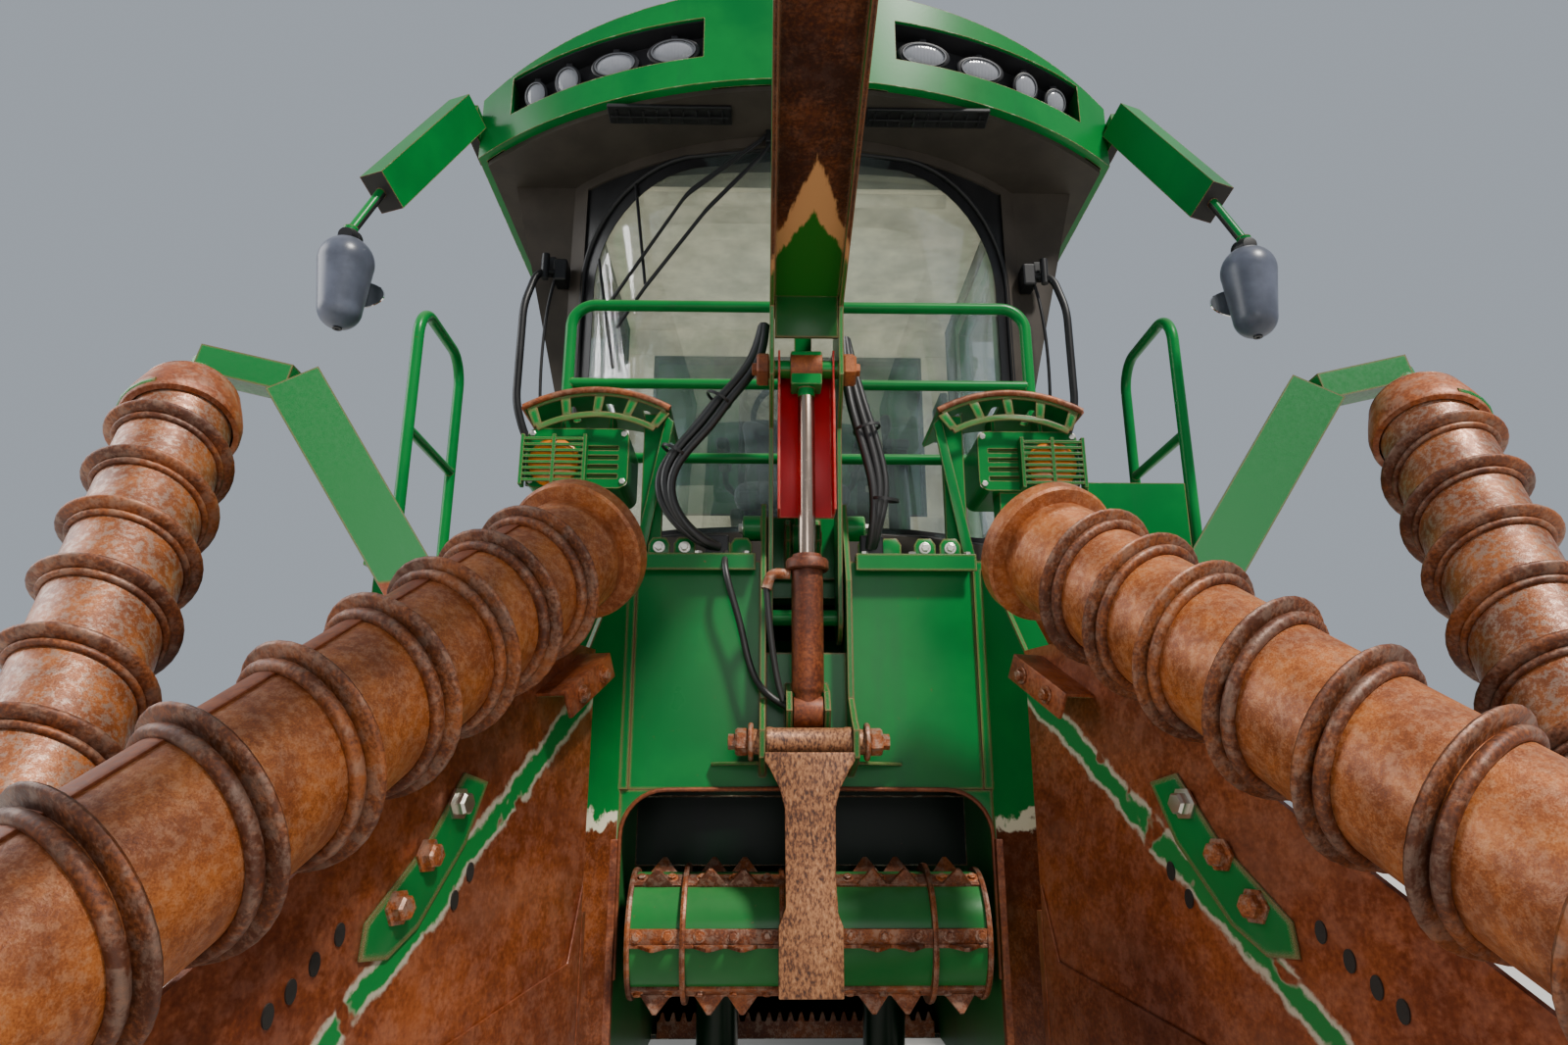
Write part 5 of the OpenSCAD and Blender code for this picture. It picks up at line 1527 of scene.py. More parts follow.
@dataclass
class CaneScroll:
    """One spiral scroll of a crop divider: tube with its collar, flight, weld bead, and seam strip if it has one."""

    name: str
    top: Triple
    foot: Triple
    tube_r: float = 0.125
    tip_r: float = 0.16
    pitch: float = 0.182
    close_pitch: float = 0.15
    close_turns: float = 3.0
    first_turn: float = 0.13
    collar_r: float = 0.16
    seam: bool = False
    seam_start: float = 0.3
    seam_short: float = 0.47
    half_round: bool = False
    finish: Finishes = Finishes.SCROLL

    def climb(self, turns: float, turn: float) -> float:
        """How far the flight has come down from the top after a number of turns.

        Args:
            turns: All its turns.
            turn: Turns counted from the foot.

        Returns:
            Distance from the top end.
        """
        down = turns - turn
        close = min(down, self.close_turns)
        return self.first_turn + close * self.close_pitch + (down - close) * self.pitch

    def warp(self, obj: Piece, length: float, turns: float) -> None:
        """Draws the turns of an even helix to their true pitch.

        Args:
            obj: The helix.
            length: Its length before.
            turns: Its turns.
        """
        even = length / turns
        for vertex in obj.data.vertices:
            turn = min(max(vertex.co.z / even, 0.0), turns)
            vertex.co.z += (self.span - self.climb(turns, turn)) - even * turn

    def build(self) -> list[Piece]:
        """Builds the scroll on the left side of the machine.

        Returns:
            Its pieces: tube, flight with weld bead, and the seam strip where it has one.
        """
        top, foot = at(*self.top), at(*self.foot)
        self.span = (top - foot).length
        span, r = self.span, self.tube_r
        matrix = aim_matrix(foot, top - foot, UP)
        tip, collar = self.tip_r, self.collar_r
        tube = Shop.lathe(f"{self.name}_tube", [
            (0.03, 0.0), (r - 0.012, 0.0), (r - 0.004, 0.006), (r, 0.018), (r, span * 0.25), (r, span * 0.5),
            (r, span * 0.75), (r, span - 0.1), (r + 0.002, span - 0.097), (r + 0.002, span - 0.085), (r, span - 0.082),
            (r, span - 0.055), (collar - 0.006, span - 0.052), (collar, span - 0.046), (collar, span - 0.012),
            (collar - 0.01, span - 0.002), (collar - 0.03, span), (0.03, span)], matrix, steps=72)
        turns = round((span - self.first_turn - 0.05 +
                       self.close_turns * (self.pitch - self.close_pitch)) / self.pitch, 2)
        length = turns * self.pitch
        if self.half_round:
            half = [(r - 0.003 + (tip - r) * sin(radians(a)), -0.014 * cos(radians(a)))
                    for a in range(0, 181, 20)]
            blade = Shop.screw(f"{self.name}_flight", half, length, turns)
        else:
            blade = Shop.screw(f"{self.name}_flight", [
                (r - 0.004, -0.007), (tip - 0.005, -0.006), (tip - 0.001, -0.003), (tip, 0.001), (tip - 0.004, 0.006),
                (r - 0.004, 0.007)], length, turns)
        self.warp(blade, length, turns)
        bead_r = 0.007 if self.half_round else 0.0115
        off = -0.02 if self.half_round else -0.025
        ring = [(r + bead_r * (0.62 + cos(radians(a))), off + bead_r * sin(radians(a)))
                for a in range(0, 360, 36)]
        bead = Shop.screw(f"{self.name}_bead", ring, length, turns)
        self.warp(bead, length, turns)
        flight = Shop.join(f"{self.name}_flight", [blade, bead])
        Shop.settle(flight, matrix)
        pieces = [tube, flight]
        if self.seam:
            rim = [(cos(radians(a)), sin(radians(a))) for a in range(-6, 27, 4)]
            outline = [(x * r * 0.99, y * r * 0.99) for x, y in rim]
            outline += [(x * (r + 0.004), y * (r + 0.004)) for x, y in reversed(rim)]
            start = matrix @ Matrix.Translation((0, 0, self.seam_start))
            pieces.append(Shop.plate(f"{self.name}_seam", outline, span - self.seam_short, start, 0.001))
        return pieces


@dataclass
class Scrolls:
    """The four scrolls of the two crop dividers."""

    inner: CaneScroll = field(default_factory=lambda: CaneScroll(
        "inner_scroll", (0.52, -0.45, 1.63), (1.2, -2.3, 0.33), seam=True))
    outer: CaneScroll = field(default_factory=lambda: CaneScroll(
        "outer_scroll", (1.47, -0.42, 2.0), (1.08, -1.43, 0.4), tube_r=0.105, tip_r=0.138,
        pitch=0.168, close_pitch=0.16, first_turn=0.17, collar_r=0.104, half_round=True, finish=Finishes.SCROLL_WORN))

    def build(self) -> None:
        """Builds each scroll on the left and mirrors it to the right."""
        for scroll in (self.inner, self.outer):
            for piece in scroll.build():
                stem = piece.name
                finish = {f"{scroll.name}_tube": scroll.finish, f"{scroll.name}_flight": Finishes.FLIGHT}.get(
                    stem, Finishes.SEAM)
                twin = Shop.mirrored(piece, f"{stem}_right")
                piece.name = f"{stem}_left"
                for side, part in ((Side.LEFT, piece), (Side.RIGHT, twin)):
                    if finish is Finishes.SEAM and side is Side.LEFT:
                        bpy.data.objects.remove(part, do_unlink=True)
                        continue
                    node = f"{scroll.name}_{side.value}"
                    fit(part, finish, node, body=node)


@dataclass
class KnockdownRoller:
    """The roller in the throat: drum, ring flanges, six toothed bars and their bolts."""

    axis: Pair = (0.05, 0.76)
    drum_r: float = 0.143
    tip_r: float = 0.193
    end_x: float = 0.438
    gap_x: float = 0.056
    ring_x: float = 0.3
    tooth_x: tuple[float, ...] = (0.158, 0.238, 0.368)
    bars: int = 6

    def across(self, x: float) -> Matrix:
        """Frame at x on the axis: z along +X, x axis up."""
        return cross_frame(x, *self.axis)

    def build(self) -> None:
        """Builds one half and mirrors it, then joins and dresses it."""
        r, e, g = self.drum_r, self.end_x, self.gap_x
        drum = Shop.lathe("roller_drum", [(0.035, 0.0), (r - 0.004, 0.0), (r, 0.004), (r, e - g - 0.004),
                                          (r - 0.004, e - g), (0.035, e - g)], self.across(g), steps=64)
        rings = [Shop.lathe(f"roller_ring_{i}", [(r - 0.006, -0.006), (r + h, -0.006), (r + h + 0.002, 0.0),
                                                 (r + h, 0.006), (r - 0.006, 0.006)], self.across(x), steps=64)
                 for i, (x, h) in enumerate(((g + 0.008, 0.008), (self.ring_x, 0.02), (e - 0.007, 0.01)))]
        bars, bolts = [], []
        edge = r + 0.006
        outline = [(g, r - 0.012), (e, r - 0.012), (e, edge)]
        for x in sorted(self.tooth_x, reverse=True):
            outline += [(x + 0.036, edge), (x + 0.005, self.tip_r - 0.002), (x - 0.005, self.tip_r - 0.002),
                        (x - 0.036, edge)]
        outline += [(g, edge)]
        for k in range(self.bars):
            angle = radians(-4 + k * 360 / self.bars)
            out = Vector((0, -cos(angle), sin(angle)))
            flat = TO_LEFT.cross(out)
            turn = Matrix((TO_LEFT, out, flat)).transposed().to_4x4()
            matrix = Matrix.Translation(at(0, *self.axis)) @ turn
            bars.append(Shop.plate(f"roller_bar_{k}", outline, 0.009, matrix, 0.0015))
            foot = rectangle(g, r - 0.006, e, r + 0.005)
            bars.append(Shop.plate(f"roller_foot_{k}", foot, 0.034, matrix @ Matrix.Translation((0, 0, -0.034)),
                                   0.002))
            for x in (0.1, 0.18, 0.26, 0.335, 0.41):
                bolts.append((at(x, *self.axis) + out * (r + 0.004) - flat * 0.018, out))
        nuts = Bolts("roller_bolts", 0.01).build(bolts)
        for stem, parts, finish in (("roller_drum", [drum], Finishes.ROLLER),
                                    ("roller_bars", rings + bars, Finishes.TOOTH),
                                    ("roller_bolts", [nuts], Finishes.NUT)):
            half = Shop.join(stem, parts)
            whole = Shop.join(stem, [half, Shop.mirrored(half, stem + "_half")])
            fit(whole, finish, "knockdown_roller", body="roller")


@dataclass
class Throat:
    """What is welded and bolted round the throat and its crossbar."""

    half_w: float = 0.474
    plate_low: float = 1.104
    corner: float = 0.114
    bar: Pair = (-0.15, 1.215)
    shelf_z: float = 1.705

    def arch(self) -> None:
        """Rounded corners of the throat, their weld bead, flanges, the bar's gussets and the floor's comb."""
        w, z, r = self.half_w, self.plate_low, self.corner
        curve = arc((w - r, z - r), r, 90, 0)
        fit_pair(Shop.plate("throat_corner", [(w, z)] + curve, 0.01, front_frame(0.002)), Finishes.THROAT)
        line = [(w - 0.003, 0.66)] + [(x - 0.003, h) for x, h in reversed(curve)] + [(0.0, z + 0.003)]
        path = [at(x, -0.011, h) for x, h in line]
        fit_pair(Shop.pipe("throat_bead", path, 0.0055, sides=2), Finishes.SEAM)
        fit_pair(Shop.block("throat_flange", (0.472, -0.034, 0.44), (0.5, -0.003, 0.985), 0.003), Finishes.BRACKET)
        fit_pair(Shop.plate("throat_gusset", [(0.123, -0.006), (0.245, -0.006), (0.245, -0.022), (0.15, -0.088),
                                              (0.123, -0.1)],
                            0.008, Matrix.Translation(at(0, 0, 1.163))), Finishes.THROAT)
        comb = [(-0.455, 0.335), (-0.455, 0.385)]
        for i in range(26):
            x = -0.455 + i * 0.035
            comb += [(x + 0.006, 0.385), (x + 0.014, 0.412), (x + 0.021, 0.412), (x + 0.029, 0.385)]
        comb += [(0.455, 0.385), (0.455, 0.335)]
        fit(Shop.plate("floor_comb", comb, 0.012, front_frame(0.948)), Finishes.TOOTH)

    def crossbar(self) -> None:
        """Collars and nuts on the crossbar that carries the roller's plate."""
        y, z = self.bar
        collar = Shop.lathe("crossbar_collar", [(0.0, -0.006), (0.043, -0.006), (0.046, -0.003), (0.046, 0.003),
                                                (0.043, 0.006), (0.0, 0.006)],
                            cross_frame(0.142, y, z))
        fit_pair(collar, Finishes.NUT)
        nut = Shop.lathe("crossbar_nut", [(0.0, 0.0), (0.03, 0.0), (0.033, 0.004), (0.033, 0.026), (0.029, 0.031),
                                          (0.019, 0.031),
                                          (0.019, 0.048), (0.0, 0.05)], cross_frame(0.149, y, z), steps=6, smooth=20)
        fit_pair(nut, Finishes.NUT)
        tube = Shop.rod("crossbar_tube", at(-0.15, y, z), at(0.15, y, z), 0.031, 40, 0.003)
        hub = Shop.lathe("crossbar_hub", [(0.0, -0.106), (0.033, -0.106), (0.036, -0.103), (0.036, -0.09),
                                          (0.034, -0.086), (0.034, 0.086),
                                          (0.036, 0.09), (0.036, 0.103), (0.033, 0.106), (0.0, 0.106)],
                                          cross_frame(0.0, y, z))
        arm = [(-0.108, 1.188), (-0.108, 1.168), (-0.096, 1.15), (-0.072, 1.105), (-0.06, 1.06), (-0.058, 0.84),
               (-0.074, 0.8), (-0.074, 0.648)]
        face = self.bar[0] - 0.035
        plate = Shop.plate("roller_plate", arm + [(-x, h) for x, h in reversed(arm)], 0.014, front_frame(face), 0.003)
        gusset = Shop.block("roller_plate_rib", (-0.045, face, 0.716), (0.045, 0.045, 0.804), 0.004)
        boss = Shop.rod("roller_boss", at(-0.045, 0.05, 0.76), at(0.045, 0.05, 0.76), 0.075, 48, 0.004)
        fit(Shop.join("roller_carrier", [tube, hub, plate, gusset, boss]), Finishes.SPECKLED, "roller_arm")
        slots = [Shop.block(f"carrier_slot_{i}", (x - 0.008, face - 0.009, h), (x + 0.008, face - 0.006, h + 0.03),
                            0.001)
                 for i, (x, h) in enumerate(((-0.052, 1.13), (0.052, 1.13), (-0.05, 0.742), (0.05, 0.742)))]
        fit(Shop.join("carrier_slots", slots), Finishes.BLACK)
        for name, height, depth, reach in (("low_pivot", 1.56, 0.06, 0.19), ("high_pivot", 1.822, 0.085, 0.172)):
            sleeve = Shop.lathe(f"{name}_sleeve", [(0.0, 0.0), (0.036, 0.0), (0.036, reach - 0.124),
                                                   (0.033, reach - 0.121), (0.0, reach - 0.121)],
                                cross_frame(0.1215, depth, height))
            fit_pair(sleeve, Finishes.GREEN)
            bolt = Bolts(f"{name}_bolt", 0.014).build([(at(reach, depth, height), TO_LEFT)])
            fit_pair(bolt, Finishes.ZINC)

    def shelf(self) -> None:
        """Lips, brackets and bolts on the shelf over the front plate."""
        z = self.shelf_z
        fit_pair(Shop.block("shelf_lip", (0.135, -0.04, z), (0.46, -0.004, z + 0.012), 0.002), Finishes.THROAT)
        fit_pair(Shop.block("shelf_drop", (0.135, -0.048, z - 0.035), (0.46, -0.04, z + 0.012), 0.002),
                 Finishes.THROAT)
        parts = [Shop.plate(f"hose_plate_{i}", [(x - 0.03, z + 0.01), (x + 0.03, z + 0.01), (x + 0.03, z + 0.05),
                                                (x + 0.018, z + 0.068), (x - 0.018, z + 0.068), (x - 0.03, z + 0.05)],
                            0.008, front_frame(0.012)) for i, x in enumerate((0.175, 0.235, 0.33, 0.4))]
        fit_pair(Shop.join("hose_plates", parts), Finishes.THROAT)
        bolts = Bolts("shelf_bolts", 0.011).build(
            [(at(x, 0.004, z + 0.04), TO_FRONT) for x in (0.33, 0.4)] +
            [(at(x, -0.022, z + 0.012), UP) for x in (0.16, 0.29, 0.44)])
        fit_pair(bolts, Finishes.ZINC)

    def build(self) -> None:
        """Builds all of it."""
        self.arch()
        self.crossbar()
        self.shelf()


@dataclass
class DividerFittings:
    """What is bolted to a crop divider: folded plate, bolts, slots, bracket and the outer scroll's cap."""

    rear: Pair = (0.52, -0.28)
    front: Pair = (1.215, -2.33)
    wall_t: float = 0.012

    def wall_frame(self) -> Matrix:
        """Frame on the wall's inner face: x forward along the wall, y up and z into the throat.

        Returns:
            The frame.
        """
        run = Vector((self.front[0] - self.rear[0], self.front[1] - self.rear[1], 0)).normalized()
        out = run.cross(UP)
        turn = Matrix((run, UP, out)).transposed().to_4x4()
        return Matrix.Translation(at(*self.rear, 0) + out * self.wall_t) @ turn

    def wall(self) -> None:
        """The folded lower plate, the worn backing plate with its bolts, and the row of slots."""
        frame_at = self.wall_frame()
        fold = [(0.01, 0.33), (2.05, 0.135), (2.05, 0.26), (1.2, 0.44), (0.46, 0.672), (0.06, 0.745), (0.01, 0.9)]
        fit_pair(Shop.plate("wall_fold", fold, 0.007, frame_at, 0.003), Finishes.FOLD, body="divider_*")
        backing = [(0.4, 1.11), (0.475, 1.125), (0.56, 1.01), (0.7, 0.89), (0.705, 0.835), (0.64, 0.83), (0.57, 0.87),
                   (0.455, 1.0)]
        fit_pair(Shop.plate("wall_backing", backing, 0.006, frame_at, 0.002), Finishes.WORN_GREEN, body="divider_*")
        big = Shop.lathe("wall_bolt", [(0.0, 0.0), (0.03, 0.0), (0.03, 0.005), (0.021, 0.006), (0.021, 0.019),
                                       (0.017, 0.024), (0.0, 0.026)],
                         Matrix.Identity(4), steps=6, smooth=20)
        studs = [Shop.copy(big, f"wall_stud_{i}", frame_at @ Matrix.Translation((u, v, 0.006)))
                 for i, (u, v) in enumerate(((0.565, 0.985), (0.63, 0.907)))]
        top = Shop.copy(big, "wall_top_bolt", frame_at @ Matrix.Translation((0.49, 1.07, 0.006)))
        bpy.data.objects.remove(big, do_unlink=True)
        fit_pair(Shop.join("wall_studs", studs), Finishes.NUT, body="divider_*")
        fit_pair(top, Finishes.ZINC, body="divider_*")
        slots = [Shop.plate(f"slot_{i}", [(x * 0.01, y * 0.017) for x, y in arc((0, 0), 1.0, 0, 345, 15)], 0.003,
                            frame_at @ Matrix.Translation((u, v, 0.0)), 0.0)
                 for i, (u, v) in enumerate(((0.75, 0.88), (0.795, 0.845), (0.835, 0.815), (0.872, 0.79),
                                             (0.47, 0.905), (0.43, 0.95)))]
        fit_pair(Shop.join("wall_slots", slots), Finishes.BLACK, body="divider_*")

    def bracket(self) -> None:
        """The angle bracket under the inner scroll's top, with its bolts."""
        along = Vector((0.28, -0.78, -0.5)).normalized()
        matrix = aim_matrix(at(0.53, -0.35, 1.4), along, UP)
        outline = [(0.0, -0.075), (0.0, 0.075), (-0.06, 0.075), (-0.06, 0.066), (-0.009, 0.066), (-0.009, -0.066),
                   (-0.06, -0.066), (-0.06, -0.075)]
        fit_pair(Shop.plate("scroll_bracket", outline, 0.21, matrix, 0.003), Finishes.BRACKET, body="divider_*")
        inside = Shop.plate("bracket_inside", [(-0.01, -0.064), (-0.01, 0.064), (-0.014, 0.064), (-0.014, -0.064)],
                            0.19, matrix @ Matrix.Translation((0, 0, 0.01)), 0.001)
        fit_pair(inside, Finishes.WORN_GREEN, body="divider_*")
        bolts = [(matrix @ Vector((-0.032, side * 0.076, u)), matrix.to_3x3() @ Vector((0, side, 0)))
                 for side in (-1, 1) for u in (0.05, 0.15)]
        fit_pair(Bolts("bracket_bolts", 0.013).build(bolts), Finishes.NUT, body="divider_*")

    def cap(self) -> None:
        """The domed cap over the outer scroll's top, its bolts and its green band."""
        top, foot = Vector((1.47, -0.42, 2.0)), Vector((1.08, -1.43, 0.4))
        along = (top - foot).normalized()
        matrix = aim_matrix(at(*top), along, UP)
        dome = Shop.lathe("scroll_cap", [(0.109, -0.135), (0.121, -0.133), (0.124, -0.128), (0.124, -0.1),
                                         (0.118, -0.07), (0.112, -0.045),
                                         (0.105, -0.018), (0.094, 0.004), (0.07, 0.016), (0.04, 0.02), (0.0, 0.021),
                                         (0.0, 0.008),
                                         (0.06, 0.005), (0.106, -0.03), (0.109, -0.06)], matrix, steps=48)
        fit_pair(dome, Finishes.CAP, body="divider_*")
        fit_pair(Bolts("cap_bolts", 0.013).build(
            [(matrix @ Vector((0.06 * cos(a), 0.06 * sin(a), 0.018)), along) for a in (0.4, 2.5, 4.6)]),
            Finishes.NUT, body="divider_*")
        hoop = [matrix @ Vector((x, y, -0.118)) for x, y in arc((0, 0), 0.117, 20, 146, 9)]
        fit_pair(Shop.pipe("scroll_band", hoop, 0.011, sides=3), Finishes.WORN_GREEN, body="divider_*")

    def build(self) -> None:
        """Builds all of it on the left and mirrors it."""
        self.wall()
        self.bracket()
        self.cap()


@dataclass
class BoomFittings:
    """Nuts, yoke, lock channel and apron at the knee, the lift cylinder's barrel and port, and the hoses."""

    eye: Pair = (-0.13, 2.215)
    foot: Pair = (-0.11, 1.29)
    gland: float = 0.391

    def knee(self) -> None:
        """Nuts on the knee pin, the rod's yoke and boss, the red lock channel and the boom's apron."""
        y, z = self.eye
        nut = Shop.lathe("knee_nut", [(0.026, 0.0), (0.046, 0.0), (0.048, 0.004), (0.048, 0.028), (0.043, 0.034),
                                      (0.02, 0.034),
                                      (0.018, 0.046), (0.0, 0.048), (0.0, 0.034)], cross_frame(0.1015, y, z), steps=6,
                                      smooth=20)
        fit_pair(nut, Finishes.BOSS, body="boom")
        # The rod's end: a yoke welded of plates, its rusted boss and the plated rod
        foot, eye = at(0, *self.foot), at(0, *self.eye)
        along = (eye - foot).normalized()
        frame_at = aim_matrix(eye, along, TO_FRONT)
        yoke = [Shop.block("yoke_body", (-0.042, y - 0.036, z - 0.058), (0.042, y + 0.036, z + 0.04), 0.004),
                Shop.rod("yoke_neck", eye - along * 0.095, eye - along * 0.04, 0.023, 32, 0.004)]
        fit(Shop.join("rod_yoke", yoke), Finishes.GREEN, "boom_rod", body="rod")
        boss = Shop.lathe("rod_boss", [(0.0335, -0.043), (0.0435, -0.043), (0.045, -0.041), (0.045, 0.041),
                                       (0.0435, 0.043), (0.0335, 0.043)],
                          cross_frame(0.0, y, z))
        fit(boss, Finishes.BOSS, "boom_rod", body="rod")
        fit(Shop.rod("rod_plated", foot + along * 0.142, eye - along * 0.08, 0.023, 48, 0.002), Finishes.CHROME,
            "boom_rod", body="rod")
        # Red lock: a channel behind the rod that drops over it for transport
        side, web, lip = 0.071, 0.06, -0.03
        outline = [(-side - 0.006, lip), (-side, lip), (-side, web), (side, web), (side, lip), (side + 0.006, lip),
                   (side + 0.006, web + 0.006), (-side - 0.006, web + 0.006)]
        turned = frame_at @ Matrix(((0, 1, 0), (-1, 0, 0), (0, 0, 1))).to_4x4()
        lock = Shop.plate("rod_lock", [(x, -v) for x, v in outline], 0.45, turned @ Matrix.Translation((0, 0, -0.405)),
                          0.0015)
        fit(lock, Finishes.RED, body="rod")
        # The apron's finish is green darkened as painted shade
        apron = Shop.plate("knee_apron", [(y - 0.046, z + 0.07), (y - 0.056, z + 0.07), (y - 0.072, z + 0.19),
                                          (y - 0.062, z + 0.19)],
                           0.173, side_frame(-0.0865), 0.002)
        fit(apron, Finishes.APRON, body="boom")

    def cylinder(self) -> None:
        """Barrel, gland ring, oil port and hose of the boom's lift cylinder."""
        foot, eye = at(0, *self.foot), at(0, *self.eye)
        along = (eye - foot).normalized()
        head = aim_matrix(foot + along * self.gland, along, TO_FRONT)
        lower = aim_matrix(foot, along, TO_FRONT)
        barrel = Shop.lathe("cylinder_barrel", [(0.0, -0.03), (0.024, -0.028), (0.031, -0.018), (0.033, 0.03),
                                                (0.035, 0.046), (0.04, 0.052),
                                                (0.041, 0.058), (0.041, self.gland - 0.026),
                                                (0.027, self.gland - 0.024), (0.0, self.gland - 0.024)],
                            lower, steps=48)
        eye = Shop.rod("cylinder_eye", at(-0.037, *self.foot), at(0.037, *self.foot), 0.04, 40, 0.003)
        fit(Shop.join("cylinder_barrel", [barrel, eye]), Finishes.BARREL, "boom_cylinder", body="cylinder")
        ring = Shop.lathe("cylinder_gland", [(0.027, -0.03), (0.053, -0.03), (0.056, -0.026), (0.056, -0.006),
                                             (0.052, 0.0), (0.04, 0.002),
                                             (0.038, 0.012), (0.027, 0.014)], head, steps=40)
        fit(ring, Finishes.BARREL, body="cylinder")
        port = at(-0.044, self.foot[0] - 0.015, 1.64)
        fit(Shop.pipe("cylinder_port", [port, port + Vector((-0.05, 0, 0.004)),
                                        port + Vector((-0.062, -0.004, -0.04))], 0.014, 0.02),
            Finishes.NUT, body="cylinder")
        cable = [port + Vector((-0.062, -0.004, -0.03)), at(-0.098, -0.125, 1.5), at(-0.085, -0.12, 1.38),
                 at(-0.062, -0.11, 1.318)]
        fit(Shop.pipe("cylinder_hose", cable, 0.0085, smooth=True), Finishes.HOSE, body="cylinder")

    def hoses(self) -> None:
        """The hose bundles from the shelf up to the boom, and the thin hose down to the cylinder's foot."""
        left = [(0.112, -0.03, 2.4), (0.116, -0.045, 2.3), (0.16, -0.06, 2.215), (0.215, -0.065, 2.15),
                (0.262, -0.065, 2.07),
                (0.335, -0.062, 1.995), (0.376, -0.06, 1.915), (0.352, -0.058, 1.815), (0.285, -0.045, 1.75),
                (0.235, -0.01, 1.742)]
        right = [(0.112, -0.03, 2.36), (0.114, -0.04, 2.26), (0.122, -0.055, 2.165), (0.146, -0.06, 2.067),
                 (0.178, -0.06, 1.95), (0.19, -0.06, 1.86), (0.182, -0.045, 1.78), (0.176, -0.01, 1.742)]
        bundles = ((Side.RIGHT, -1, left, ((0, 0), (0.026, 0.014), (0.05, -0.004), (0.012, 0.034))),
                   (Side.LEFT, 1, right, ((0, 0), (0.024, 0.01), (0.048, 0.0))))
        for side, s, path, offsets in bundles:
            parts = []
            for i, (dx, dz) in enumerate(offsets):
                points = []
                for k, (x, y, z) in enumerate(path):
                    part = k / (len(path) - 1)
                    wide = 0.25 + 0.75 * sin(pi * min(1.0, part * 1.15))
                    points.append(at(s * (x + dx * wide), y + 0.01 * i * wide, z + dz * wide))
                parts.append(Shop.pipe(f"boom_hose_{i}", points, 0.0125 if i < 2 else 0.0105, smooth=True))
            ties = []
            for k in (3, 5):
                x, y, z = path[min(k, len(path) - 2)]
                x2, y2, z2 = path[min(k, len(path) - 2) + 1]
                along = at(s * x2, y2, z2) - at(s * x, y, z)
                matrix = aim_matrix(at(s * (x + 0.026), y + 0.012, z + 0.008), along, TO_FRONT)
                ties.append(Shop.lathe(f"tie_{k}", rectangle(0.036, -0.004, 0.04, 0.004), matrix, steps=20))
            bundle = Shop.join(f"boom_hoses_{side.value}", parts + ties)
            Finishes.HOSE.on(bundle)
            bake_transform(bundle)
            log.info("%s bends between chassis and boom", bundle.name)
            x = path[-1][0] + 0.006
            grommet = Shop.block(f"hose_grommet_{side.value}", (min(s * (x - 0.032), s * (x + 0.032)), -0.012, 1.716),
                                 (max(s * (x - 0.032), s * (x + 0.032)), 0.004, 1.778), 0.005)
            fit(grommet, Finishes.BLACK)
        thin = [at(-0.215, -0.01, 1.725), at(-0.222, -0.07, 1.69), at(-0.202, -0.075, 1.61), at(-0.169, -0.062, 1.514),
                at(-0.15, -0.06, 1.4), at(-0.11, -0.07, 1.335), at(-0.05, -0.085, 1.305)]
        fit(Shop.pipe("thin_hose", thin, 0.009, smooth=True), Finishes.HOSE)

    def build(self) -> None:
        """Builds all of it."""
        self.knee()
        self.cylinder()
        self.hoses()


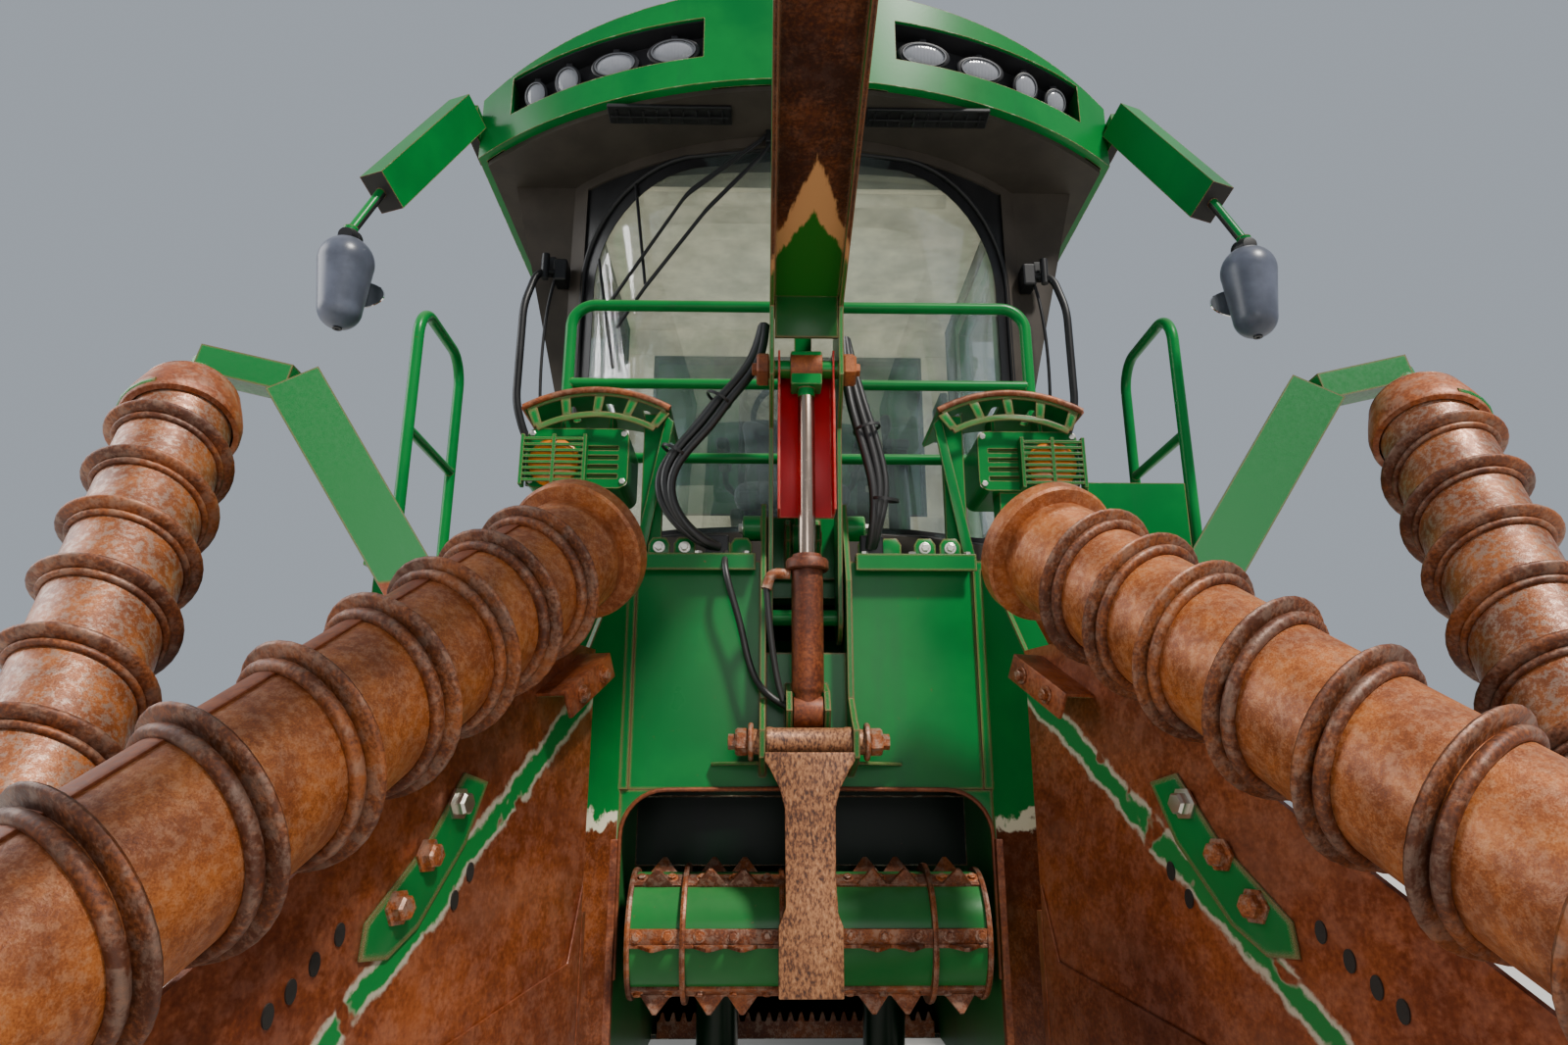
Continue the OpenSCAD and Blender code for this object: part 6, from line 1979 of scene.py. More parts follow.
@dataclass
class CabFront:
    """Windscreen seal and corners, wipers, vents, side rods with their latches, and the lamps in the roof."""

    screen_r: float = 1.286
    screen_y: float = 0.42
    screen_low: float = 1.905
    screen_high: float = 3.35
    corner: float = 0.4
    low_corner: float = 0.16
    border: float = 0.048
    half_w: float = 0.8
    roof_r: float = 1.825
    roof_y: float = 0.15
    recess_x: Pair = (0.33, 1.06)
    recess_z: Pair = (3.52, 3.68)
    recess_depth: float = 0.09

    def on_screen(self, x: float, z: float, off: float = 0.0) -> Vector:
        """A point on the windscreen's outer face, brought forward by off."""
        reach = self.screen_r - 0.02 + off
        return at(x, self.screen_y + self.screen_r - sqrt(reach ** 2 - x ** 2), z)

    def screen(self) -> None:
        """Black corner pieces that round the windscreen, its seal and the border printed on the glass."""
        w, low, high, r, low_r = self.half_w, self.screen_low, self.screen_high, self.corner, self.low_corner
        for name, z, s, radius in (("screen_top_corner", high, 1, r), ("screen_low_corner", low, -1, low_r)):
            curved, square = [], []
            for i in range(13):
                a = radians(90 * i / 12)
                curved.append((w - radius + radius * sin(a), z - s * radius * (1 - cos(a))))
                square.append((min(w, w - radius + 2 * radius * i / 12), z - s * max(0.0, radius * (2 * i / 12 - 1))))
            rows = [[self.on_screen(*corner, 0.006) for corner in line] for line in (curved, square)]
            fit_pair(Shop.sheet(name, rows, 0.01), Finishes.BLACK)
        loop = [(0.0, high)] + arc((w - r, high - r), r, 90, 0, 12)
        loop += [(w, low + 0.5)] + arc((w - low_r, low + low_r), low_r, 0, -90, 8)
        loop += [(0.4, low), (0.0, low)]
        fit_pair(Shop.pipe("screen_seal", [self.on_screen(x, z, 0.01) for x, z in loop], 0.011, sides=3),
                 Finishes.BLACK)
        inset = self.border
        tall = high - low
        inner = [(x * (w - inset) / w, low + inset * 0.6 + (z - low) * (tall - inset * 1.6) / tall) for x, z in loop]
        rows = [[self.on_screen(x, z, 0.005) for x, z in line] for line in (loop, inner)]
        fit_pair(Shop.sheet("screen_border", rows, 0.003), Finishes.BLACK)

    def wipers(self) -> None:
        """Two wipers that hang from the roof's middle, each with twin arms and a blade."""
        for i, (path, blade) in enumerate((
                (((-0.09, 3.392), (-0.157, 3.33), (-0.402, 3.16), (-0.613, 2.872), (-0.69, 2.775)),
                 ((-0.735, 3.02), (-0.655, 2.56))),
                (((-0.075, 3.392), (-0.121, 3.3), (-0.331, 3.08), (-0.541, 2.82), (-0.64, 2.69)),
                 ((-0.6, 3.3), (-0.545, 2.86))))):
            arms = [Shop.pipe(f"wiper_arm_{i}_{k}", [self.on_screen(x + 0.012 * k, z + 0.02 * k, 0.045) for x,
                                                     z in path], 0.0055, 0.03)
                    for k in range(2)]
            (xa, za), (xb, zb) = blade
            rubber = [self.on_screen(xa + (xb - xa) * t / 6, za + (zb - za) * t / 6, 0.012) for t in range(7)]
            spine = [self.on_screen(xa + (xb - xa) * t / 6, za + (zb - za) * t / 6, 0.026) for t in range(1, 6)]
            parts = arms + [Shop.pipe(f"wiper_blade_{i}", rubber, 0.006), Shop.pipe(f"wiper_spine_{i}", spine, 0.005)]
            parts.append(Shop.block(f"wiper_foot_{i}", (-0.115 + 0.03 * i, 0.385, 3.34),
                                    (-0.07 + 0.03 * i, 0.425, 3.392), 0.004))
            fit(Shop.join(f"wiper_{i}", parts), Finishes.BLACK)

    def vents(self) -> None:
        """Long slotted vents in the soffit."""
        parts = [Shop.block("vent_frame", (0.235, 0.262, 3.377), (0.665, 0.352, 3.392), 0.004)]
        for i in range(9):
            x = 0.262 + i * 0.046
            parts.append(Shop.block(f"vent_rib_{i}", (x, 0.276, 3.37), (x + 0.006, 0.338, 3.379), 0.0015))
        parts.append(Shop.block("vent_bar", (0.245, 0.303, 3.369), (0.655, 0.311, 3.379), 0.0015))
        fit_pair(Shop.join("roof_vent", parts), Finishes.BLACK)

    def on_roof(self, x: float, z: float, back: float) -> Vector:
        """A point behind the roof's bowed front by a depth."""
        reach = self.roof_r - back
        return at(x, self.roof_y + self.roof_r - sqrt(reach ** 2 - x ** 2), z)

    def recess(self) -> None:
        """Dark lining of the two lamp recesses."""
        (x0, x1), (z0, z1) = self.recess_x, self.recess_z
        cols = [x0 + 0.003 + (x1 - x0 - 0.006) * i / 14 for i in range(15)]
        z0, z1, deep = z0 + 0.004, z1 - 0.004, self.recess_depth - 0.004
        rows = [[self.on_roof(x, z, back) for x in cols] for z,
                back in ((z0, 0.01), (z0, deep), (z1, deep), (z1, 0.01))]
        fit_pair(Shop.sheet("lamp_recess", rows, 0.004, 30), Finishes.RECESS)

    def lamps(self, places: Sequence[tuple[float, float, float, float]]) -> None:
        """Round and oval lamps with housings, rims, reflectors and lenses.

        Args:
            places: x, z, half width and half height of each lamp on the left.
        """
        housings, rims, lenses = [], [], []
        for i, (x, z, a, b) in enumerate(places):
            back = self.on_roof(x, z, self.recess_depth - 0.004)
            matrix = aim_matrix(back, Vector((0.35 * x, -1.0, -0.22)), UP)
            shell = Shop.lathe(f"lamp_shell_{i}", [(0.3, -0.02), (0.42, 0.0), (0.86, 0.028), (1.0, 0.04), (1.0, 0.052),
                                                   (0.94, 0.056),
                                                   (0.82, 0.056), (0.79, 0.05), (0.55, 0.03), (0.3, 0.026)],
                                                   Matrix.Identity(4), steps=36)
            rim = Shop.lathe(f"lamp_rim_{i}", rectangle(0.79, 0.05, 0.84, 0.06), Matrix.Identity(4), steps=36)
            lens = Shop.lathe(f"lamp_lens_{i}", [(0.0, 0.061), (0.4, 0.06), (0.68, 0.057), (0.79, 0.053),
                                                 (0.79, 0.044), (0.0, 0.044)],
                              Matrix.Identity(4), steps=36)
            stretch = Matrix.Diagonal((b, a, 1.0, 1.0))
            for obj in (shell, rim, lens):
                obj.data.transform(matrix @ stretch)
            ear = Shop.block(f"lamp_ear_{i}", (x - 0.012, 0.0, z), (x + 0.012, 0.03, z + 0.04), 0.003)
            ear.data.transform(Matrix.Translation(matrix @ Vector((b * 0.9, 0, 0.03)) - at(x, 0.015, z + 0.02)))
            housings += [shell, ear]
            rims.append(rim)
            lenses.append(lens)
        fit_pair(Shop.join("lamp_housings", housings), Finishes.RECESS)
        fit_pair(Shop.join("lamp_rims", rims), Finishes.ENGINE)
        fit_pair(Shop.join("lamp_lenses", lenses), Finishes.LENS, "roof_lamps")

    def rods(self) -> None:
        """Bent black rods beside the windscreen, with latches at their ends and cables."""
        rod = [at(0.872, 0.7, 2.985), at(0.955, 0.64, 2.96), at(0.985, 0.6, 2.8), at(0.985, 0.6, 2.42),
               at(0.95, 0.62, 2.3), at(0.872, 0.7, 2.19)]
        parts = [Shop.pipe("side_rod", rod, 0.014, 0.05)]
        for name, z in (("high", 2.985), ("low", 2.18)):
            parts.append(Shop.block(f"latch_{name}", (0.855, 0.665, z - 0.045), (0.905, 0.745, z + 0.045), 0.008))
            parts.append(Shop.block(f"latch_tab_{name}", (0.9, 0.68, z - 0.02), (0.955, 0.7, z + 0.06), 0.005))
            parts.append(Shop.rod(f"latch_pin_{name}", at(0.93, 0.65, z - 0.05), at(0.93, 0.65, z + 0.05), 0.014))
        cable = [at(0.9, 0.68, 2.94), at(0.935, 0.66, 2.75), at(0.925, 0.66, 2.45), at(0.9, 0.68, 2.24)]
        parts.append(Shop.pipe("side_cable", cable, 0.006, smooth=True))
        fit_pair(Shop.join("side_rods", parts), Finishes.BLACK)

    def build(self) -> None:
        """Builds all of it."""
        self.screen()
        self.wipers()
        self.vents()
        self.recess()
        self.lamps(LAMPS)
        self.rods()


# x, z, half width and half height of the roof lamps on the left
LAMPS = ((0.43, 3.6, 0.095, 0.048), (0.64, 3.6, 0.09, 0.048), (0.82, 3.6, 0.052, 0.058), (0.95, 3.6, 0.048, 0.055))


@dataclass
class Pods:
    """What the lamp pods beside the windscreen carry, and what the mirrors carry."""

    arch: Pair = (0.59, 1.79)
    mirror: Triple = (1.425, 0.15, 2.78)

    def pods(self) -> None:
        """Amber lamps behind the louvres, lip and bolts of the arched cover, and the slanting strut."""
        fit_pair(Shop.lathe("pod_lamp", [(0.0, 0.03), (0.05, 0.028), (0.07, 0.016), (0.074, 0.0), (0.0, 0.0)],
                            aim_matrix(at(0.71, 0.044, 2.0), TO_FRONT, UP)), Finishes.AMBER)
        bars = [Shop.block(f"pod_bar_{i}", (0.625, 0.006, 1.935 + 0.0175 * i), (0.79, 0.012, 1.9435 + 0.0175 * i),
                           0.001) for i in range(8)]
        bars += [Shop.block(f"pod_post_{i}", (x, 0.005, 1.925), (x + 0.01, 0.04, 2.075), 0.001) for i,
                 x in enumerate((0.615, 0.702, 0.79))]
        fit_pair(Shop.join("pod_louvre", bars), Finishes.GREEN)
        mid, rims = self.arch, ((0.419, 0.399), (0.352, 0.334))
        band = [Shop.plate(f"arch_rim_{i}", arc(mid, a, 61, 119, 16) + arc(mid, b, 119, 61, 16), 0.008,
                           front_frame(0.006))
                for i, (a, b) in enumerate(rims)]
        for i, turn in enumerate((62.0, 76.0, 90.0, 104.0, 118.0)):
            low, high = arc(mid, 0.348, turn - 2.0, turn + 2.0, 1), arc(mid, 0.403, turn + 3.0, turn - 1.0, 1)
            band.append(Shop.plate(f"arch_rib_{i}", low + high, 0.008, front_frame(0.006)))
        fit_pair(Shop.join("arch_band", band), Finishes.WORN_GREEN)
        lip = [at(x, -0.004, z) for x, z in arc(mid, 0.416, 60, 120, 14)]
        fit_pair(Shop.pipe("pod_lip", lip, 0.009), Finishes.EDGE)
        side = [at(x, y, z) for x, y, z in ((0.797, 0.0, 2.15), (0.797, 0.28, 2.15))]
        fit_pair(Shop.pipe("pod_edge", side, 0.007), Finishes.EDGE)
        bolts = [(at(x, 0.043, z), TO_FRONT) for x, z in ((0.515, 1.945), (0.775, 1.945), (0.515, 2.088),
                                                          (0.775, 2.088))]
        bolts += [(at(mid[0] + 0.421 * cos(a), 0.05, mid[1] + 0.421 * sin(a)),
                   Vector((cos(a), 0, sin(a)))) for a in (1.15, 1.57, 1.99)]
        fit_pair(Bolts("pod_bolts", 0.009).build(bolts), Finishes.ZINC)
        strut = Shop.plate("pod_strut", [(0.395, 2.14), (0.372, 2.12), (0.442, 1.712), (0.475, 1.712)], 0.01,
                           front_frame(0.03))
        fit_pair(strut, Finishes.GREEN)

    def mirror_heads(self) -> None:
        """Neck, adjusting knob, drain and glass of each mirror."""
        x, y, top = self.mirror
        knob = [Shop.lathe("mirror_neck", [(0.0, 0.0), (0.03, 0.0), (0.034, 0.012), (0.022, 0.034), (0.0, 0.036)],
                           cross_frame(x, y, top) @ Matrix.Rotation(radians(-90), 4, "X"), steps=24),
                Shop.ball("mirror_ball", at(x + 0.004, y + 0.044, top + 0.02), 0.026, (1.0, 1.0, 1.25)),
                Shop.rod("mirror_screw", at(x + 0.004, y + 0.03, top - 0.03), at(x + 0.004, y + 0.06, top - 0.005),
                         0.012, 12, 0.001)]
        fit_pair(Shop.join("mirror_knob", knob), Finishes.BLACK)
        pane = Shop.lathe("mirror_glass", [(0.0, 0.0), (0.058, 0.0), (0.06, 0.003), (0.0, 0.004)],
                          aim_matrix(at(x, y + 0.072, 2.625), TO_REAR, UP) @ Matrix.Diagonal((0.85, 1.7, 1, 1)),
                          steps=36)
        fit_pair(pane, Finishes.SILVER)
        drain = Shop.lathe("mirror_drain", rectangle(0.006, 0.0, 0.014, 0.004),
                           aim_matrix(at(x, y, 2.471), Vector((0, 0, -1)), TO_REAR), steps=20)
        fit_pair(drain, Finishes.BLACK)

    def build(self) -> None:
        """Builds all of it."""
        self.pods()
        self.mirror_heads()


@dataclass
class CabInterior:
    """Seat, steering column, console, liner and blinds inside the cab."""

    half_w: float = 0.796
    floor: float = 1.86
    ceiling: float = 3.352
    back: float = 1.885
    cushion_inset: float = 0.018
    cloth_frames: int = 20
    pressure: float = 4.0

    def liner(self) -> None:
        """Pale panels on the inner walls, round the rear window, and a dark mat on the floor."""
        w, f, c, b = self.half_w, self.floor, self.ceiling, self.back
        panels = [Shop.block("liner_ceiling", (-w + 0.004, 0.7, c), (w - 0.004, b - 0.002, c + 0.016), 0.004),
                  Shop.block("liner_low", (-w + 0.004, b - 0.014, f + 0.004), (w - 0.004, b - 0.002, 2.385), 0.004),
                  Shop.block("liner_high", (-w + 0.004, b - 0.014, 3.215), (w - 0.004, b - 0.002, c), 0.004)]
        for s in (-1, 1):
            low, high = sorted((s * 0.665, s * (w - 0.004)))
            panels.append(Shop.block(f"liner_post_{s}", (low, b - 0.014, 2.385), (high, b - 0.002, 3.215), 0.004))
        low, high = -w + 0.002, -w + 0.014
        panels.append(Shop.block("liner_sill", (low, 0.78, f + 0.004), (high, b - 0.016, 1.985), 0.003))
        # The liner panels and the blind's roller glow faintly with painted light
        fit(Shop.join("cab_liner", panels), Finishes.LINER)
        fit(Shop.block("cab_mat", (-w + 0.016, 0.79, f + 0.001), (w - 0.016, b - 0.016, f + 0.009), 0.003),
            Finishes.BLACK)
        blind = Shop.lathe("blind_roller", rectangle(0.0, -0.58, 0.026, 0.58), cross_frame(0.0, 0.69, c - 0.045),
                           steps=20)
        fit(blind, Finishes.LINER)

    def cushion(self, name: str, low: Point, high: Point, crown: float) -> Piece:
        """A stuffed cushion: a smaller block that is blown up as cloth.

        Args:
            name: The piece's name.
            low: Lowest corner of the space it fills.
            high: Highest corner of the space it fills.
            crown: Farthest that a point may move when it is blown up.

        Returns:
            The cushion.
        """
        inset = self.cushion_inset
        obj = Shop.block(name, tuple(v + inset for v in low), tuple(v - inset for v in high), 0.03)
        Shop.apply(obj, "REMESH", mode="VOXEL", voxel_size=0.006)
        start = [vertex.co.copy() for vertex in obj.data.vertices]
        Shop.pick(obj)
        bpy.ops.object.modifier_add(type="CLOTH")
        cloth = obj.modifiers[-1]
        cloth.settings.use_pressure = True
        cloth.settings.uniform_pressure_force = self.pressure
        cloth.settings.effector_weights.gravity = 0.0
        cloth.point_cache.frame_start = 1
        cloth.point_cache.frame_end = self.cloth_frames
        scene = bpy.context.scene
        for frame_no in range(1, self.cloth_frames + 1):
            scene.frame_set(frame_no)
        bpy.ops.object.modifier_apply(modifier=cloth.name)
        scene.frame_set(1)
        for vertex, first in zip(obj.data.vertices, start):
            move = vertex.co - first
            if move.length > crown:
                vertex.co = first + move * (crown / move.length)
        Shop.apply(obj, "SUBSURF", levels=1, render_levels=1)
        Shop.pick(obj)
        bpy.ops.object.shade_smooth()
        return obj or obj

    def seat(self) -> None:
        """The operator's seat on its bellows base, with armrests."""
        f = self.floor
        base = [Shop.block("seat_base", (-0.175, 1.255, f), (0.175, 1.545, f + 0.06), 0.01),
                Shop.block("seat_pan", (-0.25, 1.13, f + 0.295), (0.25, 1.63, f + 0.34), 0.015),
                Shop.block("seat_shell", (-0.235, 1.655, f + 0.42), (0.235, 1.688, f + 1.13), 0.015)]
        for i in range(6):
            z = f + 0.06 + i * 0.04
            base.append(Shop.block(f"bellows_{i}", (-0.165, 1.265, z), (0.165, 1.535, z + 0.036), 0.014))
        for s in (-1, 1):
            low, high = sorted((s * 0.262, s * 0.318))
            base.append(Shop.block(f"armrest_{s}", (low, 1.25, f + 0.64), (high, 1.6, f + 0.69), 0.018))
            base.append(Shop.pipe(f"arm_bracket_{s}", [at(s * 0.235, 1.665, f + 0.56), at(s * 0.29, 1.64, f + 0.6),
                                                       at(s * 0.29, 1.58, f + 0.66)],
                                  0.014, 0.03))
        fit(Shop.join("seat_frame", base), Finishes.BLACK, "operator_seat")
        for name, low, high in (("seat_cushion", (-0.26, 1.12, f + 0.335), (0.26, 1.58, f + 0.47)),
                                ("back_cushion", (-0.245, 1.56, f + 0.48), (0.245, 1.665, f + 0.93)),
                                ("head_cushion", (-0.16, 1.57, f + 0.945), (0.16, 1.665, f + 1.14))):
            fit(self.cushion(name, low, high, 0.024), Finishes.CLOTH, "operator_seat")

    def controls(self) -> None:
        """Steering wheel on its column, pedals, side console with lever and a dark screen."""
        f = self.floor
        axis = Vector((0, 0.065, 0.21)).normalized()
        centre = at(0, 0.903, f + 0.72)
        matrix = aim_matrix(centre, axis, TO_REAR)
        rim = Shop.lathe("wheel_rim", arc((0.193, 0.0), 0.014, 0, 330, 11) + [(0.207, 0.0)], matrix, steps=64)
        parts = [rim, Shop.lathe("wheel_hub", [(0.0, -0.03), (0.045, -0.025), (0.05, 0.0), (0.04, 0.018),
                                               (0.0, 0.022)], matrix, steps=32)]
        for a in (90, 210, 330):
            out = Vector((cos(radians(a)), sin(radians(a)), 0))
            parts.append(Shop.rod(f"wheel_spoke_{a}", matrix @ (out * 0.04), matrix @ (out * 0.193), 0.011, 12, 0.002))
        parts.append(Shop.rod("column", at(0, 0.775, f + 0.03), centre - axis * 0.02, 0.04, 24, 0.004))
        parts.append(Shop.block("column_shroud", (-0.07, 0.77, f + 0.36), (0.07, 0.9, f + 0.6), 0.02))
        parts.append(Shop.block("column_foot", (-0.078, 0.702, f), (0.078, 0.828, f + 0.028), 0.006))
        for s in (-1, 1):
            parts.append(Shop.plate(f"pedal_{s}", [(0.0, 0.0), (0.0, 0.085), (0.01, 0.085), (0.01, 0.0)], 0.06,
                                    Matrix.Translation(at(s * 0.15 - 0.03, 0.8,
                                                          f + 0.04)) @ Matrix.Rotation(radians(-30), 4, "X")
                                    @ Matrix(((0, 0, 1), (1, 0, 0), (0, 1, 0))).to_4x4(), 0.002))
        box = [Shop.block("console_body", (0.305, 1.16, f), (0.475, 1.64, f + 0.61), 0.02),
               Shop.block("console_top", (0.3, 1.152, f + 0.61), (0.48, 1.648, f + 0.648), 0.012),
               Shop.rod("lever_stem", at(0.39, 1.24, f + 0.64), at(0.39, 1.23, f + 0.7), 0.012, 16, 0.002)]
        grip = Shop.ball("lever_grip", at(0.39, 1.225, f + 0.735), 0.028, (1.0, 1.1, 1.6))
        fit(Shop.join("cab_controls", parts + box + [grip]), Finishes.BLACK, "steering_console")
        screen = [Shop.block("screen_case", (0.545, 0.8, f + 0.56), (0.575, 0.985, f + 0.7), 0.008),
                  Shop.pipe("screen_stand", [at(0.56, 0.9, f + 0.57), at(0.6, 0.96, f + 0.45),
                                             at(0.64, 1.0, f + 0.01)], 0.013, 0.04)]
        fit(Shop.join("cab_screen", screen), Finishes.BLACK)

    def build(self) -> None:
        """Builds all of it."""
        self.liner()
        self.seat()
        self.controls()


@dataclass
class Wheels:
    """Beads, flanges, hub caps, nuts and valves of the four wheels."""

    track: float = 0.93

    def wheel(self, stem: str, y: float, radius: float, rim_r: float, width: float, nuts: int) -> None:
        """One axle's pair of wheels.

        Args:
            stem: front or rear.
            y: Where the axle is.
            radius: Radius of the tyre.
            rim_r: Radius of the rim.
            width: Width of the tyre.
            nuts: Number of wheel nuts.
        """
        x, z, half = self.track, radius, width / 2
        lie = cross_frame(x, y, z)
        body = f"{stem}_wheel_*"
        lip = 0.165 if stem == "front" else 0.25
        flange = [(rim_r - 0.014, lip - 0.06), (rim_r - 0.013, lip - 0.018), (rim_r - 0.004, lip + 0.002),
                  (rim_r + 0.01, lip + 0.008),
                  (rim_r + 0.014, lip + 0.014), (rim_r + 0.004, lip + 0.018), (rim_r - 0.012, lip + 0.01),
                  (rim_r - 0.024, lip - 0.012), (rim_r - 0.028, lip - 0.06)]
        dish = [(rim_r - 0.02, lip - 0.07), (rim_r - 0.04, lip - 0.078), (rim_r * 0.8, 0.03), (rim_r * 0.62, 0.012),
                (rim_r * 0.46, 0.01),
                (rim_r * 0.46, 0.016), (rim_r * 0.62, 0.02), (rim_r * 0.79, 0.038), (rim_r - 0.046, lip - 0.068),
                (rim_r - 0.02, lip - 0.06)]
        face = [Shop.lathe("flange", flange, lie, 72), Shop.lathe("dish", dish, lie, 72)]
        fit_pair(Shop.join(f"{stem}_rim_face", face), Finishes.YELLOW, body=body)
        cap_r = rim_r * 0.24
        hub = [(rim_r * 0.44, 0.04), (rim_r * 0.44, 0.052), (rim_r * 0.4, 0.06), (cap_r + 0.012, 0.062),
               (cap_r + 0.006, 0.1), (cap_r - 0.01, 0.114), (0.0, 0.118), (0.0, 0.04)]
        fit_pair(Shop.lathe(f"{stem}_hub_cap", hub, lie, 48), Finishes.GREEN, body=body)
        ring = [(lie @ Vector((u, v, 0.018)), TO_LEFT) for u, v in arc((0, 0), rim_r * 0.54, 0, 360, nuts)[:-1]]
        cover = [(lie @ Vector((u, v, 0.115)), TO_LEFT) for u, v in arc((0, 0), cap_r - 0.02, 0, 360, 6)[:-1]]
        nut_parts = [Bolts("nuts", 0.017 if stem == "rear" else 0.012).build(ring),
                     Bolts("cover_bolts", 0.008, washer=False).build(cover)]
        fit_pair(Shop.join(f"{stem}_wheel_nuts", nut_parts), Finishes.NUT, body=body)
        ends = [lie @ Vector((rim_r - inward, 0, lip - down)) for inward, down in ((0.04, 0.062), (0.05, 0.02))]
        valve = Shop.rod(f"{stem}_valve", *ends, 0.005, 12, 0.001)
        fit_pair(valve, Finishes.ZINC, body=body)
        beads = []
        for level, grow in ((rim_r + 0.03, 0.006), ((radius + rim_r) / 2 - 0.01, 0.004), (radius * 0.86, 0.005)):
            over = half * (0.97 if level < rim_r + 0.05 else 0.996)
            beads.append(Shop.lathe("bead", [(level - 0.01, over - 0.03), (level - 0.008, over + grow * 0.2),
                                             (level, over + grow * 0.4),
                                             (level + 0.008, over + grow * 0.2), (level + 0.01, over - 0.03)], lie,
                                             96))
        fit_pair(Shop.join(f"{stem}_tyre_beads", beads), Finishes.TYRE, body=body)

    def build(self) -> None:
        """Builds the wheels of both axles."""
        # Axle's y, tyre's radius, rim's radius, tyre's width and number of wheel nuts
        self.wheel("front", 0.7, 0.45, 0.2, 0.4, 8)
        self.wheel("rear", 3.6, 0.81, 0.318, 0.6, 10)


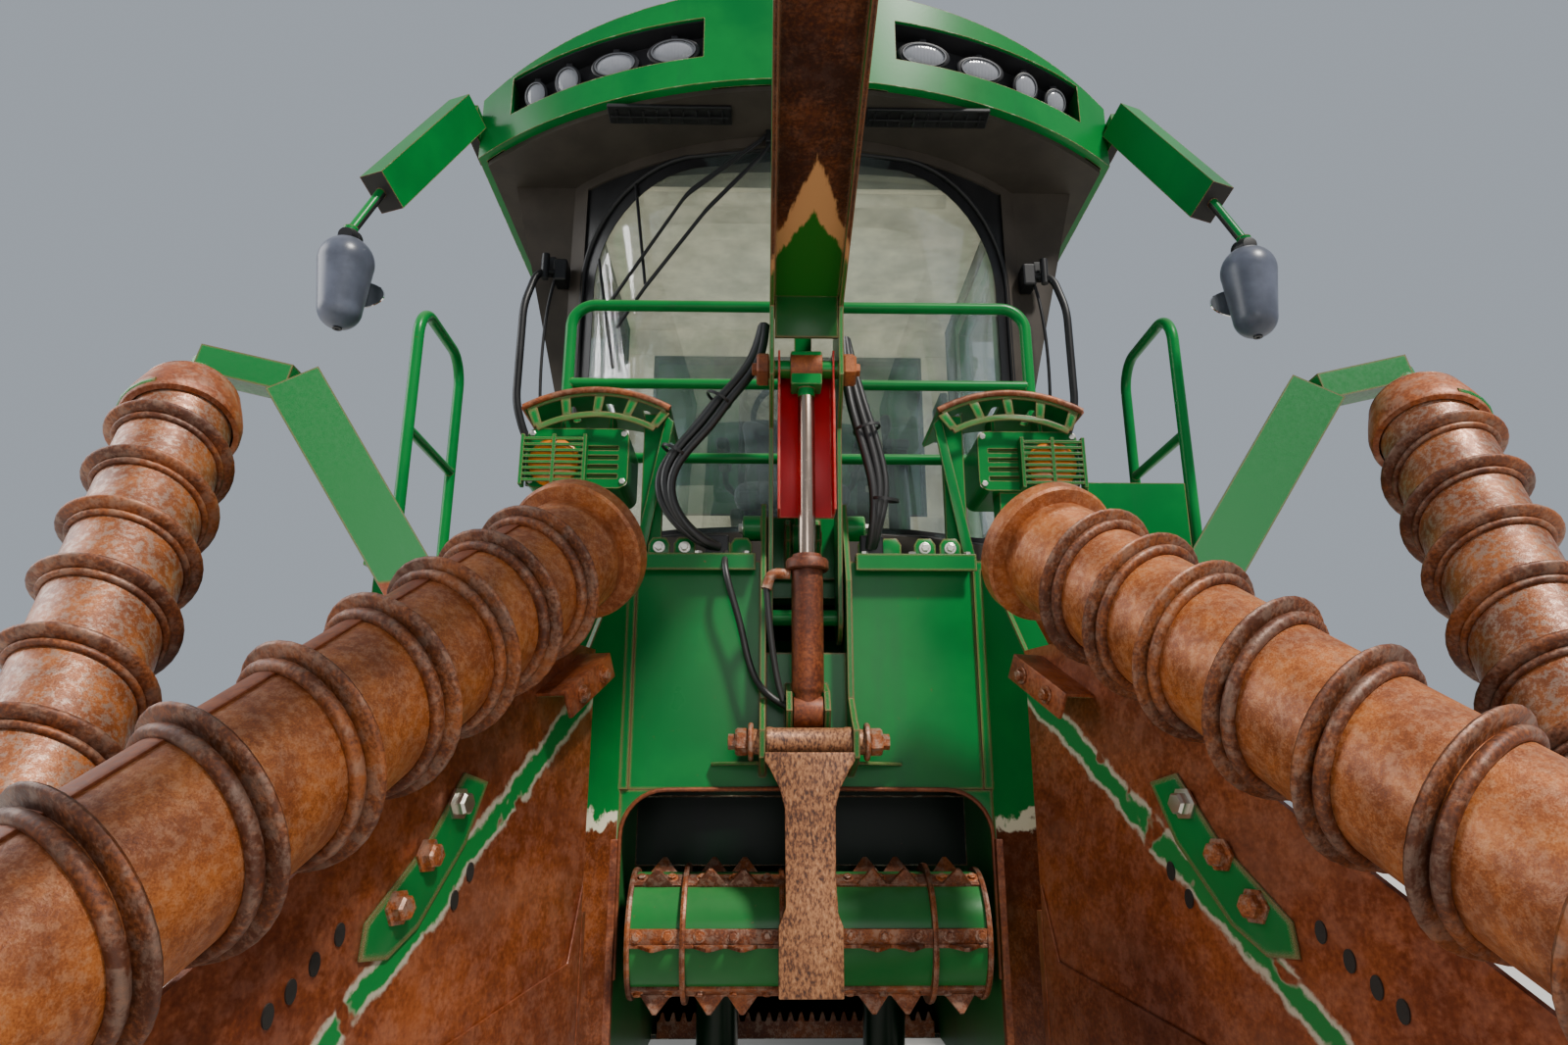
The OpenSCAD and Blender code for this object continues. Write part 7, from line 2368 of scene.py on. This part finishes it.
@dataclass
class EngineBay:
    """What the engine cover, tanks and stack carry."""

    side: float = 0.9
    top: float = 3.3
    stack: Pair = (0.45, 3.85)

    def cover(self) -> None:
        """Seams, latches and hinges of the side doors, core and wires behind the grilles, roof and stack."""
        x = self.side
        seams = [Shop.block(f"seam_{i}", (x - 0.002, y - 0.006, 1.8), (x + 0.006, y + 0.006, 3.24), 0.002) for i,
                 y in enumerate((2.3, 3.315, 4.18))]
        seams += [Shop.block(f"ledge_{i}", (x - 0.002, 2.12, z), (x + 0.008, 4.18, z + 0.014), 0.003) for i,
                  z in enumerate((1.88, 3.15))]
        fit_pair(Shop.join("cover_seams", seams), Finishes.GREEN)
        latches = []
        for y in (2.36, 3.24, 3.4, 4.08):
            latches.append(Shop.block(f"latch_{y}", (x - 0.002, y - 0.028, 1.985), (x + 0.012, y + 0.028, 2.05),
                                      0.005))
            latches.append(Shop.rod(f"latch_key_{y}", at(x + 0.01, y, 2.018), at(x + 0.022, y, 2.018), 0.015, 16,
                                    0.003))
        for y in (2.55, 3.05, 3.55, 3.95):
            latches.append(Shop.rod(f"hinge_{y}", at(x + 0.006, y - 0.05, 3.205), at(x + 0.006, y + 0.05, 3.205),
                                    0.012, 16, 0.002))
        fit_pair(Shop.join("cover_latches", latches), Finishes.BLACK)
        fit_pair(Shop.block("radiator_core", (x - 0.06, 2.345, 2.145), (x - 0.042, 3.255, 3.055), 0.004),
                 Finishes.BLACK)
        wires = [Shop.rod(f"wire_{i}", *[at(x - 0.036, 2.4 + 0.05 * i, z) for z in (2.19, 3.01)], 0.002, 6, 0.0)
                 for i in range(17)]
        fit_pair(Shop.join("grille_wires", wires), Finishes.MESH)
        panels = [Shop.block("roof_panel_a", (-0.7, 2.2, self.top - 0.002), (0.7, 3.1, self.top + 0.014), 0.006),
                  Shop.block("roof_panel_b", (-0.7, 3.16, self.top - 0.002), (0.3, 3.98, self.top + 0.014), 0.006)]
        panels += [Shop.block(f"roof_rib_{i}", (-0.62, y, self.top + 0.012),
                              (0.62 if y < 3.1 else 0.24, y + 0.03, self.top + 0.024), 0.004)
                   for i, y in enumerate((2.38, 2.62, 2.86, 3.32, 3.56, 3.8))]
        fit(Shop.join("roof_panels", panels), Finishes.PANEL)
        rows = [(at(s * 0.68, y, self.top + 0.014), UP) for s in (-1, 1) for y in (2.23, 2.52, 2.81, 3.07)]
        fit(Bolts("roof_bolts", 0.01).build(rows), Finishes.ZINC)
        sx, sy = self.stack
        stack = [Shop.lathe("stack_clamp", rectangle(0.074, 0.0, 0.084, 0.04),
                            Matrix.Translation(at(sx, sy, self.top + 0.08)), 40),
                 Shop.lathe("stack_collar", [(0.074, 0.0), (0.1, 0.0), (0.102, 0.006), (0.084, 0.026), (0.074, 0.03)],
                            Matrix.Translation(at(sx, sy, self.top)), 40),
                 Shop.lathe("stack_ring", rectangle(0.054, 0.0, 0.06, 0.014),
                            Matrix.Translation(at(sx, sy, self.top + 0.8)), 32)]
        for k, z in enumerate((3.46, 3.6, 3.74)):
            for i, (x, y) in enumerate(arc(self.stack, 0.074, 0, 330, 11)):
                stack.append(Shop.block(f"stack_slot_{k}_{i}", (x - 0.004, y - 0.004, z),
                                        (x + 0.004, y + 0.004, z + 0.1), 0.001))
        fit(Shop.join("stack_fittings", stack), Finishes.STACK)

    def tanks(self) -> None:
        """Straps, filler caps, drain plugs and weld seams of the side tanks."""
        out = 0.495 + 0.385
        low, high = 0.8, 1.5
        straps = [Shop.block(f"strap_{i}", (out - 0.002, y - 0.03, low + 0.06), (out + 0.006, y + 0.03, high - 0.06),
                             0.002)
                  for i, y in enumerate((1.62, 2.05, 2.48))]
        fit_pair(Shop.join("tank_straps", straps), Finishes.GREEN)
        cap = [Shop.lathe("filler", [(0.0, 0.06), (0.046, 0.058), (0.052, 0.05), (0.052, 0.022), (0.04, 0.02),
                                     (0.04, 0.0), (0.0, 0.0)],
                          Matrix.Translation(at(0.7, 1.8, high)), 32),
               Shop.lathe("drain_plug", [(0.0, 0.016), (0.018, 0.016), (0.02, 0.012), (0.02, 0.0), (0.0, 0.0)],
                          cross_frame(out, 1.85, low + 0.12), 24)]
        fit_pair(Shop.join("tank_fittings", cap), Finishes.BLACK)
        seam = [at(out + 0.002, y, z) for y, z in ((1.47, low + 0.01), (2.63, low + 0.01))]
        fit_pair(Shop.pipe("tank_weld", seam, 0.005, sides=2), Finishes.GREEN)
        bolts = [(at(out + 0.006, y, z), TO_LEFT) for y in (1.62, 2.05, 2.48) for z in (low + 0.09, high - 0.09)]
        fit_pair(Bolts("tank_bolts", 0.01).build(bolts), Finishes.ZINC)

    def build(self) -> None:
        """Builds all of it."""
        self.cover()
        self.tanks()


@dataclass
class Extractor:
    """Bands and bolts of the chamber and its hood, and the fan's nose."""

    y: float = 5.0
    r: float = 0.64

    def around(self, radius: float, z: float, count: int, facing: str = "up") -> list[tuple[Vector, Vector]]:
        """Places on a ring: facing up, or facing out.

        Args:
            radius: Radius of the ring.
            z: Its height.
            count: Number of places.
            facing: up, or out.

        Returns:
            Pairs of a point and the way that it faces.
        """
        turns = [2 * pi * (i + 0.5) / count for i in range(count)]
        return [(at(radius * cos(a), self.y + radius * sin(a), z),
                 UP if facing == "up" else Vector((cos(a), sin(a), 0))) for a in turns]

    def build(self) -> None:
        """Builds all of it."""
        flange_r = self.r + 0.006
        bolts = self.around(flange_r, 2.532, 20) + self.around(flange_r, 2.312, 20)
        bolts += self.around(self.r + 0.002, 2.18, 16, "out")
        fit(Bolts("chamber_bolts", 0.009).build(bolts), Finishes.ZINC)
        lie = Matrix.Translation(at(0.0, self.y, 0.0))
        bands = [Shop.lathe("wear_band", [(self.r - 0.002, 2.385), (self.r + 0.008, 2.388), (self.r + 0.008, 2.432),
                                          (self.r - 0.002, 2.435)], lie, 96),
                 Shop.lathe("chamber_foot", [(self.r - 0.004, 2.101), (self.r + 0.03, 2.101), (self.r + 0.03, 2.113),
                                             (self.r + 0.004, 2.118)], lie, 96)]
        fit(Shop.join("chamber_bands", bands), Finishes.GREEN)
        hood_r = self.r + 0.05
        ring = [Shop.lathe("hood_foot", [(hood_r - 0.002, 2.938), (hood_r + 0.004, 2.94), (hood_r + 0.004, 3.0),
                                         (hood_r - 0.002, 3.004)], lie, 96)]
        fit(Shop.join("hood_band", ring), Finishes.GREEN, body="hood")
        hood_bolts = [(place, face) for place, face in self.around(hood_r + 0.003, 2.97, 18, "out")
                      if place.y < at(0, self.y + 0.5, 0).y]
        fit(Bolts("hood_bolts", 0.009).build(hood_bolts), Finishes.ZINC, body="hood")
        fan = [Shop.lathe("fan_cap", [(0.0, 0.23), (0.06, 0.228), (0.1, 0.21), (0.11, 0.198), (0.0, 0.198)],
                          Matrix.Translation(at(0.0, self.y, 2.62)), 36)]
        fit(Shop.join("fan_nose", fan), Finishes.STEEL, body="fan")


@dataclass
class ElevatorFittings:
    """Ribs, bolts, bearings and chain of the elevator, in its own slanting frame."""

    hinge: Pair = (5.64, 0.86)
    slope: float = 35.0
    half: float = 0.45
    rib_pitch: float = 0.62
    bolt_pitch: float = 0.31
    link_pitch: float = 0.112
    rod_pitch: float = 0.7
    top_y: float = 5.24

    def lie(self) -> Matrix:
        """The elevator's frame: y runs up along it."""
        return Matrix.Translation(at(0.0, *self.hinge)) @ Matrix.Rotation(radians(self.slope), 4, "X")

    def build(self) -> None:
        """Ribs and edge rolls on the side plates, bearings at the top, side chains and rods under the floor."""
        lie, w = self.lie(), self.half
        ribs = [Shop.block(f"elevator_rib_{i}", (w - 0.002, 0.8 + self.rib_pitch * i, -0.16),
                           (w + 0.022, 0.84 + self.rib_pitch * i, 0.258), 0.004) for i in range(7)]
        for part in ribs:
            part.data.transform(lie @ Matrix.Translation(-at(0, 0, 0)))
        roll = [Shop.pipe("edge_roll", [lie @ Vector((w + 0.002, y, 0.26)) for y in (0.56, 4.92)], 0.016),
                Shop.pipe("foot_roll", [lie @ Vector((w + 0.002, y, -0.16)) for y in (0.25, 5.3)], 0.01)]
        fit_pair(Shop.join("elevator_ribs", ribs + roll), Finishes.GREEN, body="elevator")
        bolts = [(lie @ Vector((w + 0.001, 0.95 + self.bolt_pitch * i, z)), TO_LEFT) for i in range(13)
                 for z in (-0.11, 0.205)]
        fit_pair(Bolts("elevator_bolts", 0.009).build(bolts), Finishes.ZINC, body="elevator")
        bearing = Shop.lathe("elevator_bearings", [(0.0, 0.03), (0.03, 0.03), (0.034, 0.022), (0.06, 0.02),
                                                   (0.075, 0.006), (0.075, -0.001), (0.0, -0.001)],
                             aim_matrix(lie @ Vector((w, self.top_y, 0.0)), TO_LEFT, UP), 36)
        fit_pair(bearing, Finishes.BLACK, body="elevator")
        links = []
        for i in range(44):
            y = 0.24 + self.link_pitch * i
            for lift in (0.111, -0.119):
                links.append(Shop.block(f"link_{i}_{lift}", (0.372, y, lift), (0.388, y + 0.086, lift + 0.022), 0.003))
        for part in links:
            part.data.transform(lie @ Matrix.Translation(-at(0, 0, 0)))
        fit_pair(Shop.join("elevator_links", links), Finishes.CHAIN, body="elevator")
        rods = [Shop.rod(f"cage_{i}", *[lie @ Vector((x, 1.0 + self.rod_pitch * i, -0.15))
                                        for x in (-w + 0.02, w - 0.02)],
                         0.014, 12, 0.001) for i in range(6)]
        fit(Shop.join("elevator_cage", rods), Finishes.GREEN, body="elevator")


@dataclass
class Platforms:
    """Cleats of the walkways, treads of the steps, and the door's handle and seal."""

    corner: Triple = (0.93, 0.43, 1.765)
    cleat_pitch: float = 0.078
    first_step: Triple = (1.308, 1.5, 1.528)
    step_out: float = 0.035
    step_down: float = 0.26
    tread_pitch: float = 0.042

    def build(self) -> None:
        """Builds all of it."""
        cleats, pitch = [], self.cleat_pitch
        for i in range(20):
            for k in range(5):
                y, x = self.corner[1] + pitch * i, self.corner[0] + pitch * k
                cleats.append(Shop.plate(f"cleat_{i}_{k}", rectangle(-0.024, -0.004, 0.024, 0.004), 0.0035,
                                         Matrix.Translation(at(x, y, self.corner[2])) @
                                         Matrix.Rotation(radians(45 if (i + k) % 2 else -45), 4, "Z"), 0.001))
        fit_pair(Shop.join("walkway_cleats", cleats), Finishes.GREEN)
        treads = []
        for i in range(4):
            for k in range(10):
                x0, y0, z0 = self.first_step
                x, y, z = x0 + i * self.step_out, y0 + self.tread_pitch * k, z0 - i * self.step_down
                treads.append(Shop.block(f"tread_{i}_{k}", (x, y, z), (x + 0.104, y + 0.012, z + 0.006), 0.001))
        fit(Shop.join("step_treads", treads), Finishes.GREEN)
        handle = [Shop.pipe("door_handle", [at(0.858, 0.965, 2.3), at(0.878, 0.965, 2.31), at(0.878, 0.965, 2.49),
                                            at(0.858, 0.965, 2.5)], 0.01, 0.02),
                  Shop.block("door_lock", (0.852, 0.94, 2.19), (0.868, 0.995, 2.27), 0.004)]
        fit(Shop.join("door_handle", handle), Finishes.BLACK, body="door")
        frame_line = [at(0.862, y, z) for y, z in ((0.985, 2.155), (1.622, 2.155), (1.622, 3.205), (0.985, 3.205),
                                                   (0.985, 2.155))]
        fit(Shop.pipe("door_seal", frame_line, 0.008, 0.03, sides=2), Finishes.HOSE, body="door")


def dress_nodes() -> None:
    """Gives every CAD node its finish."""
    for finish, names in NODE_FINISHES.items():
        for name in names:
            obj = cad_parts.get(name)
            if obj is None:
                log.warning("no CAD node called %s", name)
                continue
            finish.on(obj)
    bare = set(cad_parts) - {name for names in NODE_FINISHES.values() for name in names}
    if bare:
        log.warning("nodes with no finish: %s", ", ".join(sorted(bare)))


def main() -> None:
    """Builds the scene in order."""
    logging.basicConfig(level=logging.INFO, format="%(name)s: %(message)s")
    Studio().build()
    dress_nodes()
    Scrolls().build()
    KnockdownRoller().build()
    Throat().build()
    DividerFittings().build()
    BoomFittings().build()
    CabFront().build()
    Pods().build()
    CabInterior().build()
    for group in (Wheels(), EngineBay(), Extractor(), ElevatorFittings(), Platforms()):
        group.build()


if __name__ == "__main__":
    main()
